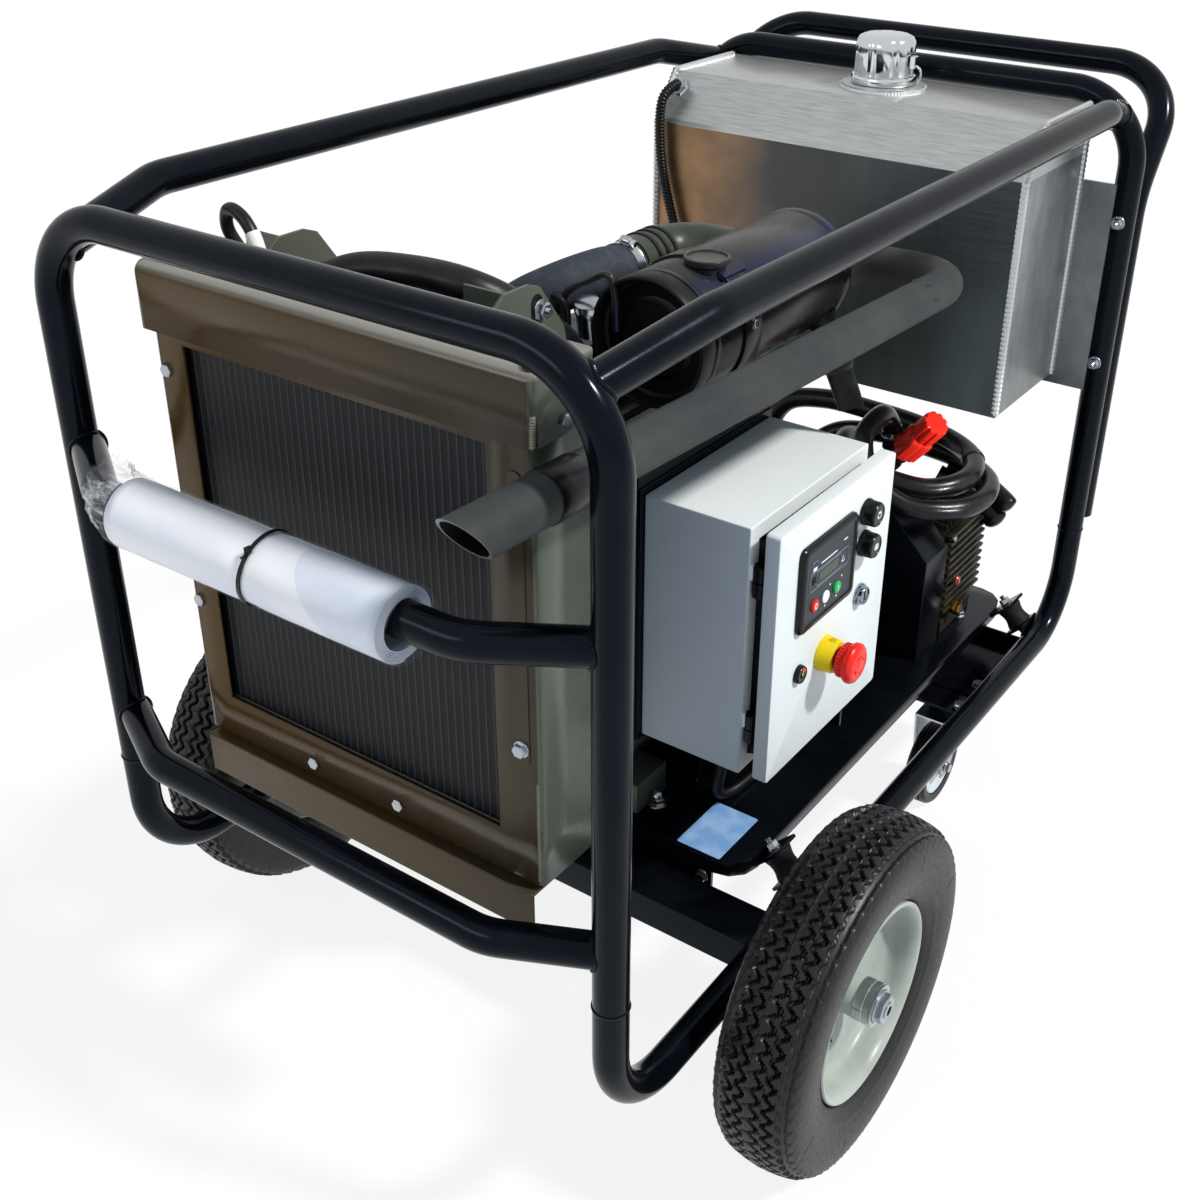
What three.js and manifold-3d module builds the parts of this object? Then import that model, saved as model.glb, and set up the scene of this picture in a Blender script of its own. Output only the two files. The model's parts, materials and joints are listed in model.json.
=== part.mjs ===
// Diesel pressure washer on a tubular trolley frame. Millimetres, +Z up.
// While it is built, x runs to the control-box side, y runs from the plane of the front
// hoop to the rear, and z is the height above the floor. The last lines move the origin
// under the middle of the machine.
import * as THREE from 'three';
import { mergeVertices } from 'three/addons/utils/BufferGeometryUtils.js';
import Module from 'manifold-3d';

const wasm = await Module();
wasm.setup();

// ---------------------------------------------------------------- driving dimensions
const GAP = 0.3; // running or seating gap between two separate pieces

const TUBE_OD = 33.7; // one inch pipe, all frame bars
const TUBE_SIDES = 12;
const FRAME_WIDTH = 636; // centre line to centre line of the side bars
const FRAME_LENGTH = 1119; // front hoop plane to rear hoop plane
const FRAME_TOP = 976; // centre line of the hoops' top bars
const BEND_RADIUS = 90; // centre line radius of every big bend
const HOOP_SPLIT = 60; // straight length between a bottom bend and the hoop's butt weld
const RAIL_KINK = 130; // from a hoop plane to the kink of a top rail

const GRIP_HEIGHT = 743;
const GRIP_BOW = 58;
const LOWER_BAR_HEIGHT = 432;
const LOWER_BAR_BOW = 45;
const BOW_SHOULDER = 105; // from the side bar's centre line to the bowed bar's bend
const BOW_BEND_RADIUS = 70;

const HANDLE_RISE = 987; // centre line of the push handle's grip
const HANDLE_FOOT = 385;
const HANDLE_FLARE_HEIGHT = 845;
const HANDLE_REACH = 110; // how far the grip stands behind the handle's uprights

const WHEEL_RADIUS = 198;
const WHEEL_WIDTH = 98;
const WHEEL_Y = 301;
const WHEEL_CLEARANCE = 18; // tyre's inner side to the rail
const RIM_RADIUS = 112;
const HUB_RADIUS = 23;
const AXLE_DIAMETER = 20;
const WHEEL_SEGMENTS = 26;

const CASTER_RADIUS = 60;
const CASTER_WIDTH = 34;
const CASTER_TRAIL = 26;
const CASTER_BOLT = 5; // radius of the wheel's axle bolt
const CASTER_X = 240;
const CASTER_SETBACK = 192; // swivel axis to the rear hoop plane
const CASTER_PLATE = 84;
const CASTER_RACE = 14;

const SHEET = 4; // steel plate of beams and tray
const BEAM_HEIGHT = 40;
const BEAM_WIDTH = 58;
const CASTER_BEAM_TOP = 172;
const CASTER_BEAM_DEPTH = 155;
const CASTER_BEAM_SETBACK = 34; // beam's rear lip to the rear hoop plane

const TRAY_TOP = 250;
const TRAY_CLEARANCE = 68; // tray's side to the rail's centre line
const TRAY_FRONT = 341;
const TRAY_SETBACK = 27; // tray's end to the rear hoop plane
const TRAY_CORNER = 38;
const TRAY_FLANGE = 18;
const TRAY_FRONT_FLANGE = 56;

const MOUNT_RADIUS = 18;
const MOUNT_LENGTH = 30;
const MOUNT_STAND = 26; // mount's middle beside the tray
const MOUNT_Z = 243;
const MOUNT_FRONT_INSET = 51; // mounts' middles from the tray's ends
const MOUNT_REAR_INSET = 32;
const MOUNT_PLATE_WIDTH = 46;
const MOUNT_PLATE_REACH = 17;

const ENGINE_X = -28; // crankshaft axis
const CRANK_Z = 400;
const BLOCK_WIDTH = 210;
const BLOCK_FRONT = 262;
const BLOCK_REAR = 600;
const BLOCK_SPLIT = 500; // sump and crankcase below, cylinders above
const BLOCK_TOP = 688;
const CYLINDER_WIDTH = 200;
const BELL_RADIUS = 148;
const BELL_REAR = 690;
const HEAD_TOP = 748;
const COVER_TOP = 800;

const TIMING_FRONT = BLOCK_FRONT - 22;
const THERMOSTAT = { x: 40, y: 314, top: HEAD_TOP + 40 };
const INTAKE = { x: -44, y: 322, top: COVER_TOP + 12 };
const MANIFOLD_X = 96; // exhaust port's axis
const MANIFOLD_REAR = BLOCK_REAR + 10;

const FAN_Z = 640;
const FAN_Y = 222;
const FAN_RADIUS = 150;
const FAN_BLADES = 7;

const SHROUD_LEFT = -220;
const SHROUD_RIGHT = 222;
const SHROUD_FRONT = 27;
const SHROUD_BOTTOM = 442;
const SHROUD_TOP = 936;
const SHROUD_DEPTH = 73;
const SHROUD_SHEET = 3;
const CORE_WIDTH = 354;
const CORE_BOTTOM = 490;
const CORE_TOP = 870;
const CORE_DEPTH = 46;
const CORE_GROOVES = 13;
const STAY_REAR = 176; // front face of the stays' flanges
const STAY_TOP = 928;
const STAY_RIGHT = { x: 71, foot: 50 };
const STAY_LEFT = { x: -209, foot: -112 };

const GUARD_DEPTH = 67;
const GUARD_RIGHT = 218;
const GUARD_SHEET = 2.5;
const PULLEY_WIDTH = 30;
const DRIVE_PULLEY_RADIUS = 62;
const PUMP_PULLEY_RADIUS = 50;
const BELT_THICKNESS = 9;
const PUMP_X = 150;
const PUMP_Z = 335;

const PUMP_WIDTH = 130;
const PUMP_LENGTH = 115;
const PUMP_SETBACK = 52; // pump's rear to the tray's end
const PUMP_TOP = 412;
const FIN_HEIGHT = 9;
const FIN_COUNT = 8;
const HEAD_LEFT = 14;
const OUTLET = { x: -150, setback: 42, top: 290 }; // high pressure fitting on the tray
const HOSE_OD = 26;
const BYPASS_OD = 24;
const KNOB = { x: 146, back: 35, z: 530, tilt: [0.62, -0.2, 0.76] };
const VALVE_RADIUS = 13;
const BYPASS_X = 92; // the bypass hose leaves the unloader's valve here

const CLEANER_RADIUS = 66;
const CLEANER_FRONT = 328;
const CLEANER_REAR = 634;
const CLEANER_X = 120;
const CLEANER_Z = COVER_TOP + 47;
const ELBOW_RADIUS = 27;
const INTAKE_RADIUS = 24;

const EXHAUST_OD = 42.4;
const EXHAUST_X = 258;
const EXHAUST_FRONT_Z = 863;
const EXHAUST_REAR_Z = 828;
const EXHAUST_OUTLET = -94; // middle of the slash cut
const EXHAUST_SLASH = 38; // degrees from square
const EXHAUST_BEND_Y = 750;
const EXHAUST_BEND_RADIUS = 58;
const MANIFOLD_Z = 718;

const TANK_WIDTH = 524;
const TANK_DEPTH = 193;
const TANK_SETBACK = 19; // tank's back to the rear hoop plane
const TANK_BOTTOM = 603;
const TANK_TOP = 963;
const TANK_CHAMFER_BACK = 43;
const TANK_CHAMFER_DROP = 60;
const CAP_RADIUS = 42;
const CAP_X = 8;
const CAP_SETBACK = 72; // cap's axis to the tank's back
const CAP_HEIGHT = 66;
const CAP_SIDES = 18;
const NECK_RADIUS = 34;

const BOX_WIDTH = 250; // along y
const BOX_HEIGHT = 296;
const BOX_DEPTH = 126;
const BOX_FRONT = 340;
const BOX_BOTTOM = 383;
const BOX_FACE = 240; // x of the body's open face
const DOOR_GAP = 17;
const DOOR_THICKNESS = 17;
const DOOR_SHEET = 3;

const MODULE_WIDTH = 118;
const MODULE_HEIGHT = 100;
const MODULE_PROUD = 7;

const ESTOP_RADIUS = 23;
const ESTOP_TRAVEL = 4;

const CONDUIT_RADIUS = 7;
const CONDUIT_RIB = 1.3;
const CONDUIT_PITCH = 9;
const CONDUIT_SIDES = 8;
const BORE_RIB_COUNT = 5; // ribs from one ring of the bore to the next

// ---------------------------------------------------------------- derived places
const SIDE_X = FRAME_WIDTH / 2;
const TUBE_R = TUBE_OD / 2;
const TUBE_FLAT = TUBE_R * Math.cos(Math.PI / TUBE_SIDES); // half the size across flats
const WHEEL_X = SIDE_X + TUBE_R + WHEEL_CLEARANCE + WHEEL_WIDTH / 2;
const AXLE_R = AXLE_DIAMETER / 2;
const FRAME_BOTTOM = WHEEL_RADIUS + AXLE_R + GAP + TUBE_FLAT; // bottom rails lie on the axle
const BEAM_X = SIDE_X - TUBE_FLAT - GAP; // ends of the cross members
const HANDLE_Y = FRAME_LENGTH + TUBE_FLAT * 2 + GAP;
const CASTER_Y = FRAME_LENGTH - CASTER_SETBACK;
const CASTER_BEAM_REAR = FRAME_LENGTH - CASTER_BEAM_SETBACK;
const CASTER_BEAM_FRONT = CASTER_BEAM_REAR - CASTER_BEAM_DEPTH;
const TRAY_WIDTH = FRAME_WIDTH - TRAY_CLEARANCE * 2;
const TRAY_REAR = FRAME_LENGTH - TRAY_SETBACK;
const MOUNT_X = TRAY_WIDTH / 2 + MOUNT_STAND;
const MOUNT_FRONT_Y = TRAY_FRONT + MOUNT_FRONT_INSET;
const MOUNT_REAR_Y = TRAY_REAR - MOUNT_REAR_INSET;
const OUTLET_Y = TRAY_REAR - OUTLET.setback;
const PUMP_REAR = TRAY_REAR - PUMP_SETBACK;
const PUMP_FRONT = PUMP_REAR - PUMP_LENGTH;
const GUARD_REAR = PUMP_FRONT - 8;
const GUARD_FRONT = GUARD_REAR - GUARD_DEPTH;
const PULLEY_Y = (GUARD_FRONT + GUARD_REAR) / 2;
const KNOB_Y = PUMP_FRONT + KNOB.back;
const TANK_REAR = FRAME_LENGTH - TANK_SETBACK;
const TANK_FRONT = TANK_REAR - TANK_DEPTH;
const CAP_Y = TANK_REAR - CAP_SETBACK;

// ---------------------------------------------------------------- finishes
const finish = (color, roughness, metalness) => ({ color, roughness, metalness });
const GLOSS_BLACK = finish(0x101114, 0.25, 0.0);
const SATIN_BLACK = finish(0x17181a, 0.45, 0.1);
const RUBBER = finish(0x1c1c1d, 0.85, 0.0);
const HOSE_RUBBER = finish(0x202123, 0.55, 0.0);
const ZINC = finish(0xb9bcc0, 0.35, 0.9);
const RIM_SILVER = finish(0xb7bbb6, 0.4, 0.5);
const OLIVE_PAINT = finish(0x4c4a3a, 0.35, 0.2);
const ENGINE_GREY = finish(0x5c6459, 0.5, 0.2);
const PIPE_GREY = finish(0x3c4246, 0.7, 0.3);
const ALUMINIUM = finish(0xa9adb0, 0.35, 0.9);
const CHROME = finish(0xdddddd, 0.08, 1.0);
const BOX_PAINT = finish(0xc9cfce, 0.4, 0.0);
const BLACK_PLASTIC = finish(0x1a1d21, 0.4, 0.0);
const RED_PLASTIC = finish(0xd3201c, 0.4, 0.0);
const GREEN_PLASTIC = finish(0x1c9a4b, 0.4, 0.0);
const PAPER = finish(0xf0f1f4, 0.35, 0.0);
const CORE_BLACK = finish(0x14161a, 0.6, 0.3);

// ---------------------------------------------------------------- shape helpers
const v3 = (x, y, z) => new THREE.Vector3(x, y, z);

/** A path of straight runs and round bends, with stations only where the section turns. */
class BentPath extends THREE.Curve {
  constructor(corners, radii, stepsPerBend = 4) {
    super();
    this.points = [corners[0].clone()];
    this.tangents = [corners[1].clone().sub(corners[0]).normalize()];
    for (let i = 1; i < corners.length - 1; i += 1) {
      this.addBend(corners[i - 1], corners[i], corners[i + 1], radii[i - 1], stepsPerBend);
    }
    const last = corners.length - 1;
    this.points.push(corners[last].clone());
    this.tangents.push(corners[last].clone().sub(corners[last - 1]).normalize());
  }

  addBend(before, corner, after, radius, steps) {
    const inward = corner.clone().sub(before).normalize();
    const outward = after.clone().sub(corner).normalize();
    const angle = inward.angleTo(outward);
    const axis = inward.clone().cross(outward).normalize();
    const start = corner.clone().addScaledVector(inward, -radius * Math.tan(angle / 2));
    const centre = start.clone().addScaledVector(axis.clone().cross(inward), radius);
    const arm = start.clone().sub(centre);
    const count = Math.max(2, Math.round((steps * angle) / (Math.PI / 2)));
    for (let k = 0; k <= count; k += 1) {
      const turn = (angle * k) / count;
      this.points.push(arm.clone().applyAxisAngle(axis, turn).add(centre));
      this.tangents.push(inward.clone().applyAxisAngle(axis, turn));
    }
  }

  get runs() {
    return this.points.length - 1;
  }

  getPointAt(u) {
    return this.points[Math.round(u * this.runs)].clone();
  }

  getTangentAt(u) {
    return this.tangents[Math.round(u * this.runs)].clone();
  }
}

/** A regular polygon section, with a flat towards the side, so two tubes meet cleanly. */
function roundSection(radius, sides) {
  const shape = new THREE.Shape();
  for (let k = 0; k < sides; k += 1) {
    const a = ((k + 0.5) / sides) * Math.PI * 2;
    const x = radius * Math.cos(a);
    const y = radius * Math.sin(a);
    if (k === 0) shape.moveTo(x, y);
    else shape.lineTo(x, y);
  }
  shape.closePath();
  return shape;
}

function tube(path, radius = TUBE_R, sides = TUBE_SIDES) {
  return new THREE.ExtrudeGeometry(roundSection(radius, sides), {
    steps: path.runs,
    bevelEnabled: false,
    extrudePath: path,
  });
}

/** A hose through chosen points, with evenly spaced stations on a smooth curve. */
function hose(points, radius, stations, sides = 12) {
  const curve = new THREE.CatmullRomCurve3(points, false, 'centripetal');
  return new THREE.ExtrudeGeometry(roundSection(radius, sides), {
    steps: stations,
    bevelEnabled: false,
    extrudePath: curve,
  });
}

function box(x0, x1, y0, y1, z0, z1) {
  const g = new THREE.BoxGeometry(x1 - x0, y1 - y0, z1 - z0);
  return g.translate((x0 + x1) / 2, (y0 + y1) / 2, (z0 + z1) / 2);
}

const TURNS = {
  x: new THREE.Matrix4().makeRotationZ(-Math.PI / 2),
  y: new THREE.Matrix4(),
  z: new THREE.Matrix4().makeRotationX(Math.PI / 2),
};

/** A turned piece. The profile is [radius, place along the axis] pairs, in order. */
function turned(profile, axis, centre, segments = 24) {
  const points = profile.map(([r, a]) => new THREE.Vector2(r, a));
  const g = new THREE.LatheGeometry(points, segments);
  return g.applyMatrix4(TURNS[axis]).translate(centre.x, centre.y, centre.z);
}

/** A plain round bar from a to b along an axis. */
function bar(radius, a, b, axis, centre, segments = 16) {
  return turned([[0, a], [radius, a], [radius, b], [0, b]], axis, centre, segments);
}

/** A flat outline given as [u, v] pairs, pulled to a thickness. */
function plate(outline, thickness) {
  const shape = new THREE.Shape(outline.map(([u, v]) => new THREE.Vector2(u, v)));
  return new THREE.ExtrudeGeometry(shape, { depth: thickness, bevelEnabled: false });
}

/** An outline in the x-z plane, pulled from y0 to y1. */
function plateXZ(outline, y0, y1) {
  return plate(outline, y1 - y0).rotateX(Math.PI / 2).translate(0, y1, 0);
}

/** An outline in the y-z plane, pulled from x0 to x1. */
function plateYZ(outline, x0, x1) {
  return plate(outline, x1 - x0).rotateX(Math.PI / 2).rotateZ(Math.PI / 2).translate(x0, 0, 0);
}

/** An outline in the x-y plane, pulled from z0 to z1. */
function plateXY(outline, z0, z1) {
  return plate(outline, z1 - z0).translate(0, 0, z0);
}

/** A rectangle's outline with rounded corners. */
function roundedRect(u0, u1, v0, v1, radius, steps = 3) {
  const corners = [
    [u1 - radius, v0 + radius, -90],
    [u1 - radius, v1 - radius, 0],
    [u0 + radius, v1 - radius, 90],
    [u0 + radius, v0 + radius, 180],
  ];
  return corners.flatMap(([cu, cv, start]) => {
    const arc = [];
    for (let k = 0; k <= steps; k += 1) {
      const a = THREE.MathUtils.degToRad(start + (90 * k) / steps);
      arc.push([cu + radius * Math.cos(a), cv + radius * Math.sin(a)]);
    }
    return arc;
  });
}

function toSolid(geometry) {
  const bare = geometry.clone();
  bare.deleteAttribute('normal');
  bare.deleteAttribute('uv');
  const merged = mergeVertices(bare, 1e-4);
  return new wasm.Manifold(new wasm.Mesh({
    numProp: 3,
    vertProperties: merged.attributes.position.array,
    triVerts: new Uint32Array(merged.index.array),
  }));
}

function toGeometry(solid) {
  const mesh = solid.getMesh();
  const geometry = new THREE.BufferGeometry();
  geometry.setAttribute('position', new THREE.BufferAttribute(mesh.vertProperties, 3));
  geometry.setIndex(new THREE.BufferAttribute(mesh.triVerts, 1));
  return geometry;
}

function join(...geometries) {
  return toGeometry(geometries.map(toSolid).reduce((sum, next) => sum.add(next)));
}

function cut(geometry, ...tools) {
  return toGeometry(tools.map(toSolid).reduce((rest, tool) => rest.subtract(tool), toSolid(geometry)));
}

/** The same outline on both sides of the machine. */
function mirrored(geometry) {
  const copy = geometry.index ? geometry.toNonIndexed() : geometry.clone();
  const p = copy.attributes.position;
  for (let i = 0; i < p.count; i += 3) {
    const a = [p.getX(i), p.getY(i), p.getZ(i)];
    const b = [p.getX(i + 1), p.getY(i + 1), p.getZ(i + 1)];
    const c = [p.getX(i + 2), p.getY(i + 2), p.getZ(i + 2)];
    p.setXYZ(i, -a[0], a[1], a[2]);
    p.setXYZ(i + 1, -c[0], c[1], c[2]);
    p.setXYZ(i + 2, -b[0], b[1], b[2]);
  }
  copy.deleteAttribute('normal');
  copy.deleteAttribute('uv');
  return copy;
}

const group = new THREE.Group();

function add(name, geometry, look) {
  const clean = geometry.clone();
  clean.computeVertexNormals();
  const mesh = new THREE.Mesh(clean, new THREE.MeshStandardMaterial(look));
  mesh.name = name;
  group.add(mesh);
  return geometry;
}

function addPair(name, rightGeometry, look) {
  add(`${name}_right`, rightGeometry, look);
  add(`${name}_left`, mirrored(rightGeometry), look);
}

// ---------------------------------------------------------------- tubular frame
const SPLIT_Z = FRAME_BOTTOM + BEND_RADIUS + HOOP_SPLIT;

function hoopPath(y) {
  return new BentPath(
    [
      v3(-SIDE_X, y, SPLIT_Z + GAP / 2),
      v3(-SIDE_X, y, FRAME_TOP),
      v3(SIDE_X, y, FRAME_TOP),
      v3(SIDE_X, y, SPLIT_Z + GAP / 2),
    ],
    [BEND_RADIUS, BEND_RADIUS],
  );
}

function bottomRailPath(x) {
  return new BentPath(
    [
      v3(x, 0, SPLIT_Z - GAP / 2),
      v3(x, 0, FRAME_BOTTOM),
      v3(x, FRAME_LENGTH, FRAME_BOTTOM),
      v3(x, FRAME_LENGTH, SPLIT_Z - GAP / 2),
    ],
    [BEND_RADIUS, BEND_RADIUS],
  );
}

const COPE_RADIUS = TUBE_R + GAP * 1.05;
const frontHoopCope = tube(hoopPath(0), COPE_RADIUS);
const rearHoopCope = tube(hoopPath(FRAME_LENGTH), COPE_RADIUS);

function topRail() {
  const inset = BEND_RADIUS * (1 - Math.SQRT1_2);
  const endX = SIDE_X - inset;
  const endZ = FRAME_TOP - inset;
  const shortOfHoop = TUBE_R * 0.6;
  const path = new BentPath(
    [
      v3(endX, shortOfHoop, endZ),
      v3(SIDE_X, RAIL_KINK, FRAME_TOP),
      v3(SIDE_X, FRAME_LENGTH - RAIL_KINK, FRAME_TOP),
      v3(endX, FRAME_LENGTH - shortOfHoop, endZ),
    ],
    [BEND_RADIUS, BEND_RADIUS],
    8,
  );
  return cut(tube(path), frontHoopCope, rearHoopCope);
}

/** A cross bar of the front hoop that bows forwards between the uprights. */
function bowedBar(height, bow) {
  const shoulder = SIDE_X - BOW_SHOULDER;
  const end = SIDE_X - TUBE_R * 0.6;
  const path = new BentPath(
    [v3(-end, 0, height), v3(-shoulder, -bow, height), v3(shoulder, -bow, height), v3(end, 0, height)],
    [BOW_BEND_RADIUS, BOW_BEND_RADIUS],
    8,
  );
  return cut(tube(path), frontHoopCope);
}

/** The U-shaped handle, bolted behind the rear hoop's uprights and flared to the rear. */
function pushHandle() {
  const reach = HANDLE_Y + HANDLE_REACH;
  const path = new BentPath(
    [
      v3(-SIDE_X, HANDLE_Y, HANDLE_FOOT),
      v3(-SIDE_X, HANDLE_Y, HANDLE_FLARE_HEIGHT),
      v3(-SIDE_X, reach, HANDLE_RISE),
      v3(SIDE_X, reach, HANDLE_RISE),
      v3(SIDE_X, HANDLE_Y, HANDLE_FLARE_HEIGHT),
      v3(SIDE_X, HANDLE_Y, HANDLE_FOOT),
    ],
    [BEND_RADIUS, BEND_RADIUS, BEND_RADIUS, BEND_RADIUS],
  );
  return tube(path);
}

function buildFrame() {
  add('front_hoop', tube(hoopPath(0)), GLOSS_BLACK);
  add('rear_hoop', tube(hoopPath(FRAME_LENGTH)), GLOSS_BLACK);
  addPair('bottom_rail', tube(bottomRailPath(SIDE_X)), GLOSS_BLACK);
  addPair('top_rail', topRail(), GLOSS_BLACK);
  add('front_grip_bar', bowedBar(GRIP_HEIGHT, GRIP_BOW), GLOSS_BLACK);
  add('lower_front_bar', bowedBar(LOWER_BAR_HEIGHT, LOWER_BAR_BOW), GLOSS_BLACK);
  add('push_handle', pushHandle(), GLOSS_BLACK);
}

// ---------------------------------------------------------------- rolled manual
const ROLL_RADIUS = 34;
const ROLL_WALL = 12;
const ROLL_X0 = -168;
const ROLL_X1 = 157;

function buildRoll() {
  const inner = Math.max(TUBE_R + GAP, ROLL_RADIUS - ROLL_WALL);
  const profile = [[inner, ROLL_X0], [ROLL_RADIUS, ROLL_X0], [ROLL_RADIUS, ROLL_X1], [inner, ROLL_X1]];
  const drop = inner - TUBE_R - GAP; // the roll hangs on the bar
  const geometry = turned([...profile, profile[0]], 'x', v3(0, -GRIP_BOW, GRIP_HEIGHT - drop), 20);
  add('rolled_manual', geometry, PAPER);
}

// ---------------------------------------------------------------- chassis
/** The direction from the tray's ear down and out to the frame's bracket. */
const MOUNT_AXIS = v3(1, 0, -1).normalize();

/** A flat plate square to the mount's axis, at a distance along it. */
function mountPlate(y, offset, inner, outer, thickness = SHEET) {
  const g = new THREE.BoxGeometry(inner + outer, MOUNT_PLATE_WIDTH, thickness);
  g.translate((outer - inner) / 2, 0, 0);
  g.rotateY(-Math.PI / 4);
  const c = v3(MOUNT_X, y, MOUNT_Z).addScaledVector(MOUNT_AXIS, offset);
  return g.translate(c.x, c.y, c.z);
}

const MOUNT_SEAT = MOUNT_LENGTH / 2 + GAP + SHEET / 2;

/** The frame side of a rubber mount: the slanted seat and its leg on the rail. */
function mountBracket(y, legFrom, legTo, legFoot) {
  const seatX = MOUNT_X + MOUNT_SEAT * Math.SQRT1_2;
  const seatZ = MOUNT_Z - MOUNT_SEAT * Math.SQRT1_2;
  const reach = (BEAM_X - 1.2 - seatX) * Math.SQRT2;
  const seat = mountPlate(y, MOUNT_SEAT, MOUNT_PLATE_REACH, reach);
  const legTop = seatZ + BEAM_X - SHEET / 2 - seatX - 3;
  const leg = box(BEAM_X - SHEET, BEAM_X, legFrom, legTo, legFoot, legTop);
  return [seat, leg];
}

function axleBeam() {
  const top = FRAME_BOTTOM;
  const foot = top - BEAM_HEIGHT;
  const y0 = WHEEL_Y - BEAM_WIDTH / 2;
  const y1 = WHEEL_Y + BEAM_WIDTH / 2;
  const web = box(-BEAM_X, BEAM_X, y0, y1, top - SHEET, top);
  const front = box(-BEAM_X, BEAM_X, y0, y0 + SHEET, foot, top);
  const rear = box(-BEAM_X, BEAM_X, y1 - SHEET, y1, foot, top);
  const legEnd = MOUNT_FRONT_Y + MOUNT_PLATE_WIDTH / 2;
  const right = mountBracket(MOUNT_FRONT_Y, y1 - SHEET, legEnd, top - TUBE_R);
  return join(web, front, rear, ...right, ...right.map(mirrored));
}

/** The fixed top plate and swivel race of a caster, bolted under the rear beam. */
function casterSeat(x) {
  const under = CASTER_BEAM_TOP - SHEET;
  const half = CASTER_PLATE / 2;
  const top = box(x - half, x + half, CASTER_Y - half, CASTER_Y + half, under - SHEET, under + 1);
  const race = bar(24, under - SHEET - CASTER_RACE, under - SHEET, 'z', v3(x, CASTER_Y, 0), 16);
  return [top, race];
}

function casterBeam() {
  const front = CASTER_BEAM_FRONT;
  const rear = CASTER_BEAM_REAR;
  const under = CASTER_BEAM_TOP - SHEET;
  const web = box(-BEAM_X, BEAM_X, front, rear, under, CASTER_BEAM_TOP);
  const end = box(BEAM_X - SHEET, BEAM_X, front, rear, under, FRAME_BOTTOM);
  const lip = box(-BEAM_X, BEAM_X, rear - SHEET, rear, under, CASTER_BEAM_TOP + 22);
  const bracket = mountBracket(
    MOUNT_REAR_Y,
    MOUNT_REAR_Y - MOUNT_PLATE_WIDTH / 2,
    MOUNT_REAR_Y + MOUNT_PLATE_WIDTH / 2,
    FRAME_BOTTOM - TUBE_R,
  );
  const right = [end, ...bracket, ...casterSeat(CASTER_X)];
  return join(web, lip, ...right, ...right.map(mirrored));
}

function engineTray() {
  const half = TRAY_WIDTH / 2;
  const outline = roundedRect(-half, half, TRAY_FRONT, TRAY_REAR, TRAY_CORNER);
  const inner = roundedRect(
    -half + SHEET,
    half - SHEET,
    TRAY_FRONT + SHEET,
    TRAY_REAR - SHEET,
    TRAY_CORNER - SHEET,
  );
  const pan = cut(
    plateXY(outline, TRAY_TOP - TRAY_FLANGE, TRAY_TOP),
    plateXY(inner, TRAY_TOP - TRAY_FLANGE - 1, TRAY_TOP - SHEET),
  );
  const apron = box(
    -half + TRAY_CORNER,
    half - TRAY_CORNER,
    TRAY_FRONT,
    TRAY_FRONT + SHEET,
    TRAY_TOP - TRAY_FRONT_FLANGE,
    TRAY_TOP,
  );
  const ears = [MOUNT_FRONT_Y, MOUNT_REAR_Y].map((y) => mountPlate(y, -MOUNT_SEAT, 21, MOUNT_PLATE_REACH));
  const outlet = bar(12, TRAY_TOP - SHEET, OUTLET.top, 'z', v3(OUTLET.x, OUTLET_Y, 0), 12);
  return join(pan, apron, ...ears, ...ears.map(mirrored), outlet);
}

function rubberMount(y) {
  const half = MOUNT_LENGTH / 2;
  const waist = MOUNT_RADIUS - 3;
  const profile = [[0, -half], [MOUNT_RADIUS, -half], [waist, 0], [MOUNT_RADIUS, half], [0, half]];
  const g = new THREE.LatheGeometry(profile.map(([r, a]) => new THREE.Vector2(r, a)), 16);
  g.applyQuaternion(new THREE.Quaternion().setFromUnitVectors(v3(0, 1, 0), MOUNT_AXIS));
  return g.translate(MOUNT_X, y, MOUNT_Z);
}

function buildChassis() {
  add('axle_beam', axleBeam(), GLOSS_BLACK);
  add('caster_beam', casterBeam(), GLOSS_BLACK);
  add('engine_tray', engineTray(), GLOSS_BLACK);
  addPair('rubber_mount_front', rubberMount(MOUNT_FRONT_Y), RUBBER);
  addPair('rubber_mount_rear', rubberMount(MOUNT_REAR_Y), RUBBER);
}

// ---------------------------------------------------------------- wheels
const HUB_OUT = 44; // hub's outer end from the wheel's middle
const HUB_IN = 40;
const AXLE_END = WHEEL_X + HUB_OUT + 14;

function tyre(x) {
  const half = WHEEL_WIDTH / 2;
  const side = [
    [RIM_RADIUS + GAP, half * 0.66],
    [RIM_RADIUS + 34, half * 0.98],
    [WHEEL_RADIUS - 26, half],
    [WHEEL_RADIUS - 8, half * 0.78],
    [WHEEL_RADIUS, half * 0.3],
  ];
  const other = side.map(([r, a]) => [r, -a]);
  const profile = [...other, ...side.reverse()];
  return turned([...profile, profile[0]], 'x', v3(x, WHEEL_Y, WHEEL_RADIUS), WHEEL_SEGMENTS);
}

/** A pressed steel rim: flanged barrel, dished disc and the hub tube through it. */
function rim(x) {
  const half = WHEEL_WIDTH / 2;
  const bore = AXLE_R + GAP;
  const barrel = RIM_RADIUS - 12;
  const edge = half * 0.76;
  const profile = [
    [bore, -HUB_IN],
    [HUB_RADIUS, -HUB_IN],
    [HUB_RADIUS, -4],
    [barrel - 4, -4],
    [barrel - 4, -edge],
    [RIM_RADIUS, -edge],
    [RIM_RADIUS, -half * 0.6],
    [barrel, -half * 0.4],
    [barrel, half * 0.4],
    [RIM_RADIUS, half * 0.6],
    [RIM_RADIUS, edge],
    [barrel - 4, edge],
    [barrel - 4, 0],
    [HUB_RADIUS, 0],
    [HUB_RADIUS, HUB_OUT],
    [bore, HUB_OUT],
  ];
  return turned([...profile, profile[0]], 'x', v3(x, WHEEL_Y, WHEEL_RADIUS), WHEEL_SEGMENTS);
}

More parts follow.
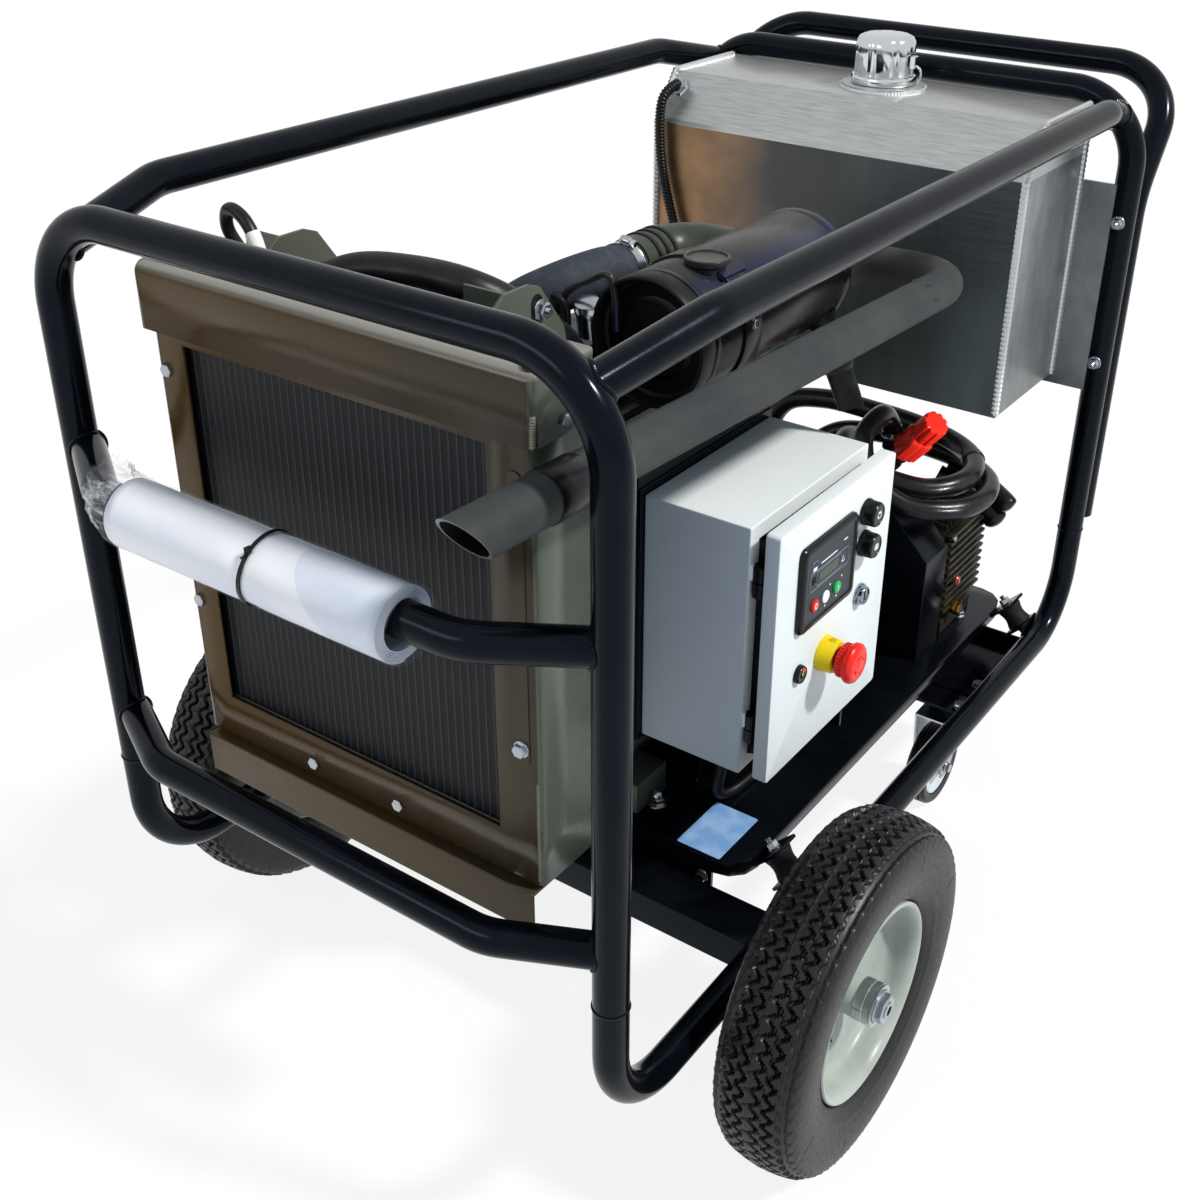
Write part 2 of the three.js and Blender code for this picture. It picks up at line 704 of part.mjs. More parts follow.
function axle() {
  const washer = 19;
  const nut = 15;
  const face = WHEEL_X + HUB_OUT + GAP;
  const side = [
    [AXLE_R, face],
    [washer, face],
    [washer, face + 3],
    [nut, face + 3],
    [nut, AXLE_END - 2],
    [0, AXLE_END - 2],
  ];
  const other = side.map(([r, a]) => [r, -a]).reverse();
  return turned([...other, ...side], 'x', v3(0, WHEEL_Y, WHEEL_RADIUS), 12);
}

const FORK_SHEET = 3;
const FORK_CLEAR = 3;
const CROWN_TOP = CASTER_BEAM_TOP - SHEET * 2 - CASTER_RACE - GAP;

/** The swivelling fork: crown over the wheel, two legs, and the wheel's axle bolt. */
function casterFork(x) {
  const inner = CASTER_WIDTH / 2 + FORK_CLEAR;
  const outer = inner + FORK_SHEET;
  const wheelY = CASTER_Y - CASTER_TRAIL;
  const crown = box(x - outer, x + outer, wheelY - 26, CASTER_Y + 26, CROWN_TOP - FORK_SHEET, CROWN_TOP);
  const legOutline = [
    [wheelY - 26, CROWN_TOP],
    [wheelY - 14, CASTER_RADIUS - 12],
    [wheelY + 14, CASTER_RADIUS - 12],
    [CASTER_Y + 26, CROWN_TOP],
  ];
  const legs = [plateYZ(legOutline, x - outer, x - inner), plateYZ(legOutline, x + inner, x + outer)];
  const bolt = bar(CASTER_BOLT, -outer - 5, outer + 5, 'x', v3(x, wheelY, CASTER_RADIUS), 12);
  return join(crown, ...legs, bolt);
}

function casterWheel(x) {
  const half = CASTER_WIDTH / 2;
  const bore = CASTER_BOLT + GAP;
  const side = [
    [bore, half + 1],
    [13, half + 1],
    [15, half - 6],
    [36, half - 4],
    [CASTER_RADIUS - 6, half],
    [CASTER_RADIUS, half - 7],
  ];
  const other = side.map(([r, a]) => [r, -a]);
  const profile = [...other, ...side.reverse()];
  const centre = v3(x, CASTER_Y - CASTER_TRAIL, CASTER_RADIUS);
  return turned([...profile, profile[0]], 'x', centre, 16);
}

function buildWheels() {
  add('axle', axle(), ZINC);
  addPair('tyre', tyre(WHEEL_X), RUBBER);
  addPair('wheel_rim', rim(WHEEL_X), RIM_SILVER);
  addPair('caster_fork', casterFork(CASTER_X), ZINC);
  addPair('caster_wheel', casterWheel(CASTER_X), RUBBER);
}

// ---------------------------------------------------------------- engine
/** A turned flange stack along y, given as [radius, y] pairs. */
function alongY(profile, x, z, segments = 24) {
  return turned(profile, 'y', v3(x, 0, z), segments);
}

function engineBlock() {
  const half = BLOCK_WIDTH / 2;
  const upper = CYLINDER_WIDTH / 2;
  const foot = TRAY_TOP + GAP;
  const sump = plateXZ(
    [[-half + 30, foot + 25], [half - 30, foot + 25], [half, 330], [half, BLOCK_SPLIT - 30],
      [upper, BLOCK_SPLIT], [-upper, BLOCK_SPLIT], [-half, BLOCK_SPLIT - 30], [-half, 330]],
    BLOCK_FRONT,
    BLOCK_REAR,
  );
  const cylinders = box(-upper, upper, BLOCK_FRONT, BLOCK_REAR, BLOCK_SPLIT - 10, BLOCK_TOP);
  const bell = alongY(
    [[0, BLOCK_REAR - 10], [BELL_RADIUS - 12, BLOCK_REAR - 10], [BELL_RADIUS, BLOCK_REAR + 20],
      [BELL_RADIUS, BELL_REAR], [70, (BELL_REAR * 9 + GUARD_FRONT * 7) / 16], [46, GUARD_FRONT - GAP],
      [0, GUARD_FRONT - GAP]],
    0,
    CRANK_Z,
  );
  const feet = [-1, 1].map((side) => box(
    side > 0 ? half - 60 : -half - 20,
    side > 0 ? half + 20 : -half + 60,
    BLOCK_FRONT + 96,
    BLOCK_FRONT + 156,
    foot,
    foot + 40,
  ));
  const timing = plateXZ(
    roundedRect(-half + 8, half - 8, 330, BLOCK_TOP - 30, 30, 2),
    TIMING_FRONT,
    BLOCK_FRONT + 1,
  );
  const pumpBoss = alongY(
    [[0, FAN_Y + 8], [30, FAN_Y + 8], [38, BLOCK_FRONT], [0, BLOCK_FRONT]],
    0,
    FAN_Z,
    14,
  );
  const alternator = alongY(
    [[0, BLOCK_FRONT - 2], [42, BLOCK_FRONT - 2], [52, BLOCK_FRONT + 12], [52, BLOCK_FRONT + 88],
      [40, BLOCK_FRONT + 104], [0, BLOCK_FRONT + 104]],
    -upper - 34,
    570,
    16,
  );
  const starter = alongY(
    [[0, BLOCK_REAR - 150], [34, BLOCK_REAR - 150], [38, BLOCK_REAR - 140], [38, BLOCK_REAR + 5],
      [0, BLOCK_REAR + 5]],
    -half - 12,
    440,
    14,
  );
  const all = join(sump, cylinders, bell, ...feet, timing, pumpBoss, alternator, starter);
  return all.translate(ENGINE_X, 0, 0);
}

/** The cylinder head with its rocker cover, exhaust manifold and hose spigots. */
function cylinderHead() {
  const half = CYLINDER_WIDTH / 2;
  const head = box(-half + 2, half - 2, BLOCK_FRONT + 4, BLOCK_REAR - 4, BLOCK_TOP + GAP, HEAD_TOP);
  const cover = plateXZ(
    [[-62, HEAD_TOP - 2], [56, HEAD_TOP - 2], [56, COVER_TOP - 22], [34, COVER_TOP], [-40, COVER_TOP],
      [-62, COVER_TOP - 22]],
    BLOCK_FRONT + 38,
    BLOCK_REAR - 20,
  );
  const filler = bar(20, COVER_TOP - 4, COVER_TOP + 16, 'z', v3(0, BLOCK_FRONT + 250, 0), 14);
  const thermostat = bar(
    22,
    HEAD_TOP - 10,
    THERMOSTAT.top,
    'z',
    v3(THERMOSTAT.x - ENGINE_X, THERMOSTAT.y, 0),
    14,
  );
  const intake = bar(
    INTAKE_RADIUS,
    COVER_TOP - 10,
    INTAKE.top,
    'z',
    v3(INTAKE.x - ENGINE_X, INTAKE.y, 0),
    14,
  );
  const manifold = box(
    half - 6,
    MANIFOLD_X - ENGINE_X + 22,
    BLOCK_FRONT + 60,
    MANIFOLD_REAR,
    BLOCK_TOP + 6,
    HEAD_TOP - 6,
  );
  return join(head, cover, filler, thermostat, intake, manifold).translate(ENGINE_X, 0, 0);
}

function coolingFan() {
  const hub = alongY(
    [[0, FAN_Y - 14], [34, FAN_Y - 14], [38, FAN_Y + 8 - GAP], [0, FAN_Y + 8 - GAP]],
    0,
    FAN_Z,
    14,
  );
  const parts = [hub];
  for (let k = 0; k < FAN_BLADES; k += 1) {
    const blade = new THREE.BoxGeometry(52, 3, FAN_RADIUS - 30);
    blade.rotateZ(THREE.MathUtils.degToRad(24));
    blade.translate(0, 0, (FAN_RADIUS + 30) / 2);
    blade.rotateY((k / FAN_BLADES) * Math.PI * 2);
    parts.push(blade.translate(0, FAN_Y - 4, FAN_Z));
  }
  return join(...parts).translate(ENGINE_X, 0, 0);
}

function buildEngine() {
  add('engine_block', engineBlock(), ENGINE_GREY);
  add('cylinder_head', cylinderHead(), SATIN_BLACK);
  add('cooling_fan', coolingFan(), BLACK_PLASTIC);
}

// ---------------------------------------------------------------- radiator
/** The painted hood in front of the core: front with its window, folded sides and top. */
function radiatorShroud() {
  const fold = 12;
  const y0 = SHROUD_FRONT;
  const y1 = SHROUD_FRONT + SHROUD_DEPTH;
  const s = SHROUD_SHEET;
  const side = [[y0, SHROUD_BOTTOM], [y1, SHROUD_BOTTOM], [y1, SHROUD_TOP]];
  const arc = [0, 1, 2, 3].map((k) => {
    const a = Math.PI / 2 + (k * Math.PI) / 6;
    return [y0 + fold + fold * Math.cos(a), SHROUD_TOP - fold + fold * Math.sin(a)];
  });
  const outer = plateYZ([...side, ...arc], SHROUD_LEFT, SHROUD_RIGHT);
  const inner = box(SHROUD_LEFT + s, SHROUD_RIGHT - s, y0 + s, y1 + 1, SHROUD_BOTTOM - 1, SHROUD_TOP - s);
  const opening = box(-CORE_WIDTH / 2, CORE_WIDTH / 2, y0 - 1, y0 + s + 1, CORE_BOTTOM, CORE_TOP);
  return cut(outer, inner, opening);
}

const NECK = {
  x: -150,
  y: SHROUD_FRONT + CORE_DEPTH + 58,
  z: (CORE_TOP + SHROUD_TOP) / 2 - 10,
};
const TANK_BACK = SHROUD_FRONT + SHROUD_SHEET + GAP + CORE_DEPTH + 12;

/** The radiator: finned core between an upper and a lower tank, and the hose neck. */
function radiatorCore() {
  const left = SHROUD_LEFT + SHROUD_SHEET + GAP;
  const right = SHROUD_RIGHT - SHROUD_SHEET - GAP;
  const y0 = SHROUD_FRONT + SHROUD_SHEET + GAP;
  const edge = CORE_WIDTH / 2;
  const core = box(-edge - 12, edge + 12, y0 + 3, y0 + CORE_DEPTH, CORE_BOTTOM - 5, CORE_TOP + 5);
  const top = box(left, right, y0, TANK_BACK, CORE_TOP + 1, SHROUD_TOP - SHROUD_SHEET - GAP - 10);
  const bottom = box(left, right, y0, TANK_BACK, SHROUD_BOTTOM - 6, CORE_BOTTOM - 1);
  const neck = bar(16, TANK_BACK - 4, NECK.y - GAP, 'y', v3(NECK.x, 0, NECK.z), 14);
  const grooves = [];
  const pitch = CORE_WIDTH / (CORE_GROOVES + 1);
  for (let k = 1; k <= CORE_GROOVES; k += 1) {
    const x = -edge + k * pitch;
    grooves.push(box(x - 1.2, x + 1.2, y0 + 1, y0 + 8, CORE_BOTTOM, CORE_TOP));
  }
  return cut(join(core, top, bottom, neck), ...grooves);
}

/** The folded tray under the radiator, with two arms to the engine's front. */
function radiatorTray() {
  const top = SHROUD_BOTTOM - 6 - GAP;
  const y0 = SHROUD_FRONT - 10;
  const y1 = TANK_BACK + 8;
  const deck = box(SHROUD_LEFT + 8, SHROUD_RIGHT - 4, y0, y1, top - 4, top);
  const lip = box(SHROUD_LEFT + 8, SHROUD_RIGHT - 4, y0, y0 + 4, top - 46, top);
  const arms = [-1, 1].map((side) => box(
    ENGINE_X + side * 80 - 12,
    ENGINE_X + side * 80 + 12,
    y1 - 40,
    TIMING_FRONT - GAP,
    top - 34,
    top - 1,
  ));
  return join(deck, lip, ...arms);
}

/** Upper hose between the radiator's neck and the thermostat housing. */
function radiatorHose() {
  const neckPoint = (right, back, up) => v3(NECK.x + right, NECK.y + back, NECK.z + up);
  const housingPoint = (right, back, up) => v3(
    THERMOSTAT.x + right,
    THERMOSTAT.y + back,
    THERMOSTAT.top + up,
  );
  return hose(
    [neckPoint(0, 0, 0), neckPoint(0, 18, 0), neckPoint(38, 53, 17), neckPoint(90, 69, 21),
      neckPoint(150, 77, 19), housingPoint(-8, -74, 100), housingPoint(0, -14, 50),
      housingPoint(0, 0, 22), housingPoint(0, 0, GAP)],
    18,
    16,
    10,
  );
}

/** A folded stay from the radiator's upper tank to the cylinder head. */
function radiatorStay(x, footTo) {
  const flange = box(x - 44, x + 1, STAY_REAR, STAY_REAR + SHEET, STAY_TOP - 66, STAY_TOP);
  const foot = HEAD_TOP + GAP;
  const side = plateYZ(
    [[TANK_BACK + GAP, STAY_TOP - 60], [TANK_BACK + GAP, STAY_TOP - 96], [BLOCK_FRONT + 4, foot],
      [BLOCK_FRONT + 26, foot], [BLOCK_FRONT - 2, STAY_TOP - 52], [STAY_REAR + 50, STAY_TOP - 6],
      [STAY_REAR + 34, STAY_TOP], [STAY_REAR, STAY_TOP]],
    x,
    x + SHEET,
  );
  const base = box(
    Math.min(x, footTo),
    Math.max(x, footTo) + SHEET,
    BLOCK_FRONT + 4,
    BLOCK_FRONT + 26,
    foot,
    foot + SHEET,
  );
  return join(flange, side, base);
}

function buildRadiator() {
  add('radiator_shroud', radiatorShroud(), OLIVE_PAINT);
  add('radiator_core', radiatorCore(), CORE_BLACK);
  add('radiator_tray', radiatorTray(), OLIVE_PAINT);
  add('radiator_hose', radiatorHose(), HOSE_RUBBER);
  add('radiator_stay_right', radiatorStay(STAY_RIGHT.x, STAY_RIGHT.foot), ENGINE_GREY);
  add('radiator_stay_left', radiatorStay(STAY_LEFT.x, STAY_LEFT.foot), ENGINE_GREY);
}

// ---------------------------------------------------------------- air and exhaust
const HOSE_Y = 430; // joint between the cleaner's elbow and the intake hose
const STRAP_PROUD = 3;
const PORT_RADIUS = 23;
const HOSE_X = CLEANER_X - CLEANER_RADIUS - INTAKE_RADIUS - STRAP_PROUD;
const HOSE_Z = CLEANER_Z + 34;
const COVER_DEPTH = 24;

function airCleaner() {
  const r = CLEANER_RADIUS;
  const back = CLEANER_FRONT + COVER_DEPTH;
  const body = alongY(
    [[0, back], [r - 4, back], [r, back + 4], [r, CLEANER_REAR - 8], [r - 8, CLEANER_REAR],
      [0, CLEANER_REAR]],
    CLEANER_X,
    CLEANER_Z,
  );
  const top = CLEANER_Z + r;
  const strapY = CLEANER_FRONT + 88;
  const strap = alongY(
    [[0, strapY - 15], [r + STRAP_PROUD, strapY - 15], [r + STRAP_PROUD, strapY + 15], [0, strapY + 15]],
    CLEANER_X,
    CLEANER_Z,
  );
  const port = turned(
    [[0, top - 24], [18, top - 24], [18, top], [PORT_RADIUS, top + 1], [PORT_RADIUS, top + 6],
      [0, top + 6]],
    'z',
    v3(CLEANER_X + 20, strapY - 14, 0),
    14,
  );
  const elbowPath = new BentPath(
    [v3(CLEANER_X - 20, 524, HOSE_Z), v3(HOSE_X, 524, HOSE_Z), v3(HOSE_X, HOSE_Y, HOSE_Z)],
    [50],
  );
  const elbow = tube(elbowPath, ELBOW_RADIUS, 14);
  const valve = turned([[0, 0], [17, 0], [19, 40], [19, 56], [14, 84], [0, 84]], 'y', v3(0, 0, 0), 12);
  const droop = v3(0.42, 0, -0.9).normalize();
  valve.applyQuaternion(new THREE.Quaternion().setFromUnitVectors(v3(0, 1, 0), droop));
  valve.translate(CLEANER_X + r * 0.32, CLEANER_REAR - 37, CLEANER_Z - r * 0.8);
  return join(body, strap, port, elbow, valve);
}

/** The cleaner's screw-on end cover, dished in the middle. */
function airCleanerCover() {
  const r = CLEANER_RADIUS;
  const y = CLEANER_FRONT;
  return alongY(
    [[0, y + 12], [r - 26, y + 8], [r - 20, y], [r - 2, y], [r, y + 4], [r, y + COVER_DEPTH - GAP],
      [0, y + COVER_DEPTH - GAP]],
    CLEANER_X,
    CLEANER_Z,
  );
}

function intakeHose() {
  return hose(
    [v3(HOSE_X, HOSE_Y - GAP, HOSE_Z), v3(HOSE_X, HOSE_Y - 20, HOSE_Z), v3(HOSE_X - 6, 384, HOSE_Z + 1),
      v3(INTAKE.x + 48, INTAKE.y + 24, HOSE_Z - 6), v3(INTAKE.x + 18, INTAKE.y + 2, HOSE_Z - 24),
      v3(INTAKE.x, INTAKE.y, INTAKE.top + 24),
      v3(INTAKE.x, INTAKE.y, INTAKE.top + GAP)],
    INTAKE_RADIUS,
    12,
    10,
  );
}

/** The tail pipe: slash cut in front, along the top rail, and down to the manifold. */
function exhaustPipe() {
  const r = EXHAUST_OD / 2;
  const x = EXHAUST_X;
  const start = EXHAUST_OUTLET - 30;
  const path = new BentPath(
    [v3(x, start, EXHAUST_FRONT_Z), v3(x, EXHAUST_BEND_Y, EXHAUST_REAR_Z),
      v3(MANIFOLD_X + 10, EXHAUST_BEND_Y, EXHAUST_REAR_Z - 4), v3(MANIFOLD_X, BELL_REAR + 8, MANIFOLD_Z),
      v3(MANIFOLD_X, MANIFOLD_REAR + GAP, MANIFOLD_Z)],
    [EXHAUST_BEND_RADIUS, EXHAUST_BEND_RADIUS, EXHAUST_BEND_RADIUS],
  );
  const lean = Math.atan2(EXHAUST_FRONT_Z - EXHAUST_REAR_Z, EXHAUST_BEND_Y - start);
  const bore = new THREE.CylinderGeometry(r - 2.5, r - 2.5, 150, 14).rotateX(-lean);
  bore.translate(x, EXHAUST_OUTLET, EXHAUST_FRONT_Z - 1);
  const size = EXHAUST_OD * 3;
  const slash = new THREE.BoxGeometry(size, size, size).translate(0, -size / 2, 0);
  slash.rotateX(THREE.MathUtils.degToRad(EXHAUST_SLASH)).translate(x, EXHAUST_OUTLET, EXHAUST_FRONT_Z - 1);
  const band = new THREE.CylinderGeometry(r + 1.5, r + 1.5, 45, 14).rotateX(-lean);
  band.translate(x, 14, EXHAUST_FRONT_Z - (14 - start) * Math.tan(lean));
  return cut(join(tube(path, r, 14), band), bore, slash);
}

function buildAirAndExhaust() {
  add('air_cleaner', airCleaner(), SATIN_BLACK);
  add('air_cleaner_cover', airCleanerCover(), BLACK_PLASTIC);
  add('intake_hose', intakeHose(), HOSE_RUBBER);
  add('exhaust_pipe', exhaustPipe(), PIPE_GREY);
}

// ---------------------------------------------------------------- fuel tank
const FLANGE_END = SIDE_X - TUBE_R / 2 + GAP * 0.5; // the flanges are welded to the hoop

function fuelTank() {
  const half = TANK_WIDTH / 2;
  const outline = [
    [TANK_FRONT, TANK_BOTTOM],
    [TANK_REAR, TANK_BOTTOM],
    [TANK_REAR, TANK_TOP],
    [TANK_FRONT + TANK_CHAMFER_BACK, TANK_TOP],
    [TANK_FRONT, TANK_TOP - TANK_CHAMFER_DROP],
  ];
  const shell = plateYZ(outline, -half, half);
  const sheet = 2;
  const inner = plateYZ(
    [
      [TANK_FRONT + sheet, TANK_BOTTOM + sheet],
      [TANK_REAR - sheet, TANK_BOTTOM + sheet],
      [TANK_REAR - sheet, TANK_TOP - sheet],
      [TANK_FRONT + TANK_CHAMFER_BACK + sheet / 2, TANK_TOP - sheet],
      [TANK_FRONT + sheet, TANK_TOP - TANK_CHAMFER_DROP - sheet / 2],
    ],
    -half + sheet,
    half - sheet,
  );
  const flange = box(
    half - 14,
    FLANGE_END,
    TANK_REAR - 1,
    TANK_REAR + SHEET,
    TANK_BOTTOM - 13,
    TANK_TOP - 95,
  );
  const filler = bar(54, TANK_TOP - 1, TANK_TOP + 5, 'z', v3(CAP_X, CAP_Y, 0), CAP_SIDES);
  const neck = bar(NECK_RADIUS, TANK_TOP, TANK_TOP + 20, 'z', v3(CAP_X, CAP_Y, 0), CAP_SIDES);
  const mouth = bar(NECK_RADIUS - 4, TANK_TOP - 6, TANK_TOP + 30, 'z', v3(CAP_X, CAP_Y, 0), CAP_SIDES);
  const hollow = cut(join(shell, flange, mirrored(flange), filler, neck), inner, mouth);
  return hollow;
}

function fuelCap() {
  const floor = TANK_TOP + 20 + GAP;
  const bottom = TANK_TOP + 5 + GAP;
  const r = CAP_RADIUS;
  const bore = NECK_RADIUS / Math.cos(Math.PI / CAP_SIDES) + GAP; // turns over the neck's corners
  const top = TANK_TOP + CAP_HEIGHT;
  return turned(
    [[bore, bottom], [r, bottom], [r, bottom + 8], [r - 3, bottom + 12], [r - 3, top - 12],
      [r - 10, top], [0, top], [0, floor], [bore, floor], [bore, bottom]],
    'z',
    v3(CAP_X, CAP_Y, 0),
    CAP_SIDES,
  );
}

/** A corrugated conduit: square-edged ribs on a smooth bore, both joined at the ends. */
function corrugated(points, radius, ribHeight, pitch) {
  const curve = new THREE.CatmullRomCurve3(points, false, 'centripetal');
  const ribs = Math.floor(curve.getLength() / pitch / BORE_RIB_COUNT) * BORE_RIB_COUNT;
  const frames = curve.computeFrenetFrames(ribs, false);
  const vertices = [];
  const indices = [];
  const ring = (u, r) => {
    const k = Math.round(u * ribs);
    const centre = curve.getPointAt(u);
    for (let s = 0; s < CONDUIT_SIDES; s += 1) {
      const a = (s / CONDUIT_SIDES) * Math.PI * 2;
      const p = centre.clone()
        .addScaledVector(frames.normals[k], r * Math.cos(a))
        .addScaledVector(frames.binormals[k], r * Math.sin(a));
      vertices.push(p.x, p.y, p.z);
    }
    return vertices.length / 3 - CONDUIT_SIDES;
  };
  const skin = (from, to) => {
    for (let s = 0; s < CONDUIT_SIDES; s += 1) {
      const t = (s + 1) % CONDUIT_SIDES;
      indices.push(from + s, from + t, to + s, from + t, to + t, to + s);
    }
  };
  const outer = [];
  for (let k = 0; k <= ribs; k += 1) {
    outer.push(ring(k / ribs, radius - ribHeight));
    if (k < ribs) outer.push(ring((k + 0.5) / ribs, radius));
  }
  const bore = [];
  for (let k = 0; k <= ribs; k += BORE_RIB_COUNT) bore.push(ring(k / ribs, radius - ribHeight - 1));
  for (let k = 1; k < outer.length; k += 1) skin(outer[k - 1], outer[k]);
  for (let k = bore.length - 1; k > 0; k -= 1) skin(bore[k], bore[k - 1]);
  skin(outer[outer.length - 1], bore[bore.length - 1]);
  skin(bore[0], outer[0]);
  const geometry = new THREE.BufferGeometry();
  geometry.setAttribute('position', new THREE.Float32BufferAttribute(vertices, 3));
  geometry.setIndex(indices);
  return geometry;
}

/** From its fitting on the tank's chamfer down in front of the tank to the engine. */
function tankConduit() {
  const rise = Math.atan2(TANK_CHAMFER_DROP, TANK_CHAMFER_BACK);
  const out = v3(0, -Math.sin(rise), Math.cos(rise));
  const back = TANK_CHAMFER_BACK * 0.65;
  const x = -TANK_WIDTH / 2;
  const y = TANK_FRONT - CONDUIT_RADIUS - 3;
  const edge = TANK_TOP - TANK_CHAMFER_DROP;
  const seat = v3(x + 19, TANK_FRONT + back, edge + back * Math.tan(rise));
  return corrugated(
    [seat.clone().addScaledVector(out, GAP * 2), seat.clone().addScaledVector(out, 14),
      v3(x + 13, y + 3, edge + 31), v3(x + 12, y - 1, edge - 13), v3(x + 20, y - 1, edge - 73),
      v3(x + 48, y - 2, edge - 158), v3(x + 84, y - 12, edge - 213), v3(x + 114, y - 60, edge - 253)],
    CONDUIT_RADIUS,
    CONDUIT_RIB,
    CONDUIT_PITCH,
  );
}

function buildTank() {
  add('fuel_tank', fuelTank(), ALUMINIUM);
  add('fuel_cap', fuelCap(), CHROME);
  add('tank_conduit', tankConduit(), BLACK_PLASTIC);
}

// ---------------------------------------------------------------- control box
const DOOR_BACK = BOX_FACE + DOOR_GAP;
const DOOR_FACE = DOOR_BACK + DOOR_THICKNESS;
const BOX_MID_Y = BOX_FRONT + BOX_WIDTH / 2;
const HINGE_RADIUS = DOOR_GAP / 2 - GAP;
const HINGE_Y = BOX_FRONT + HINGE_RADIUS + 1;
const BOX_TOP = BOX_BOTTOM + BOX_HEIGHT;
const RIM_IN = HINGE_RADIUS * 2 + 4; // the sealing rim stands inside the hinges

/** A block inside the box's outline, kept an even distance in from all four sides. */
function rimBox(x0, x1, inset) {
  const y1 = BOX_FRONT + BOX_WIDTH;
  return box(x0, x1, BOX_FRONT + inset, y1 - inset, BOX_BOTTOM + inset, BOX_TOP - inset);
}

function controlBox() {
  const y1 = BOX_FRONT + BOX_WIDTH;
  const shell = box(BOX_FACE - BOX_DEPTH, BOX_FACE, BOX_FRONT, y1, BOX_BOTTOM, BOX_TOP);
  const wall = 2.5;
  const inner = box(
    BOX_FACE - BOX_DEPTH + wall,
    BOX_FACE + 1,
    BOX_FRONT + wall,
    y1 - wall,
    BOX_BOTTOM + wall,
    BOX_TOP - wall,
  );
  const lip = cut(
    rimBox(BOX_FACE - 1, BOX_FACE + DOOR_GAP - GAP, RIM_IN),
    rimBox(BOX_FACE - 2, BOX_FACE + DOOR_GAP, RIM_IN + 4),
  );
  const frame = cut(
    rimBox(BOX_FACE - 3, BOX_FACE, 0),
    rimBox(BOX_FACE - 4, BOX_FACE + 1, RIM_IN + 4),
  );
  const standX = BOX_FACE - BOX_DEPTH + 22;
  const floor = TRAY_TOP + GAP;
  const stand = box(standX, standX + SHEET, BOX_FRONT + 90, y1 - 20, floor, BOX_BOTTOM + 1);
  const foot = box(standX - 16, standX + 1, BOX_FRONT + 90, y1 - 20, floor, floor + SHEET);
  const knuckles = [0.2, 0.8].map((f) => {
    const z = BOX_BOTTOM + BOX_HEIGHT * f;
    return join(
      bar(HINGE_RADIUS, z + GAP, z + 18, 'z', HINGE_AXIS, 12),
      box(BOX_FACE - 1, HINGE_AXIS.x, HINGE_Y - 6, HINGE_Y + 6, z + GAP, z + 18),
    );
  });
  return join(cut(shell, inner), frame, lip, stand, foot, ...knuckles);
}

function doorPanel() {
  const y1 = BOX_FRONT + BOX_WIDTH;
  const outer = plateYZ(roundedRect(BOX_FRONT, y1, BOX_BOTTOM, BOX_TOP, 5, 2), DOOR_BACK, DOOR_FACE);
  const inner = box(
    DOOR_BACK - 1,
    DOOR_FACE - DOOR_SHEET,
    BOX_FRONT + DOOR_SHEET,
    y1 - DOOR_SHEET,
    BOX_BOTTOM + DOOR_SHEET,
    BOX_TOP - DOOR_SHEET,
  );
  return cut(outer, inner);
}

const HINGE_AXIS = v3(BOX_FACE + DOOR_GAP / 2, HINGE_Y, 0);

const MODULE_Y0 = BOX_MID_Y - MODULE_WIDTH / 2 - 26;
const MODULE_Z0 = BOX_BOTTOM + 164;
const ESTOP_Y = MODULE_Y0 + 70;
const ESTOP_Z = BOX_BOTTOM + 110;
const COLLAR_RADIUS = 24;
const COLLAR_HEIGHT = 18;
const STEM_RADIUS = 11;
const STEM_BORE = STEM_RADIUS + GAP * 1.5;
const SOCKETS = { y: BOX_FRONT + BOX_WIDTH - 66, upperZ: BOX_BOTTOM + 250, lowerZ: BOX_BOTTOM + 212 };
const SOCKET_LENGTH = 10;
const SOCKET_CAP_LENGTH = 17;
const SOCKET_RADIUS = 15;
const KEY = { y: BOX_FRONT + BOX_WIDTH - 64, z: BOX_BOTTOM + 147, radius: 13 };
const INDICATOR = { y: BOX_FRONT + 55, z: BOX_BOTTOM + 112, radius: 9 };
const BUTTON_RADIUS = 7;
const BUTTON_Z = MODULE_Z0 + 26;
const STOP_Y = MODULE_Y0 + 29;
const START_Y = MODULE_Y0 + 77;

function along(y, z, radius, from, to, segments = 20) {
  return bar(radius, from, to, 'x', v3(0, y, z), segments);
}

function controlDoor() {
  const collar = turned(
    [[STEM_BORE, DOOR_FACE - DOOR_SHEET], [COLLAR_RADIUS + 2, DOOR_FACE - DOOR_SHEET],
      [COLLAR_RADIUS + 2, DOOR_FACE + COLLAR_HEIGHT - 3], [COLLAR_RADIUS, DOOR_FACE + COLLAR_HEIGHT],
      [STEM_BORE, DOOR_FACE + COLLAR_HEIGHT], [STEM_BORE, DOOR_FACE - DOOR_SHEET]],
    'x',
    v3(0, ESTOP_Y, ESTOP_Z),
    16,
  );
  const passage = along(ESTOP_Y, ESTOP_Z, STEM_BORE, DOOR_BACK - 2, DOOR_FACE + 1, 16);
  const spouts = [SOCKETS.upperZ, SOCKETS.lowerZ].map((z) => along(
    SOCKETS.y,
    z,
    SOCKET_RADIUS - 5,
    DOOR_FACE - 1,
    DOOR_FACE + SOCKET_LENGTH,
    10,
  ));
  const lamp = along(INDICATOR.y, INDICATOR.z, INDICATOR.radius, DOOR_FACE - 1, DOOR_FACE + 5, 12);
  const leaves = [0.2, 0.8].map((f) => {
    const z = BOX_BOTTOM + BOX_HEIGHT * f;
    return join(
      bar(HINGE_RADIUS, z - 18, z, 'z', HINGE_AXIS, 12),
      box(HINGE_AXIS.x, DOOR_FACE - 1, HINGE_Y - 6, HINGE_Y + 6, z - 18, z),
    );
  });
  return join(cut(doorPanel(), passage), collar, ...spouts, lamp, ...leaves);
}

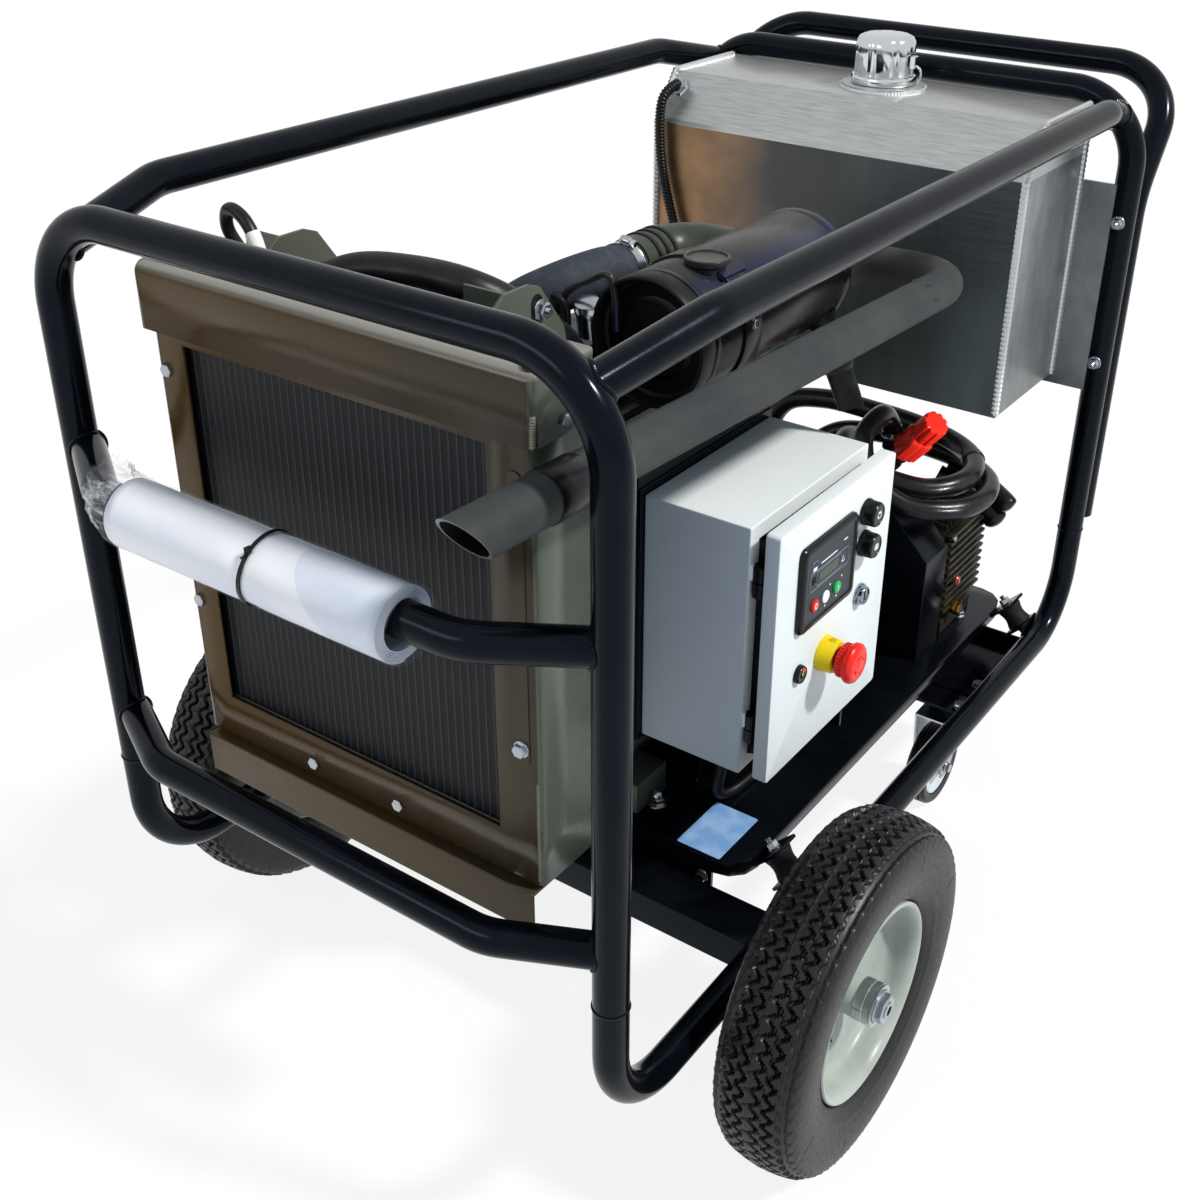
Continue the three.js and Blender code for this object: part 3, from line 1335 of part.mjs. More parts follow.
function controller() {
  const y1 = MODULE_Y0 + MODULE_WIDTH;
  const z1 = MODULE_Z0 + MODULE_HEIGHT;
  const face = DOOR_FACE + GAP;
  const bezel = plateYZ(roundedRect(MODULE_Y0, y1, MODULE_Z0, z1, 4, 2), face, face + MODULE_PROUD);
  const screen = box(
    face + MODULE_PROUD - 2,
    face + MODULE_PROUD + 1,
    MODULE_Y0 + 15,
    y1 - 15,
    MODULE_Z0 + 46,
    z1 - 14,
  );
  const wells = [STOP_Y, START_Y].map((y) => along(
    y,
    BUTTON_Z,
    BUTTON_RADIUS + GAP,
    face + 1.5,
    face + MODULE_PROUD + 1,
    16,
  ));
  return cut(bezel, screen, ...wells);
}

function moduleButton(y) {
  const face = DOOR_FACE + GAP;
  return along(
    y,
    BUTTON_Z,
    BUTTON_RADIUS,
    face + 1.5 + 1.6,
    face + MODULE_PROUD + 2.5,
    16,
  );
}

function estopHead() {
  const back = DOOR_FACE + COLLAR_HEIGHT + ESTOP_TRAVEL + GAP;
  return turned(
    [[0, DOOR_FACE - 6], [STEM_RADIUS, DOOR_FACE - 6], [STEM_RADIUS, back], [ESTOP_RADIUS - 5, back],
      [ESTOP_RADIUS, back + 5], [ESTOP_RADIUS, back + 15], [ESTOP_RADIUS - 5, back + 22], [0, back + 23]],
    'x',
    v3(0, ESTOP_Y, ESTOP_Z),
    16,
  );
}

/** A screw cap with finger flutes, on a socket of the door. */
function socketCap(z) {
  const flutes = 8;
  const inner = SOCKET_RADIUS - 5 + GAP;
  const points = [];
  for (let k = 0; k < flutes * 3; k += 1) {
    const a = (k / (flutes * 3)) * Math.PI * 2;
    const r = k % 3 === 0 ? SOCKET_RADIUS - 2 : SOCKET_RADIUS;
    points.push([SOCKETS.y + r * Math.cos(a), z + r * Math.sin(a)]);
  }
  const body = plateYZ(points, DOOR_FACE + GAP, DOOR_FACE + SOCKET_CAP_LENGTH);
  return cut(body, along(SOCKETS.y, z, inner, DOOR_FACE - 1, DOOR_FACE + SOCKET_LENGTH + GAP, 14));
}

function keySwitch() {
  const base = DOOR_FACE + GAP;
  return turned(
    [[0, base], [KEY.radius, base], [KEY.radius, base + 4], [KEY.radius - 3, base + 6],
      [KEY.radius - 3, base + 9], [0, base + 9]],
    'x',
    v3(0, KEY.y, KEY.z),
    14,
  );
}

/** The cable conduit from the box's floor down to the tray and back under the engine. */
function boxConduit() {
  const x = BOX_FACE - 60;
  const y = BOX_FRONT + 74;
  const r = CONDUIT_RADIUS;
  return corrugated(
    [v3(x, y, BOX_BOTTOM - GAP), v3(x, y, BOX_BOTTOM - 16), v3(x - 2, y - 4, BOX_BOTTOM - 60),
      v3(x - 8, y, BOX_BOTTOM - 100), v3(x - 10, y + 36, TRAY_TOP + r + 4),
      v3(x - 8, y + 90, TRAY_TOP + r + 1), v3(x - 10, y + 170, TRAY_TOP + r + 1)],
    r,
    CONDUIT_RIB,
    CONDUIT_PITCH,
  );
}

function buildControlBox() {
  add('control_box', controlBox(), BOX_PAINT);
  add('control_box_door', controlDoor(), BOX_PAINT);
  add('controller', controller(), BLACK_PLASTIC);
  add('start_button', moduleButton(START_Y), GREEN_PLASTIC);
  add('stop_button', moduleButton(STOP_Y), RED_PLASTIC);
  add('emergency_stop', estopHead(), RED_PLASTIC);
  add('socket_cap_upper', socketCap(SOCKETS.upperZ), BLACK_PLASTIC);
  add('socket_cap_lower', socketCap(SOCKETS.lowerZ), BLACK_PLASTIC);
  add('key_switch', keySwitch(), CHROME);
  add('box_conduit', boxConduit(), BLACK_PLASTIC);
}

// ---------------------------------------------------------------- belt drive and pump
const DRIVE_SHAFT_RADIUS = 20;
const PUMP_SHAFT_RADIUS = 15;

/** The loop round both pulleys' seats, grown by a clearance; its chords stay outside. */
function beltOutline(extra) {
  const drive = { x: ENGINE_X, z: CRANK_Z, r: DRIVE_PULLEY_RADIUS + extra, steps: 10 };
  const driven = { x: PUMP_X, z: PUMP_Z, r: PUMP_PULLEY_RADIUS + extra, steps: 7 };
  const lean = Math.atan2(driven.z - drive.z, driven.x - drive.x);
  const spread = Math.acos((drive.r - driven.r) / Math.hypot(driven.x - drive.x, driven.z - drive.z));
  const arc = (wheel, from, to) => {
    const step = (to - from) / wheel.steps;
    const r = wheel.r / Math.cos(step / 2);
    return Array.from({ length: wheel.steps + 1 }, (_, k) => {
      const t = from + step * k;
      return [wheel.x + r * Math.cos(t), wheel.z + r * Math.sin(t)];
    });
  };
  return [
    ...arc(drive, lean + spread, lean + Math.PI * 2 - spread),
    ...arc(driven, lean - spread, lean + spread),
  ];
}

/** A grooved pulley with the face of the belt's seat at its radius. */
function pulley(x, z, radius, shaft) {
  const half = PULLEY_WIDTH / 2;
  const seat = radius - GAP;
  const profile = [[shaft, -half], [seat + 6, -half], [seat, -half + 4], [seat, half - 4], [seat + 6, half],
    [shaft, half]];
  return turned([...profile, profile[0]], 'y', v3(x, PULLEY_Y, z), 16);
}

function drivePulley() {
  const half = PULLEY_WIDTH / 2;
  const axis = v3(ENGINE_X, 0, CRANK_Z);
  const shaft = bar(DRIVE_SHAFT_RADIUS + 1, GUARD_FRONT + GAP, PULLEY_Y + half, 'y', axis, 14);
  return join(pulley(ENGINE_X, CRANK_Z, DRIVE_PULLEY_RADIUS, DRIVE_SHAFT_RADIUS), shaft);
}

function pumpPulley() {
  const half = PULLEY_WIDTH / 2;
  const axis = v3(PUMP_X, 0, PUMP_Z);
  const shaft = bar(PUMP_SHAFT_RADIUS + 1, PULLEY_Y - half, PUMP_FRONT - GAP, 'y', axis, 14);
  return join(pulley(PUMP_X, PUMP_Z, PUMP_PULLEY_RADIUS, PUMP_SHAFT_RADIUS), shaft);
}

function driveBelt() {
  const half = PULLEY_WIDTH / 2 - 4 - GAP;
  const loop = plateXZ(beltOutline(BELT_THICKNESS), PULLEY_Y - half, PULLEY_Y + half);
  return cut(loop, plateXZ(beltOutline(0), PULLEY_Y - half - 1, PULLEY_Y + half + 1));
}

function guardOutline(inset, foot) {
  const left = ENGINE_X - DRIVE_PULLEY_RADIUS - 32 + inset;
  const right = GUARD_RIGHT - inset;
  const top = CRANK_Z + DRIVE_PULLEY_RADIUS + 26 - inset;
  return [
    [left, foot],
    [right, foot],
    [right, PUMP_Z + 67 - inset * 0.7],
    [PUMP_X, PUMP_Z + 139 - inset],
    [ENGINE_X + 34, top],
    [ENGINE_X - 34, top],
    [left, CRANK_Z + 26],
  ];
}

/** The guard: two sheet faces and a rim, open at the bottom onto the tray. */
function beltGuard() {
  const s = GUARD_SHEET;
  const foot = TRAY_TOP + GAP;
  const shell = plateXZ(guardOutline(0, foot), GUARD_FRONT, GUARD_REAR);
  const inner = plateXZ(guardOutline(s, foot - 2), GUARD_FRONT + s, GUARD_REAR - s);
  const drive = v3(ENGINE_X, 0, CRANK_Z);
  const driven = v3(PUMP_X, 0, PUMP_Z);
  const shaftHole = bar(DRIVE_SHAFT_RADIUS + 2, GUARD_FRONT - 1, GUARD_FRONT + s + 1, 'y', drive);
  const pumpHole = bar(PUMP_SHAFT_RADIUS + 2, GUARD_REAR - s - 1, GUARD_REAR + 1, 'y', driven);
  return cut(shell, inner, shaftHole, pumpHole);
}

const UNLOADER_TOP = PUMP_Z + 118;
const KNOB_SKIRT = 11;
const VALVE_LENGTH = 118;
const BYPASS_Y = PUMP_FRONT + 52;
const BYPASS_Z = PUMP_Z + 165;
const INLET = { y: PUMP_FRONT + 57, z: PUMP_Z };

function knobAxis() {
  return v3(...KNOB.tilt).normalize();
}

function pump() {
  const left = PUMP_X - PUMP_WIDTH / 2;
  const right = PUMP_X + PUMP_WIDTH / 2;
  const foot = TRAY_TOP + GAP;
  const body = plateXZ(roundedRect(left, right, foot + 12, PUMP_TOP, 22), PUMP_FRONT, PUMP_REAR);
  const base = box(left, right, PUMP_FRONT + 8, PUMP_REAR - 8, foot, foot + 20);
  const fins = Array.from({ length: FIN_COUNT }, (_, k) => {
    const y = PUMP_FRONT + 12 + (k * (PUMP_REAR - PUMP_FRONT - 24)) / (FIN_COUNT - 1);
    return box(left + 20, right + FIN_HEIGHT, y - 1.5, y + 1.5, foot + 40, PUMP_TOP + FIN_HEIGHT);
  });
  const head = box(HEAD_LEFT, left + 2, PUMP_FRONT + 6, PUMP_REAR - 6, PUMP_Z - 45, PUMP_Z + 45);
  const valves = [0, 1, 2].map((k) => bar(
    14,
    PUMP_Z + 40,
    PUMP_Z + 58,
    'z',
    v3(HEAD_LEFT + 34, PUMP_FRONT + 24 + k * 34, 0),
    6,
  ));
  const unloader = box(
    HEAD_LEFT + 12,
    HEAD_LEFT + 52,
    PUMP_REAR - 72,
    PUMP_REAR - 38,
    PUMP_Z + 40,
    UNLOADER_TOP,
  );
  const tilt = knobAxis();
  const top = v3(KNOB.x, KNOB_Y, KNOB.z).addScaledVector(tilt, -KNOB_SKIRT - GAP);
  const valve = new THREE.CylinderGeometry(VALVE_RADIUS, VALVE_RADIUS, VALVE_LENGTH, 12);
  valve.translate(0, -VALVE_LENGTH / 2, 0);
  valve.applyQuaternion(new THREE.Quaternion().setFromUnitVectors(v3(0, 1, 0), tilt));
  valve.translate(top.x, top.y, top.z);
  const nipple = bar(9, BYPASS_Z - 45, BYPASS_Z, 'z', v3(BYPASS_X, BYPASS_Y, 0), 12);
  const inlet = bar(11, HEAD_LEFT - 14, HEAD_LEFT + 2, 'x', v3(0, INLET.y, INLET.z), 12);
  return join(body, base, ...fins, head, ...valves, unloader, valve, nipple, inlet);
}

/** The red handwheel that sets the unloader's pressure. */
function unloaderKnob() {
  const lobes = 10;
  const points = [];
  for (let k = 0; k < lobes * 3; k += 1) {
    const a = (k / (lobes * 3)) * Math.PI * 2;
    const r = k % 3 === 0 ? 16.5 : 19;
    points.push([r * Math.cos(a), r * Math.sin(a)]);
  }
  const grip = plate(points, 34);
  const skirt = new THREE.CylinderGeometry(20, 20, KNOB_SKIRT + 1, 12);
  skirt.rotateX(Math.PI / 2).translate(0, 0, (1 - KNOB_SKIRT) / 2);
  const g = join(grip, skirt);
  g.applyQuaternion(new THREE.Quaternion().setFromUnitVectors(v3(0, 0, 1), knobAxis()));
  return g.translate(KNOB.x, KNOB_Y, KNOB.z);
}

/** A point of a hose's route, seen from the middle of the pump's front face. */
const pumpPoint = (right, back, up) => v3(PUMP_X + right, PUMP_FRONT + back, PUMP_Z + up);

/** The pressure hose: from the tray's outlet over the pump, round the guard's corner and back. */
function pressureHose() {
  const x = HEAD_LEFT + 32;
  const y = PUMP_REAR - 55;
  return hose(
    [v3(OUTLET.x, OUTLET_Y, OUTLET.top + GAP), v3(OUTLET.x, OUTLET_Y, OUTLET.top + 30),
      v3(OUTLET.x + 2, OUTLET_Y + 6, OUTLET.top + 130), v3(OUTLET.x + 28, OUTLET_Y + 14, OUTLET.top + 186),
      pumpPoint(-210, 145, 159), pumpPoint(-130, 147, 159), pumpPoint(-60, 143, 157),
      pumpPoint(2, 129, 153), pumpPoint(46, 97, 151), pumpPoint(66, 50, 151), pumpPoint(62, 5, 151),
      pumpPoint(36, -31, 151), pumpPoint(-4, -51, 159), pumpPoint(-46, -55, 167),
      pumpPoint(-84, -35, 175), v3(x, y - 51, UNLOADER_TOP + 57), v3(x, y - 6, UNLOADER_TOP + 37),
      v3(x, y, UNLOADER_TOP + 18), v3(x, y, UNLOADER_TOP + GAP)],
    HOSE_OD / 2,
    36,
    8,
  );
}

/** The bypass hose: from the pump's inlet round behind, beside the pressure hose, to the valve. */
function bypassHose() {
  return hose(
    [v3(HEAD_LEFT - 14 - GAP, INLET.y, INLET.z), v3(HEAD_LEFT - 34, INLET.y, INLET.z),
      v3(HEAD_LEFT - 86, INLET.y + 14, INLET.z + 17), v3(HEAD_LEFT - 98, INLET.y + 58, INLET.z + 65),
      pumpPoint(-190, 145, 111), pumpPoint(-120, 151, 125), pumpPoint(-50, 149, 125),
      pumpPoint(20, 131, 123), pumpPoint(74, 93, 123), pumpPoint(97, 41, 125),
      pumpPoint(93, -13, 127), pumpPoint(66, -53, 133), pumpPoint(26, -79, 145),
      pumpPoint(-20, -83, 171), v3(BYPASS_X + 4, BYPASS_Y - 97, BYPASS_Z + 40),
      v3(BYPASS_X, BYPASS_Y - 35, BYPASS_Z + 52), v3(BYPASS_X, BYPASS_Y, BYPASS_Z + 20),
      v3(BYPASS_X, BYPASS_Y, BYPASS_Z + GAP)],
    BYPASS_OD / 2,
    34,
    8,
  );
}

function buildPump() {
  add('belt_guard', beltGuard(), SATIN_BLACK);
  add('drive_pulley', drivePulley(), ZINC);
  add('pump_pulley', pumpPulley(), ZINC);
  add('drive_belt', driveBelt(), RUBBER);
  add('pump', pump(), ALUMINIUM);
  add('unloader_knob', unloaderKnob(), RED_PLASTIC);
  add('pressure_hose', pressureHose(), HOSE_RUBBER);
  add('bypass_hose', bypassHose(), HOSE_RUBBER);
}

buildFrame();
buildRoll();
buildChassis();
buildWheels();
buildEngine();
buildRadiator();
buildAirAndExhaust();
buildTank();
buildControlBox();
buildPump();

const bounds = new THREE.Box3().setFromObject(group);
const middle = bounds.getCenter(v3(0, 0, 0));
group.position.set(-middle.x, -middle.y, -bounds.min.z);

export default group;
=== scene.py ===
import json
import math
import bpy
import bmesh
import numpy as np
from mathutils import Matrix, Vector

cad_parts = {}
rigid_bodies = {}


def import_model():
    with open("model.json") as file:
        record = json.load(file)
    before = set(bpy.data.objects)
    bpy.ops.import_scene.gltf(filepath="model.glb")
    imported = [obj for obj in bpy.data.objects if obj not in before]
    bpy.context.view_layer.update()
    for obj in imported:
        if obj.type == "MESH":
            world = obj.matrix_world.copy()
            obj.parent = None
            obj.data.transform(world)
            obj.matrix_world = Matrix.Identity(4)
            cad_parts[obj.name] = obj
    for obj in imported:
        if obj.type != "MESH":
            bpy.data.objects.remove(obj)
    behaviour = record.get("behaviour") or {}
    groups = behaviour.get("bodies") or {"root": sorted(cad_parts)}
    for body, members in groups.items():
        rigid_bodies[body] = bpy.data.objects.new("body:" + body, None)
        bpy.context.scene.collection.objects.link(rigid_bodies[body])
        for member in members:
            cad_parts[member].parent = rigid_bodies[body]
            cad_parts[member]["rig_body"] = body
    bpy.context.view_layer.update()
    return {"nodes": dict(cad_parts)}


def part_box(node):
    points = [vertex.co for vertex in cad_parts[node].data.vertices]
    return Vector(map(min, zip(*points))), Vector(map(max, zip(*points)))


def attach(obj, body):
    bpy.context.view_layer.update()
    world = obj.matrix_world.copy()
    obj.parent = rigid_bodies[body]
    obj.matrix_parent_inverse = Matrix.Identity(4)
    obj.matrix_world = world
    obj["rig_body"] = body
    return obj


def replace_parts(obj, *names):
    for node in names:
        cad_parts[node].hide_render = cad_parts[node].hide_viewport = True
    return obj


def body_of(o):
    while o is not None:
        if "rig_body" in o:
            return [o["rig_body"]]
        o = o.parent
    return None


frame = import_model()

# ---------------------------------------------------------------- the camera
# The photograph was taken standing, from the front right corner and a little above the frame.
# Lens and shift give its 1200 x 1200 picture; places are counted from the front hoop's plane.
IMAGE = 1200
FOCAL_PIXELS = 1489.85
CENTRE_PIXEL = (648.0, 546.8)
AZIMUTH, ELEVATION, ROLL = 34.124, 28.522, 0.964
CAMERA_PLACE = (877.9, -780.2, 1356.1)
SENSOR = 36.0

hoop_low, hoop_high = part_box("front_hoop")
HOOP_Y = (hoop_low.y + hoop_high.y) / 2


def at(x, y, z):
    """A place in metres, from millimetres right of the middle, behind the front hoop and above the floor."""
    return np.array([x / 1000, HOOP_Y + y / 1000, z / 1000])


def put(name, data):
    """A new object in the scene, with this mesh, lamp or camera."""
    made = bpy.data.objects.new(name, data)
    bpy.context.scene.collection.objects.link(made)
    return made


def build_camera():
    turn, rise, roll = (math.radians(a) for a in (AZIMUTH, ELEVATION, ROLL))
    back = np.array([math.sin(turn) * math.cos(rise), -math.cos(turn) * math.cos(rise), math.sin(rise)])
    level = np.array([math.cos(turn), math.sin(turn), 0.0])
    upright = np.cross(back, level)
    across = math.cos(roll) * level + math.sin(roll) * upright
    up = math.cos(roll) * upright - math.sin(roll) * level
    data = bpy.data.cameras.new("photo_camera")
    data.sensor_width = SENSOR
    data.lens = FOCAL_PIXELS / IMAGE * SENSOR
    data.shift_x = (IMAGE / 2 - CENTRE_PIXEL[0]) / IMAGE
    data.shift_y = (CENTRE_PIXEL[1] - IMAGE / 2) / IMAGE
    camera = put("photo_camera", data)
    place = Matrix(np.column_stack([across, up, back]).tolist()).to_4x4()
    place.translation = at(*CAMERA_PLACE)
    camera.matrix_world = place
    bpy.context.scene.camera = camera


build_camera()


# ---------------------------------------------------------------- shaders
# Finishes are Principled shaders; arithmetic on a Value adds Math nodes,
# and every other node comes from Finish.node with its settings first.
class Value:
    """A socket that can be added, scaled and compared like a number."""

    def __init__(self, finish, socket):
        self.finish, self.socket = finish, socket

    def math(self, operation, *others):
        node = self.finish.tree.nodes.new("ShaderNodeMath")
        node.operation = operation
        for slot, item in zip(node.inputs, (self, *others)):
            self.finish.feed(slot, item)
        return Value(self.finish, node.outputs[0])

    def __add__(self, other):
        return self.math("ADD", other)

    def __sub__(self, other):
        return self.math("SUBTRACT", other)

    def __mul__(self, other):
        return self.math("MULTIPLY", other)

    def __rsub__(self, other):
        return self.math("MULTIPLY", -1.0).math("ADD", other)

    __radd__ = __add__
    __rmul__ = __mul__

    def over(self, limit):
        return self.math("GREATER_THAN", limit)

    def under(self, limit):
        return self.math("LESS_THAN", limit)

    def wave(self, count):
        """A sine of this value, 0 to 1, with so many turns per unit."""
        return (self * (math.tau * count)).math("SINE") * 0.5 + 0.5

    def ramp(self, low, high):
        """0 below the low value, 1 above the high one."""
        node = self.finish.node("ShaderNodeMapRange", {"clamp": True}, Value=self)
        node.inputs["From Min"].default_value = low
        node.inputs["From Max"].default_value = high
        return Value(self.finish, node.outputs[0])


def linear(colour):
    """The linear values of a colour written as a hex string."""
    parts = [int(colour[k:k + 2], 16) / 255 for k in (1, 3, 5)]
    return [p / 12.92 if p <= 0.04045 else ((p + 0.055) / 1.055) ** 2.4 for p in parts] + [1.0]


# a low mirror level, since every mirror ray finds the white surroundings
SHEEN = 0.22


class Finish:
    """One named material with a Principled shader, for one of the record's slots."""

    def __init__(self, name, slot, colour="#808080", roughness=0.5, metallic=0.0, **fixed):
        self.slot = slot
        self.material = bpy.data.materials.new(name)
        self.material.use_nodes = True
        self.tree = self.material.node_tree
        self.shader = self.tree.nodes["Principled BSDF"]
        self.shader.inputs["Base Color"].default_value = linear(colour)
        self.shader.inputs["Roughness"].default_value = roughness
        self.shader.inputs["Metallic"].default_value = metallic
        self.shader.inputs["Specular IOR Level"].default_value = SHEEN
        for key, number in fixed.items():
            self.shader.inputs[key.replace("_", " ")].default_value = number

    def feed(self, slot, item):
        if isinstance(item, Value):
            self.tree.links.new(item.socket, slot)
        elif isinstance(item, str):
            slot.default_value = linear(item)
        elif item is not None:
            slot.default_value = item

    def node(self, kind, settings=None, **inputs):
        node = self.tree.nodes.new(kind)
        for key, setting in (settings or {}).items():
            setattr(node, key, setting)
        for key, item in inputs.items():
            self.feed(node.inputs[key.replace("_", " ")], item)
        return node

    def place(self, axis=None):
        """The point on the piece, or one of its coordinates by number."""
        point = Value(self, self.node("ShaderNodeTexCoord").outputs["Object"])
        if axis is None:
            return point
        parts = self.node("ShaderNodeSeparateXYZ", Vector=point)
        return Value(self, parts.outputs[axis])

    def stretched(self, scale):
        """The point scaled by a different factor along each axis."""
        node = self.node("ShaderNodeMapping", Vector=self.place(), Scale=scale)
        return Value(self, node.outputs[0])

    def noise(self, scale, detail=2.0, roughness=0.5, vector=None):
        node = self.node("ShaderNodeTexNoise", Vector=vector or self.place(), Scale=scale, Detail=detail,
                         Roughness=roughness)
        return Value(self, node.outputs[0])

    def mix(self, mask, low, high):
        """A colour between two, by the mask."""
        node = self.node("ShaderNodeMix", {"data_type": "RGBA"})
        self.feed(node.inputs[0], mask)
        self.feed(node.inputs[6], low)
        self.feed(node.inputs[7], high)
        return Value(self, node.outputs[2])

    def colour(self, item):
        self.feed(self.shader.inputs["Base Color"], item)
        return self

    def rough(self, item):
        self.feed(self.shader.inputs["Roughness"], item)
        return self

    def bump(self, height, distance, strength=1.0):
        node = self.node("ShaderNodeBump", Height=height, Distance=distance, Strength=strength)
        self.feed(self.shader.inputs["Normal"], Value(self, node.outputs[0]))
        return self

    def grain(self, scale, detail, distance, strength):
        """A bump from one noise."""
        return self.bump(self.noise(scale, detail), distance, strength)

    def clouded(self, noise, span, low, high):
        """Two colours in patches, mixed by a noise over this span."""
        return self.colour(self.mix(self.noise(*noise).ramp(*span), low, high))

    def worn(self, scale, detail, swing, least):
        """A roughness that wanders above its least value."""
        return self.rough(self.noise(scale, detail) * swing + least)


# ---------------------------------------------------------------- the studio
# A pale floor and sky that the camera and mirrors see as white. One soft sun stands at the
# rear right, a wide panel lights the front, and a narrow spot falls on the pump and its knob.
WHITE_SEEN = 1.0
SKY_LIGHT, SKY_COLOUR = 0.5, (0.74, 0.87, 1.0, 1.0)
FLOOR_HALF, FLOOR_COLOUR, FLOOR_SHOWN = 9, (0.8, 0.8, 0.8, 1.0), 0.86


def seen_as_white(tree, lit, white, output, share=1.0):
    """Shows this share of plain white to camera, mirror and glass rays; others find it lit."""
    rays = tree.nodes.new("ShaderNodeLightPath")
    seen = rays.outputs["Is Camera Ray"]
    for operation, other in (("MAXIMUM", rays.outputs["Is Glossy Ray"]),
                             ("MAXIMUM", rays.outputs["Is Transmission Ray"]), ("MULTIPLY", None)):
        step = tree.nodes.new("ShaderNodeMath")
        step.operation = operation
        tree.links.new(seen, step.inputs[0])
        if other:
            tree.links.new(other, step.inputs[1])
        seen = step.outputs[0]
    step.inputs[1].default_value = share
    mix = tree.nodes.new("ShaderNodeMixShader")
    for socket, slot in zip((seen, lit.outputs[0], white.outputs[0]), mix.inputs):
        tree.links.new(socket, slot)
    tree.links.new(mix.outputs[0], output.inputs["Surface"])


def lamp(name, kind, energy, shines_from, place=(0, 0, 0), **settings):
    """One lamp at a place in metres, turned to shine from a direction."""
    light = bpy.data.lights.new(name, kind)
    light.energy = energy
    for key, setting in settings.items():
        setattr(light, key, setting)
    made = put(name, light)
    made.location = place
    made.rotation_euler = Vector(shines_from).to_track_quat("Z", "Y").to_euler()


def build_studio():
    scene = bpy.context.scene
    scene.view_settings.view_transform = "Standard"
    world = bpy.data.worlds.new("pale_sky")
    world.use_nodes = True
    scene.world = world
    nodes = world.node_tree.nodes
    lit = nodes["Background"]
    lit.inputs["Color"].default_value = SKY_COLOUR
    lit.inputs["Strength"].default_value = SKY_LIGHT
    white = nodes.new("ShaderNodeBackground")
    white.inputs["Strength"].default_value = WHITE_SEEN
    seen_as_white(world.node_tree, lit, white, nodes["World Output"])

    floor = bpy.data.meshes.new("floor")
    corners = [(x * FLOOR_HALF, y * FLOOR_HALF, 0) for x, y in ((-1, -1), (1, -1), (1, 1), (-1, 1))]
    floor.from_pydata(corners, [], [(0, 1, 2, 3)])
    ground = put("floor", floor)
    pale = bpy.data.materials.new("pale_floor")
    pale.use_nodes = True
    nodes = pale.node_tree.nodes
    body = nodes["Principled BSDF"]
    body.inputs["Base Color"].default_value = FLOOR_COLOUR
    body.inputs["Roughness"].default_value = 0.9
    glow = nodes.new("ShaderNodeEmission")
    glow.inputs["Strength"].default_value = WHITE_SEEN
    seen_as_white(pale.node_tree, body, glow, nodes["Material Output"], FLOOR_SHOWN)
    floor.materials.append(pale)

    lamp("sun", "SUN", 4.0, (1.0, 0.28, 1.15), angle=math.radians(6), color=(1.0, 0.96, 0.9))
    lamp("front_panel", "AREA", 10, (-0.25, -0.85, 0.55), (-0.6, -2.4, 1.9), shape="RECTANGLE",
         size=1.6, size_y=0.5)
    lamp("pump_sun_patch", "SPOT", 70, (1.2, -0.276, 0.25), (1.35, 0.1, 0.78), spot_size=0.24,
         spot_blend=0.7, shadow_soft_size=0.02)


build_studio()


# ---------------------------------------------------------------- tubular frame
# Steel pipe 33.7 mm across, bent cold, notched and welded, then coated in gloss black.
# Each bar is a round section swept along its bent centre line.
PIPE_RADIUS = 16.85
SIDE_X = 318
FRAME_LENGTH = 1119
FRAME_TOP = 976
FRAME_BOTTOM = 224.6
BEND_RADIUS = 90
HANDLE_Y = 1151.7
RIGHT, REARWARD, UP = (1, 0, 0), (0, 1, 0), (0, 0, 1)
LEFT, FORWARD, DOWN = (-1, 0, 0), (0, -1, 0), (0, 0, -1)
SIDES = ((1, "right"), (-1, "left"))


def unit(vector):
    return np.array(vector, float) / np.linalg.norm(vector)


def bent(points, radii, fine=3.0):
    """Millimetre corner points joined by straight runs, each inner corner rounded by its own
    radius: the arc's tangent length is r tan(turn / 2), and its stations stand a few degrees apart."""
    points = [np.array(p, float) for p in points]
    path = [points[0][None]]
    for before, corner, after, radius in zip(points, points[1:], points[2:], radii):
        inward, outward = unit(before - corner), unit(after - corner)
        half = math.acos(float(np.clip(inward @ outward, -1, 1))) / 2
        reach = radius / math.tan(half)
        centre = corner + unit(inward + outward) * radius / math.sin(half)
        start, end = corner + inward * reach, corner + outward * reach
        turn = math.pi - 2 * half
        share = np.linspace(0, 1, max(int(math.degrees(turn) / fine), 4) + 1)[:, None]
        first, last = start - centre, end - centre
        path.append(centre + (np.sin((1 - share) * turn) * first + np.sin(share * turn) * last)
                    / math.sin(turn))
    path.append(points[-1][None])
    return np.concatenate(path)


def smooth_path(points, count):
    """A Catmull-Rom curve through given points, sampled at even steps of its parameter."""
    points = np.array(points, float)
    padded = np.concatenate([[2 * points[0] - points[1]], points, [2 * points[-1] - points[-2]]])
    t = np.linspace(0, len(points) - 1, count)
    k = np.minimum(t.astype(int), len(points) - 2)
    u = (t - k)[:, None]
    a, b, c, d = (padded[k + i] for i in range(4))
    return 0.5 * (2 * b + (c - a) * u + (2 * a - 5 * b + 4 * c - d) * u**2 + (3 * b - a - 3 * c + d) * u**3)


def frames_along(path):
    """Two cross directions for every station: the first is carried along the path by
    projecting it square to each new tangent."""
    steps = np.gradient(path, axis=0)
    tangents = steps / np.linalg.norm(steps, axis=1, keepdims=True)
    normals = np.empty_like(path)
    carried = np.eye(3)[np.argmin(np.abs(tangents[0]))]
    for k, tangent in enumerate(tangents):
        carried = unit(carried - tangent * (carried @ tangent))
        normals[k] = carried
    return normals, np.cross(tangents, normals)


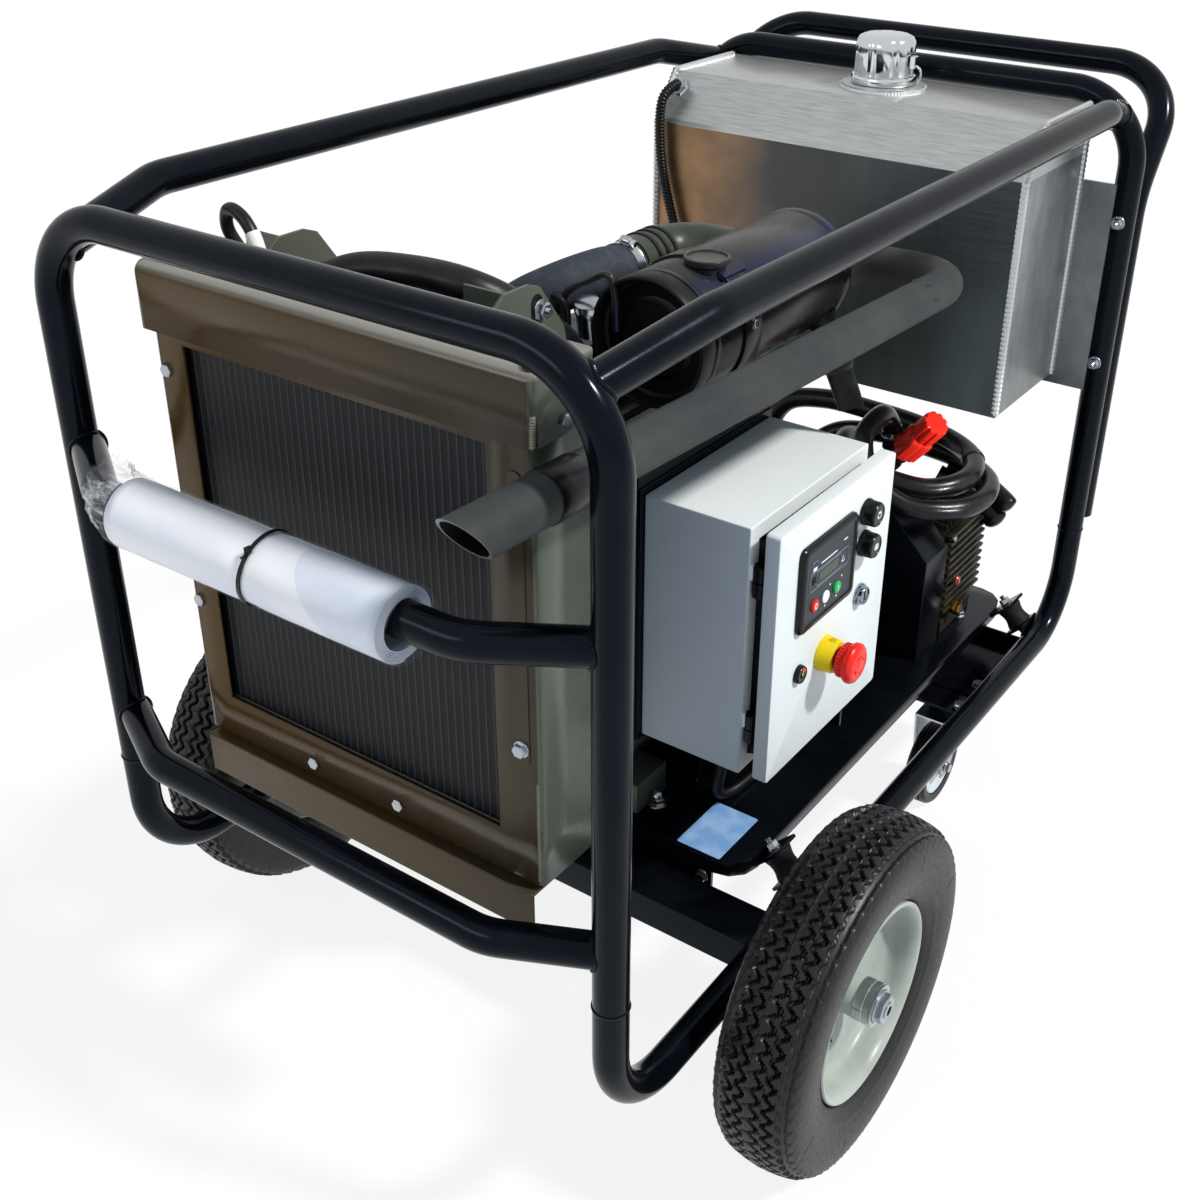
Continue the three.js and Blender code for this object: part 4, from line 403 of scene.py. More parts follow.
def sweep(path, radius, sides=24):
    """A round tube: path(s) + radius(s) (cos a N + sin a B), radius may change along s."""
    path = np.asarray(path, float)
    normals, others = frames_along(path)
    angle = np.linspace(0, math.tau, sides, endpoint=False)[None, :, None]
    radius = np.broadcast_to(np.asarray(radius, float), (len(path),))[:, None, None]
    return path[:, None] + radius * (np.cos(angle) * normals[:, None] + np.sin(angle) * others[:, None])


def lathe(profile, centre, axis, count=48, lobes=None):
    """A turned shape: (radius, distance) pairs round an axis; lobes(angle) scales the radius."""
    profile = np.array(profile, float)
    axis = unit(axis)
    side = unit(np.cross(axis, np.eye(3)[np.argmin(np.abs(axis))]))
    other = np.cross(axis, side)
    angle = np.linspace(0, math.tau, count, endpoint=False)
    scale = np.ones(count) if lobes is None else lobes(angle)
    round_part = np.cos(angle)[:, None] * side + np.sin(angle)[:, None] * other
    radial = profile[:, 0][:, None, None] * scale[None, :, None] * round_part[None]
    return np.array(centre, float) + radial + profile[:, 1][:, None, None] * axis


def patch(grid, around=True, capped=True):
    """A grid of points as (vertices, faces); around closes each row, capped closes both ends."""
    rows, columns = grid.shape[:2]
    if capped:
        ends = [np.broadcast_to(row.mean(0), row.shape) for row in (grid[0], grid[-1])]
        grid = np.concatenate([ends[0][None], grid, ends[1][None]])
        rows += 2
    index = np.arange(rows * columns).reshape(rows, columns)
    if around:
        index = np.concatenate([index, index[:, :1]], axis=1)
    faces = np.stack([index[:-1, :-1], index[:-1, 1:], index[1:, 1:], index[1:, :-1]], axis=-1)
    return grid.reshape(-1, 3), faces.reshape(-1, 4)


def turned(profile, centre, axis, count=48, lobes=None, capped=True):
    """A turned shape as a patch."""
    return patch(lathe(profile, centre, axis, count, lobes), capped=capped)


def tube(path, radius, sides=24):
    """A swept tube as a patch."""
    return patch(sweep(path, radius, sides))


def bar(path):
    """A bar of the frame's pipe, as a patch."""
    return tube(path, PIPE_RADIUS, 32)


def brick(low, high):
    """A box from its two corners, as a patch."""
    (x0, y0, z0), (x1, y1, z1) = low, high
    ring = np.array([(x0, y0), (x1, y0), (x1, y1), (x0, y1)], float)
    grid = np.stack([np.column_stack([ring, np.full(4, z)]) for z in (z0, z1)])
    return prism(grid)


def prism(grid):
    """Two matching rings of corners with flat ends, as a patch of quads and two end faces."""
    rings, corners = grid.shape[:2]
    vertices, faces = patch(grid, capped=False)
    return vertices, [tuple(f) for f in faces] + [tuple(range(corners)),
                                                  tuple(range((rings - 1) * corners, rings * corners))]


def slab(outline, axis, low, high):
    """A flat plate: an outline of pairs in the plane square to the axis, between two depths."""
    outline = np.array(outline, float)
    grid = np.stack([np.insert(outline, axis, depth, axis=1) for depth in (low, high)])
    return prism(grid)


def piece(name, parts, body="machine", crease=32, bevel=0.0, steps=2):
    """One object from (patches, finish) parts given in machine millimetres, riding on a body.
    Doubles are merged and faces turned outwards before the optional bevel."""
    mesh = bpy.data.meshes.new(name)
    vertices, faces, looks, offset = [], [], [], 0
    for number, (patches, finish) in enumerate(parts):
        mesh.materials.append(finish.material)
        for points, quads in patches:
            vertices.append(points)
            faces += [tuple(int(i) + offset for i in quad) for quad in quads]
            looks += [number] * len(quads)
            offset += len(points)
    points = np.concatenate(vertices) / 1000
    points[:, 1] += HOOP_Y
    mesh.from_pydata(points.tolist(), [], faces)
    mesh.polygons.foreach_set("material_index", looks)
    work = bmesh.new()
    work.from_mesh(mesh)
    bmesh.ops.remove_doubles(work, verts=work.verts, dist=2e-6)
    bmesh.ops.dissolve_degenerate(work, edges=work.edges, dist=1e-7)
    bmesh.ops.recalc_face_normals(work, faces=work.faces)
    work.to_mesh(mesh)
    work.free()
    made = put(name, mesh)
    shade(made, crease, bevel, steps)
    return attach(made, body)


def shade(made, crease, bevel=0.0, steps=2):
    """Smooth shading with sharp creases, and a bevel in millimetres on the sharp edges."""
    made.data.shade_smooth()
    if bevel:
        rounding = made.modifiers.new("edges", "BEVEL")
        rounding.width = bevel / 1000
        rounding.segments = steps
        rounding.limit_method = "ANGLE"
        rounding.angle_limit = math.radians(crease)
        rounding.harden_normals = True
    else:
        made.data.set_sharp_from_angle(angle=math.radians(crease))


def softened(node, finish, bevel=1.2, steps=2, crease=32):
    """A merged copy of a node's solid with its folds and corners rounded, in the node's place."""
    source = frame["nodes"][node]
    mesh = bpy.data.meshes.new(node + "_dressed")
    work = bmesh.new()
    work.from_mesh(source.data)
    bmesh.ops.remove_doubles(work, verts=work.verts, dist=1e-5)
    bmesh.ops.dissolve_limit(work, angle_limit=math.radians(1), verts=work.verts, edges=work.edges)
    work.to_mesh(mesh)
    work.free()
    mesh.materials.clear()
    mesh.materials.append(finish.material)
    made = put(node + "_dressed", mesh)
    shade(made, crease, bevel, steps)
    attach(made, body_of(source)[0])
    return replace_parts(made, node)


def gloss_black():
    """Powder coat: near black with a faint orange peel and softer, dustier patches."""
    # The bluish specular tint is a painted reflection of a blue sky on the coat.
    coat = Finish("gloss_black_coat", "gloss_black", "#04060b", 0.16, Specular_IOR_Level=0.15,
                  Specular_Tint=(0.6, 0.77, 1.0, 1.0))
    peel = coat.noise(420, 2)
    dust = coat.noise(14, 4, 0.6)
    coat.colour(coat.mix(dust.ramp(0.45, 0.8), "#04060b", "#0a0c10"))
    coat.rough(dust.ramp(0.4, 0.75) * 0.12 + 0.14)
    return coat.bump(peel, 0.00005, 0.6)


BLACK = gloss_black()


def lengths(path):
    """The length along a path at each of its points."""
    return np.concatenate([[0], np.cumsum(np.linalg.norm(np.diff(path, axis=0), axis=1))])


def places_at(stations, length, path):
    """The path's points at these lengths along it."""
    return np.column_stack([np.interp(stations, length, column) for column in path.T])


def bead(path, radius=3.2, pitch=2.4):
    """A weld: a small tube whose radius swells and shrinks once for every puddle."""
    path = np.asarray(path, float)
    length = lengths(path)
    even = np.linspace(0, length[-1], max(int(length[-1] / pitch * 4), 12))
    swell = radius * (0.82 + 0.26 * np.abs(np.sin(math.pi * even / pitch)))
    return tube(places_at(even, length, path), swell, 8)


def joint_ring(end, direction, axis_point, along, pipe=PIPE_RADIUS, other=PIPE_RADIUS):
    """Where a pipe that ends at a place meets another through axis_point: each point of a ring
    at radius r stands t = sqrt(R^2 - (e + u)^2) - f along the pipe, so it lies on the other."""
    direction, along = unit(direction), unit(along)
    across = np.cross(direction, along)
    gap = np.array(end, float) - np.array(axis_point, float)
    turn = np.linspace(0, math.tau, 65)
    u, w = pipe * 1.02 * np.cos(turn), pipe * 1.02 * np.sin(turn)
    off = np.clip(gap @ across + u, -0.985 * other, 0.985 * other)
    reach = np.sqrt(other**2 - off**2) - gap @ direction
    return np.array(end) + reach[:, None] * direction + u[:, None] * across + w[:, None] * along


def build_pipes():
    split = FRAME_BOTTOM + BEND_RADIUS + 60
    inset = BEND_RADIUS * (1 - math.sqrt(0.5))
    end_x, end_z = SIDE_X - inset, FRAME_TOP - inset
    for name, y in (("front_hoop", 0), ("rear_hoop", FRAME_LENGTH)):
        path = bent([(-SIDE_X, y, split), (-SIDE_X, y, FRAME_TOP), (SIDE_X, y, FRAME_TOP),
                     (SIDE_X, y, split)], [BEND_RADIUS] * 2)
        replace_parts(piece(name + "_pipe", [([bar(path)], BLACK)]), name)
    for side, word in SIDES:
        x = side * SIDE_X
        rail = bent([(x, 0, split), (x, 0, FRAME_BOTTOM), (x, FRAME_LENGTH, FRAME_BOTTOM),
                     (x, FRAME_LENGTH, split)], [BEND_RADIUS] * 2)
        rings = [bead(lathe([(PIPE_RADIUS, 0)], (x, y, split), UP, 48)[0], 1.2) for y in (0, FRAME_LENGTH)]
        made = piece("bottom_rail_pipe_" + word, [([bar(rail)] + rings, BLACK)])
        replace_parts(made, "bottom_rail_" + word)
        top = bent([(side * end_x, 6, end_z), (x, 130, FRAME_TOP), (x, FRAME_LENGTH - 130, FRAME_TOP),
                    (side * end_x, FRAME_LENGTH - 6, end_z)], [BEND_RADIUS] * 2)
        slope = np.array([side * 1.0, 0, -1])
        welds = []
        for y, inward in ((0, 1), (FRAME_LENGTH, -1)):
            lean = (side * (SIDE_X - end_x), inward * 124, FRAME_TOP - end_z)
            welds.append(joint_ring((side * end_x, y + inward * 6, end_z), lean,
                                    (side * end_x, y, end_z), slope))
        made = piece("top_rail_pipe_" + word, [([bar(top)] + [bead(w, 2.2) for w in welds], BLACK)])
        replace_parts(made, "top_rail_" + word)
    for name, height, bow in (("front_grip_bar", 743, 58), ("lower_front_bar", 432, 45)):
        end, shoulder = SIDE_X - 10, SIDE_X - 105
        path = bent([(-end, 0, height), (-shoulder, -bow, height), (shoulder, -bow, height),
                     (end, 0, height)], [70] * 2)
        welds = [bead(joint_ring((side * end, 0, height), (-side * (end - shoulder), -bow, 0),
                                 (side * SIDE_X, 0, height), UP), 1.8) for side in (1, -1)]
        made = piece(name + "_pipe", [([bar(path)] + welds, BLACK)])
        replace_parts(made, name)


build_pipes()


# ---------------------------------------------------------------- push handle
# The same pipe, bent to a wide U that flares back at hand height. Two zinc bolts a side
# go through it and the rear hoop's uprights.
HANDLE_FOOT, HANDLE_FLARE, HANDLE_RISE, HANDLE_REACH = 385, 845, 987, 110
HANDLE_BOLTS = (630, 820)


def zinc_plate(name="zinc_plate", colour="#a9b1bd", tint="#bcbcb4"):
    """Bright zinc: a cool grey metal with yellowish passivation in soft patches."""
    plate = Finish(name, "zinc", colour, 0.25, 1.0)
    cloud = plate.noise(90, 3, 0.6)
    plate.colour(plate.mix(cloud.ramp(0.4, 0.75), colour, tint))
    plate.worn(300, 3, 0.16, 0.16)
    return plate.grain(700, 2, 0.00004, 0.5)


ZINC = zinc_plate()


def hexagon(angle):
    """A hexagon's radius over the radius inside its flats, by angle."""
    return 1 / np.cos((angle + math.pi / 6) % (math.pi / 3) - math.pi / 6)


def six_sided(profile, centre, axis):
    """A turned shape with six flats, as a patch."""
    return turned(profile, centre, axis, 36, hexagon)


def bolt(place, direction, flats=13.0, height=6.0, washer=1.6):
    """A hexagon head, its corners turned down at the top, on a round washer."""
    half = flats / 2
    head = lathe([(half, washer), (half, washer + height * 0.82), (half * 0.88, washer + height)],
                 place, direction, 36, hexagon)
    seat = lathe([(half * 1.35, 0), (half * 1.38, washer * 0.5), (half * 1.3, washer)], place, direction, 36)
    return [patch(head), patch(seat)]


def stud_nut(place, direction, flats=13.0, height=8.0, thread=7.0):
    """A nut on its washer with the end of the thread standing out of it."""
    half = flats / 2
    turns = np.arange(0, thread, 0.7)
    screw = [(half * 0.52 - 0.35 * (k % 2), height + 1.6 + d) for k, d in enumerate(turns)]
    return bolt(place, direction, flats, height) + [turned(screw, place, direction, 18)]


def build_handle():
    reach = HANDLE_Y + HANDLE_REACH
    path = bent([(-SIDE_X, HANDLE_Y, HANDLE_FOOT), (-SIDE_X, HANDLE_Y, HANDLE_FLARE),
                 (-SIDE_X, reach, HANDLE_RISE), (SIDE_X, reach, HANDLE_RISE),
                 (SIDE_X, HANDLE_Y, HANDLE_FLARE), (SIDE_X, HANDLE_Y, HANDLE_FOOT)], [BEND_RADIUS] * 4)
    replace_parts(piece("push_handle_pipe", [([bar(path)], BLACK)]), "push_handle")
    heads = []
    for x in (-SIDE_X, SIDE_X):
        for z in HANDLE_BOLTS:
            heads += bolt((x, HANDLE_Y + PIPE_RADIUS - 0.6, z), REARWARD)
            heads += stud_nut((x, FRAME_LENGTH - PIPE_RADIUS + 0.6, z), FORWARD)
    piece("handle_bolts", [(heads, ZINC)])


build_handle()


# ---------------------------------------------------------------- rolled manual
# White printed sheets rolled round the grip bar in a clear sleeve, with a black tie.
# The wound sheets show as a spiral at the ends; the sleeve is crumpled past them.
ROLL_LEFT, ROLL_RIGHT, ROLL_OUTER, ROLL_INNER = -168, 157, 34.0, 22.0
ROLL_Y, ROLL_Z = -58, 738.2
ROLL_TIE_X, ROLL_TURNS = 2, 5.6
FILM_PAST, FILM_PAST_RIGHT = 46, 9


def thicken(made, millimetres, offset=-1):
    """Gives a sheet its thickness: on the inside, or with offset 0 on both sides."""
    solid = made.modifiers.new("sheet", "SOLIDIFY")
    solid.thickness = millimetres / 1000
    solid.offset = offset


def crumple(u, v, seed):
    """Overlapping sines of the two parameters: a fixed, irregular crumple between -1 and 1."""
    waves = [(3, 2, 0.0), (7, -5, 1.1), (11, 9, 2.3), (17, -13, 0.7), (23, 19, 1.9)]
    total = sum(np.sin(a * u + b * v + c + seed * (a + 1)) / (1 + 0.25 * k) for k,
                (a, b, c) in enumerate(waves))
    return total / 2.6


def build_roll():
    sheet = Finish("rolled_sheets", "paper", "#eceef4", 0.5)
    along = sheet.place(0)
    # Painted shade on the white sheets: blue-grey streaks along the roll and a bluer side past a diagonal
    # line.
    streak = sheet.noise(5, 2, 0.5, sheet.stretched((0.6, 3.0, 3.0)))
    edge = (along * 1.1 + sheet.place(2) - 0.83).over(0)
    sheet.colour(sheet.mix(streak.ramp(0.4, 0.65) * 0.6 + edge * 0.3, "#e9e8ea", "#aab6cf"))
    sheet.bump(sheet.noise(160, 2) + along.wave(9) * 0.2, 0.0003, 0.5)
    sleeve = Finish("clear_sleeve", "paper", "#eef1f6", 0.1, Specular_IOR_Level=0.7)
    folds = sleeve.noise(26, 4, 0.7, sleeve.stretched((1.0, 2.4, 2.4)))
    past = (sleeve.place(0) * -1000 + ROLL_LEFT).over(0)
    sleeve.feed(sleeve.shader.inputs["Alpha"], folds.ramp(0.46, 0.66) * past * 0.5 + 0.06)
    sleeve.bump(sleeve.noise(60, 4, 0.6), 0.002, 0.9)
    tie_look = Finish("tie_nylon", "black_plastic", "#101113", 0.35)
    tie_look.bump(tie_look.place(1).wave(700), 0.0002, 0.5)

    t = np.linspace(0, 1, 220)
    angle = math.tau * ROLL_TURNS * t + 0.9
    radius = ROLL_INNER + 0.6 + (ROLL_OUTER - 1.6 - ROLL_INNER) * t
    across = np.linspace(ROLL_LEFT, ROLL_RIGHT, 34)
    pinch = 1 - 0.035 * np.exp(-((across - ROLL_TIE_X) / 12) ** 2)
    wobble = 1 + 0.008 * crumple(across[:, None] / 60, angle[None], 0.4)
    spread = radius[None] * pinch[:, None] * wobble
    grid = np.stack([np.broadcast_to(across[:, None], spread.shape), ROLL_Y + spread * np.cos(angle),
                     ROLL_Z + spread * np.sin(angle)], axis=-1)
    wound = piece("wound_sheets", [([patch(grid, around=False, capped=False)], sheet)], crease=60)
    thicken(wound, 1.2, 0)

    along_x = np.concatenate([np.linspace(ROLL_LEFT - FILM_PAST, ROLL_LEFT, 20)[:-1],
                              np.linspace(ROLL_LEFT, ROLL_RIGHT, 60),
                              np.linspace(ROLL_RIGHT, ROLL_RIGHT + FILM_PAST_RIGHT, 6)[1:]])
    turn = np.linspace(0, math.tau, 96, endpoint=False)
    past_left = np.clip((ROLL_LEFT - along_x) / FILM_PAST, 0, 1)[:, None]
    past_right = np.clip((along_x - ROLL_RIGHT) / FILM_PAST_RIGHT, 0, 1)[:, None]
    skin = ROLL_OUTER + 0.5 - 3.2 * np.exp(-((along_x[:, None] - ROLL_TIE_X) / 5) ** 2)
    skin = skin - 8 * past_left**1.2 + 4.0 * past_left * crumple(along_x[:, None] / 14, 2 * turn[None], 1.3)
    skin = skin - 3 * past_right**2 + 0.35 * crumple(along_x[:, None] / 18, 3 * turn[None], 2.1)
    sag = 6 * past_left * np.cos(turn[None] - 2.6)
    rim = np.stack([along_x[:, None] + 5 * past_left * crumple(turn[None] * 2, turn[None], 0.2),
                    ROLL_Y + 16 * past_left**2 + (skin + sag) * np.cos(turn),
                    ROLL_Z + 7 * past_left + (skin + sag) * np.sin(turn)], axis=-1)
    piece("sleeve_film", [([patch(rim, capped=False)], sleeve)], crease=180)
    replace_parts(wound, "rolled_manual")

    ring = np.linspace(0, math.tau, 73)
    radius = ROLL_OUTER - 0.6
    lean = 6 * np.sin(ring - 0.4)
    strap = np.column_stack([ROLL_TIE_X + lean, ROLL_Y + radius * np.cos(ring),
                             ROLL_Z + radius * np.sin(ring)])
    outward = strap - np.array([0, ROLL_Y, ROLL_Z]) - np.outer(strap[:, 0], RIGHT)
    outward /= np.linalg.norm(outward, axis=1, keepdims=True)
    corners = [(-1.9, 0.0), (1.9, 0.0), (1.9, 1.3), (-1.9, 1.3)]
    band = np.stack([strap + np.array([a, 0, 0]) + outward * b for a, b in corners], axis=1)
    lock_angle = math.radians(128)
    lock = np.array([0, math.cos(lock_angle), math.sin(lock_angle)])
    middle = np.array([ROLL_TIE_X + 6 * math.sin(lock_angle - 0.4), ROLL_Y, ROLL_Z]) + lock * (radius + 2.4)
    tangent = np.array([0, -math.sin(lock_angle), math.cos(lock_angle)])
    head = lathe([(3.4, -2.4), (4.0, -1.8), (4.0, 1.8), (3.4, 2.4)], middle, lock, 4)
    tail = sweep(np.array([middle - tangent * 2, middle + tangent * 6,
                           middle + tangent * 9 + lock * 2]), 1.1, 8)
    piece("sleeve_tie", [([patch(band, capped=False), patch(head), patch(tail)], tie_look)], crease=40)


build_roll()


# ---------------------------------------------------------------- chassis
# Two folded steel beams under the rails and a folded tray that hangs between the rails on
# four rubber mounts, all gloss black. The tray carries engine, pump and control box.
TRAY_TOP, TRAY_FRONT = 250, 341
MOUNT_X, MOUNT_Z, MOUNT_LENGTH = 276, 243, 30
MOUNT_ROWS = {"front": 392, "rear": 1060}
WHEEL_Y, WHEEL_RADIUS = 301, 198
LABEL_PLATE = (161, 218, 346, 432)
TRAY_STUD = (104.7, 388.5, TRAY_TOP)


def rubber(name, slot, colour="#0d0d0e", dust="#201f1d", roughness=0.55, sheen=SHEEN):
    """Black rubber: matt, with a grain and pale dust in the hollows."""
    made = Finish(name, slot, colour, 0.75, Specular_IOR_Level=sheen)
    made.clouded((70, 5, 0.7), (0.5, 0.85), colour, dust)
    made.worn(200, 3, 0.3, roughness)
    return made.grain(900, 3, 0.00012, 0.6)


def rounded(y0, y1, z0, z1, radius, x, steps=6):
    """A rounded rectangle in the plane of y and z at one x, as a ring of points."""
    turn = np.linspace(0, math.pi / 2, steps)
    ring = []
    for cy, cz, start in ((y1 - radius, z1 - radius, 0), (y0 + radius, z1 - radius, 1),
                          (y0 + radius, z0 + radius, 2), (y1 - radius, z0 + radius, 3)):
        a = turn + start * math.pi / 2
        ring.append(np.column_stack([np.full(steps, x), cy + radius * np.cos(a), cz + radius * np.sin(a)]))
    return np.concatenate(ring)


def build_chassis():
    for node in ("axle_beam", "caster_beam"):
        softened(node, BLACK, 1.2)
    softened("engine_tray", BLACK, 1.6, 3)
    soft = rubber("mount_rubber", "mount_rubber")
    steel, feet = [], []
    for side, word in SIDES:
        axis = np.array([side, 0, -1]) / math.sqrt(2)
        for row, y in MOUNT_ROWS.items():
            middle = np.array([side * MOUNT_X, y, MOUNT_Z])
            half = MOUNT_LENGTH / 2
            waist = [(15, -half), (17.5, -half + 0.6), (17.9, 2 - half), (17.2, 4 - half), (15.4, -5),
                     (14.8, 0), (15.4, 5), (17.2, half - 4), (17.9, half - 2), (17.5, half - 0.6),
                     (15, half)]
            made = piece(f"mount_{row}_{word}", [([turned(waist, middle, axis, 40)], soft)])
            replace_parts(made, f"rubber_mount_{row}_{word}")
            steel += stud_nut(middle - axis * (half + 4.4), -axis, 13, 7, 5)
            feet += stud_nut(middle + axis * (half + 4.4), axis, 13, 7, 5)
    piece("mount_nuts", [(steel + feet, ZINC)])

    screws = []
    for x in (-272, -208, 208, 272):
        for y in (895, 959):
            screws += bolt((x, y, 172), UP, 12, 5)
    for side in (1, -1):
        screws += bolt((side * 200, TRAY_FRONT + 0.2, 222), FORWARD, 12, 5)
    screws += [turned([(11.5, 0), (11.8, 1), (11.5, 2)], TRAY_STUD, UP, 36),
               six_sided([(8, 2), (8, 9), (7.4, 9.6)], TRAY_STUD, UP),
               turned([(6.6, 9), (6.6, 12), (6.2, 14.5), (5, 17), (3, 18.6), (0.8, 19.2)], TRAY_STUD,
                      UP, 36)]
    for x, y in ((-190, 420), (-225, 980), (215, 1000), (-60, 1070), (30, 1072)):
        screws += bolt((x, y, TRAY_TOP), UP, 13, 6)
    piece("chassis_bolts", [(screws, ZINC)])

    foil = Finish("bare_foil_plate", "zinc", "#7fa3cf", 0.3)
    foil.clouded((40, 3), (0.4, 0.7), "#6f97c8", "#8fb0d6")
    foil.grain(500, 2, 0.00003, 0.4)
    x0, x1, y0, y1 = LABEL_PLATE
    outline = rounded(x0, x1, y0, y1, 2, 0, 5)[:, 1:]
    piece("bare_plate", [([slab(outline, 2, TRAY_TOP - 0.2, TRAY_TOP + 0.5)], foil)], bevel=0.15)


build_chassis()


# ---------------------------------------------------------------- wheels
# Pneumatic tyres with a moulded zig-zag tread on pressed steel rims, each held on the axle
# by a washer and nut. The seam and the vent hairs are left from the mould.
WHEEL_X = 401.85
TREAD_HALF = 41
TEETH = 64
HAIR_ROOT, HAIR_LENGTH, HAIRS = 193.4, 3.9, 70
TYRE = rubber("tyre_rubber", "tyre", "#0a0b0d", "#191a1b", 0.28, 0.34)


def rim_paint():
    """Silver-white paint on pressed steel, a little milky and uneven."""
    paint = Finish("rim_silver_paint", "rim_silver", "#99a19c", 0.3)
    paint.clouded((16, 4, 0.6), (0.35, 0.7), "#8f9792", "#a3aaa5")
    paint.worn(60, 3, 0.2, 0.22)
    return paint.grain(380, 2, 0.00008, 0.5)


RIM_PAINT = rim_paint()


def ring_grid(profile, centre, angles, lift):
    """A closed ring: profile pairs (radius, side) turned about the x axis, each point moved
    along the profile's own normal by lift(side, angle)."""
    slope = np.gradient(profile, axis=0)
    slope /= np.linalg.norm(slope, axis=1, keepdims=True)
    normal = np.column_stack([-slope[:, 1], slope[:, 0]])
    if normal[len(profile) // 2, 0] < 0:
        normal = -normal
    move = lift(profile, angles)
    r = profile[None, :, 0] + normal[None, :, 0] * move
    a = profile[None, :, 1] + normal[None, :, 1] * move
    turn = angles[:, None]
    x, y, z = centre
    return np.stack([x + a, y + r * np.cos(turn), z + r * np.sin(turn)], axis=-1)


def zigzag(angle, shift=0.0):
    """A saw-tooth wave with short flats between -1 and 1, once for every tooth."""
    t = (angle * TEETH / (math.tau) + shift) % 1
    return np.clip(3.2 * np.abs(2 * t - 1) - 1.6, -1, 1)


def tread_height(profile, angles):
    """Millimetres above the tyre's casing: four zig-zag grooves, toothed shoulders, short
    slits in the ribs, the seam in the middle and fine rings on the side walls."""
    r, a = profile[None, :, 0], profile[None, :, 1]
    turn = angles[:, None]
    height = np.zeros(np.broadcast(r, turn).shape)
    crown = r > 186.5
    for middle in (-22.5, -9, 9, 22.5):
        near = np.abs(a - middle - 3.6 * zigzag(turn))
        height -= 5.0 * np.clip((2.7 - near) / 0.9, 0, 1) * crown
    outer = np.abs(a) - 33 - 2.4 * zigzag(turn, 0.2)
    height -= 3.4 * np.clip(outer / 1.2, 0, 1) * (r > 184) * (np.abs(a) < TREAD_HALF + 1)
    tooth = (turn * TEETH / (math.tau) + 0.02 * a) % 1
    slit = (np.abs(tooth - 0.5) < 0.07) & (np.abs((np.abs(a) % 13.5) - 2) < 2.6)
    height -= 1.6 * slit * crown
    height += 0.45 * (np.abs(a) < 0.6)
    wall = (r < 184) & (r > 118)
    height += 0.8 * np.exp(-((r - 176.5) / 0.8) ** 2) * wall
    height += 0.9 * np.exp(-((r - 130) / 1.2) ** 2) * wall
    height += 0.5 * wall * (r > 152) * (r < 170) * (np.abs((turn * 24 / (math.tau)) % 1 - 0.5) < 0.008)
    height += 0.9 * np.exp(-((r - 181.5 - 2.2 * zigzag(turn)) / 0.9) ** 2)
    return height


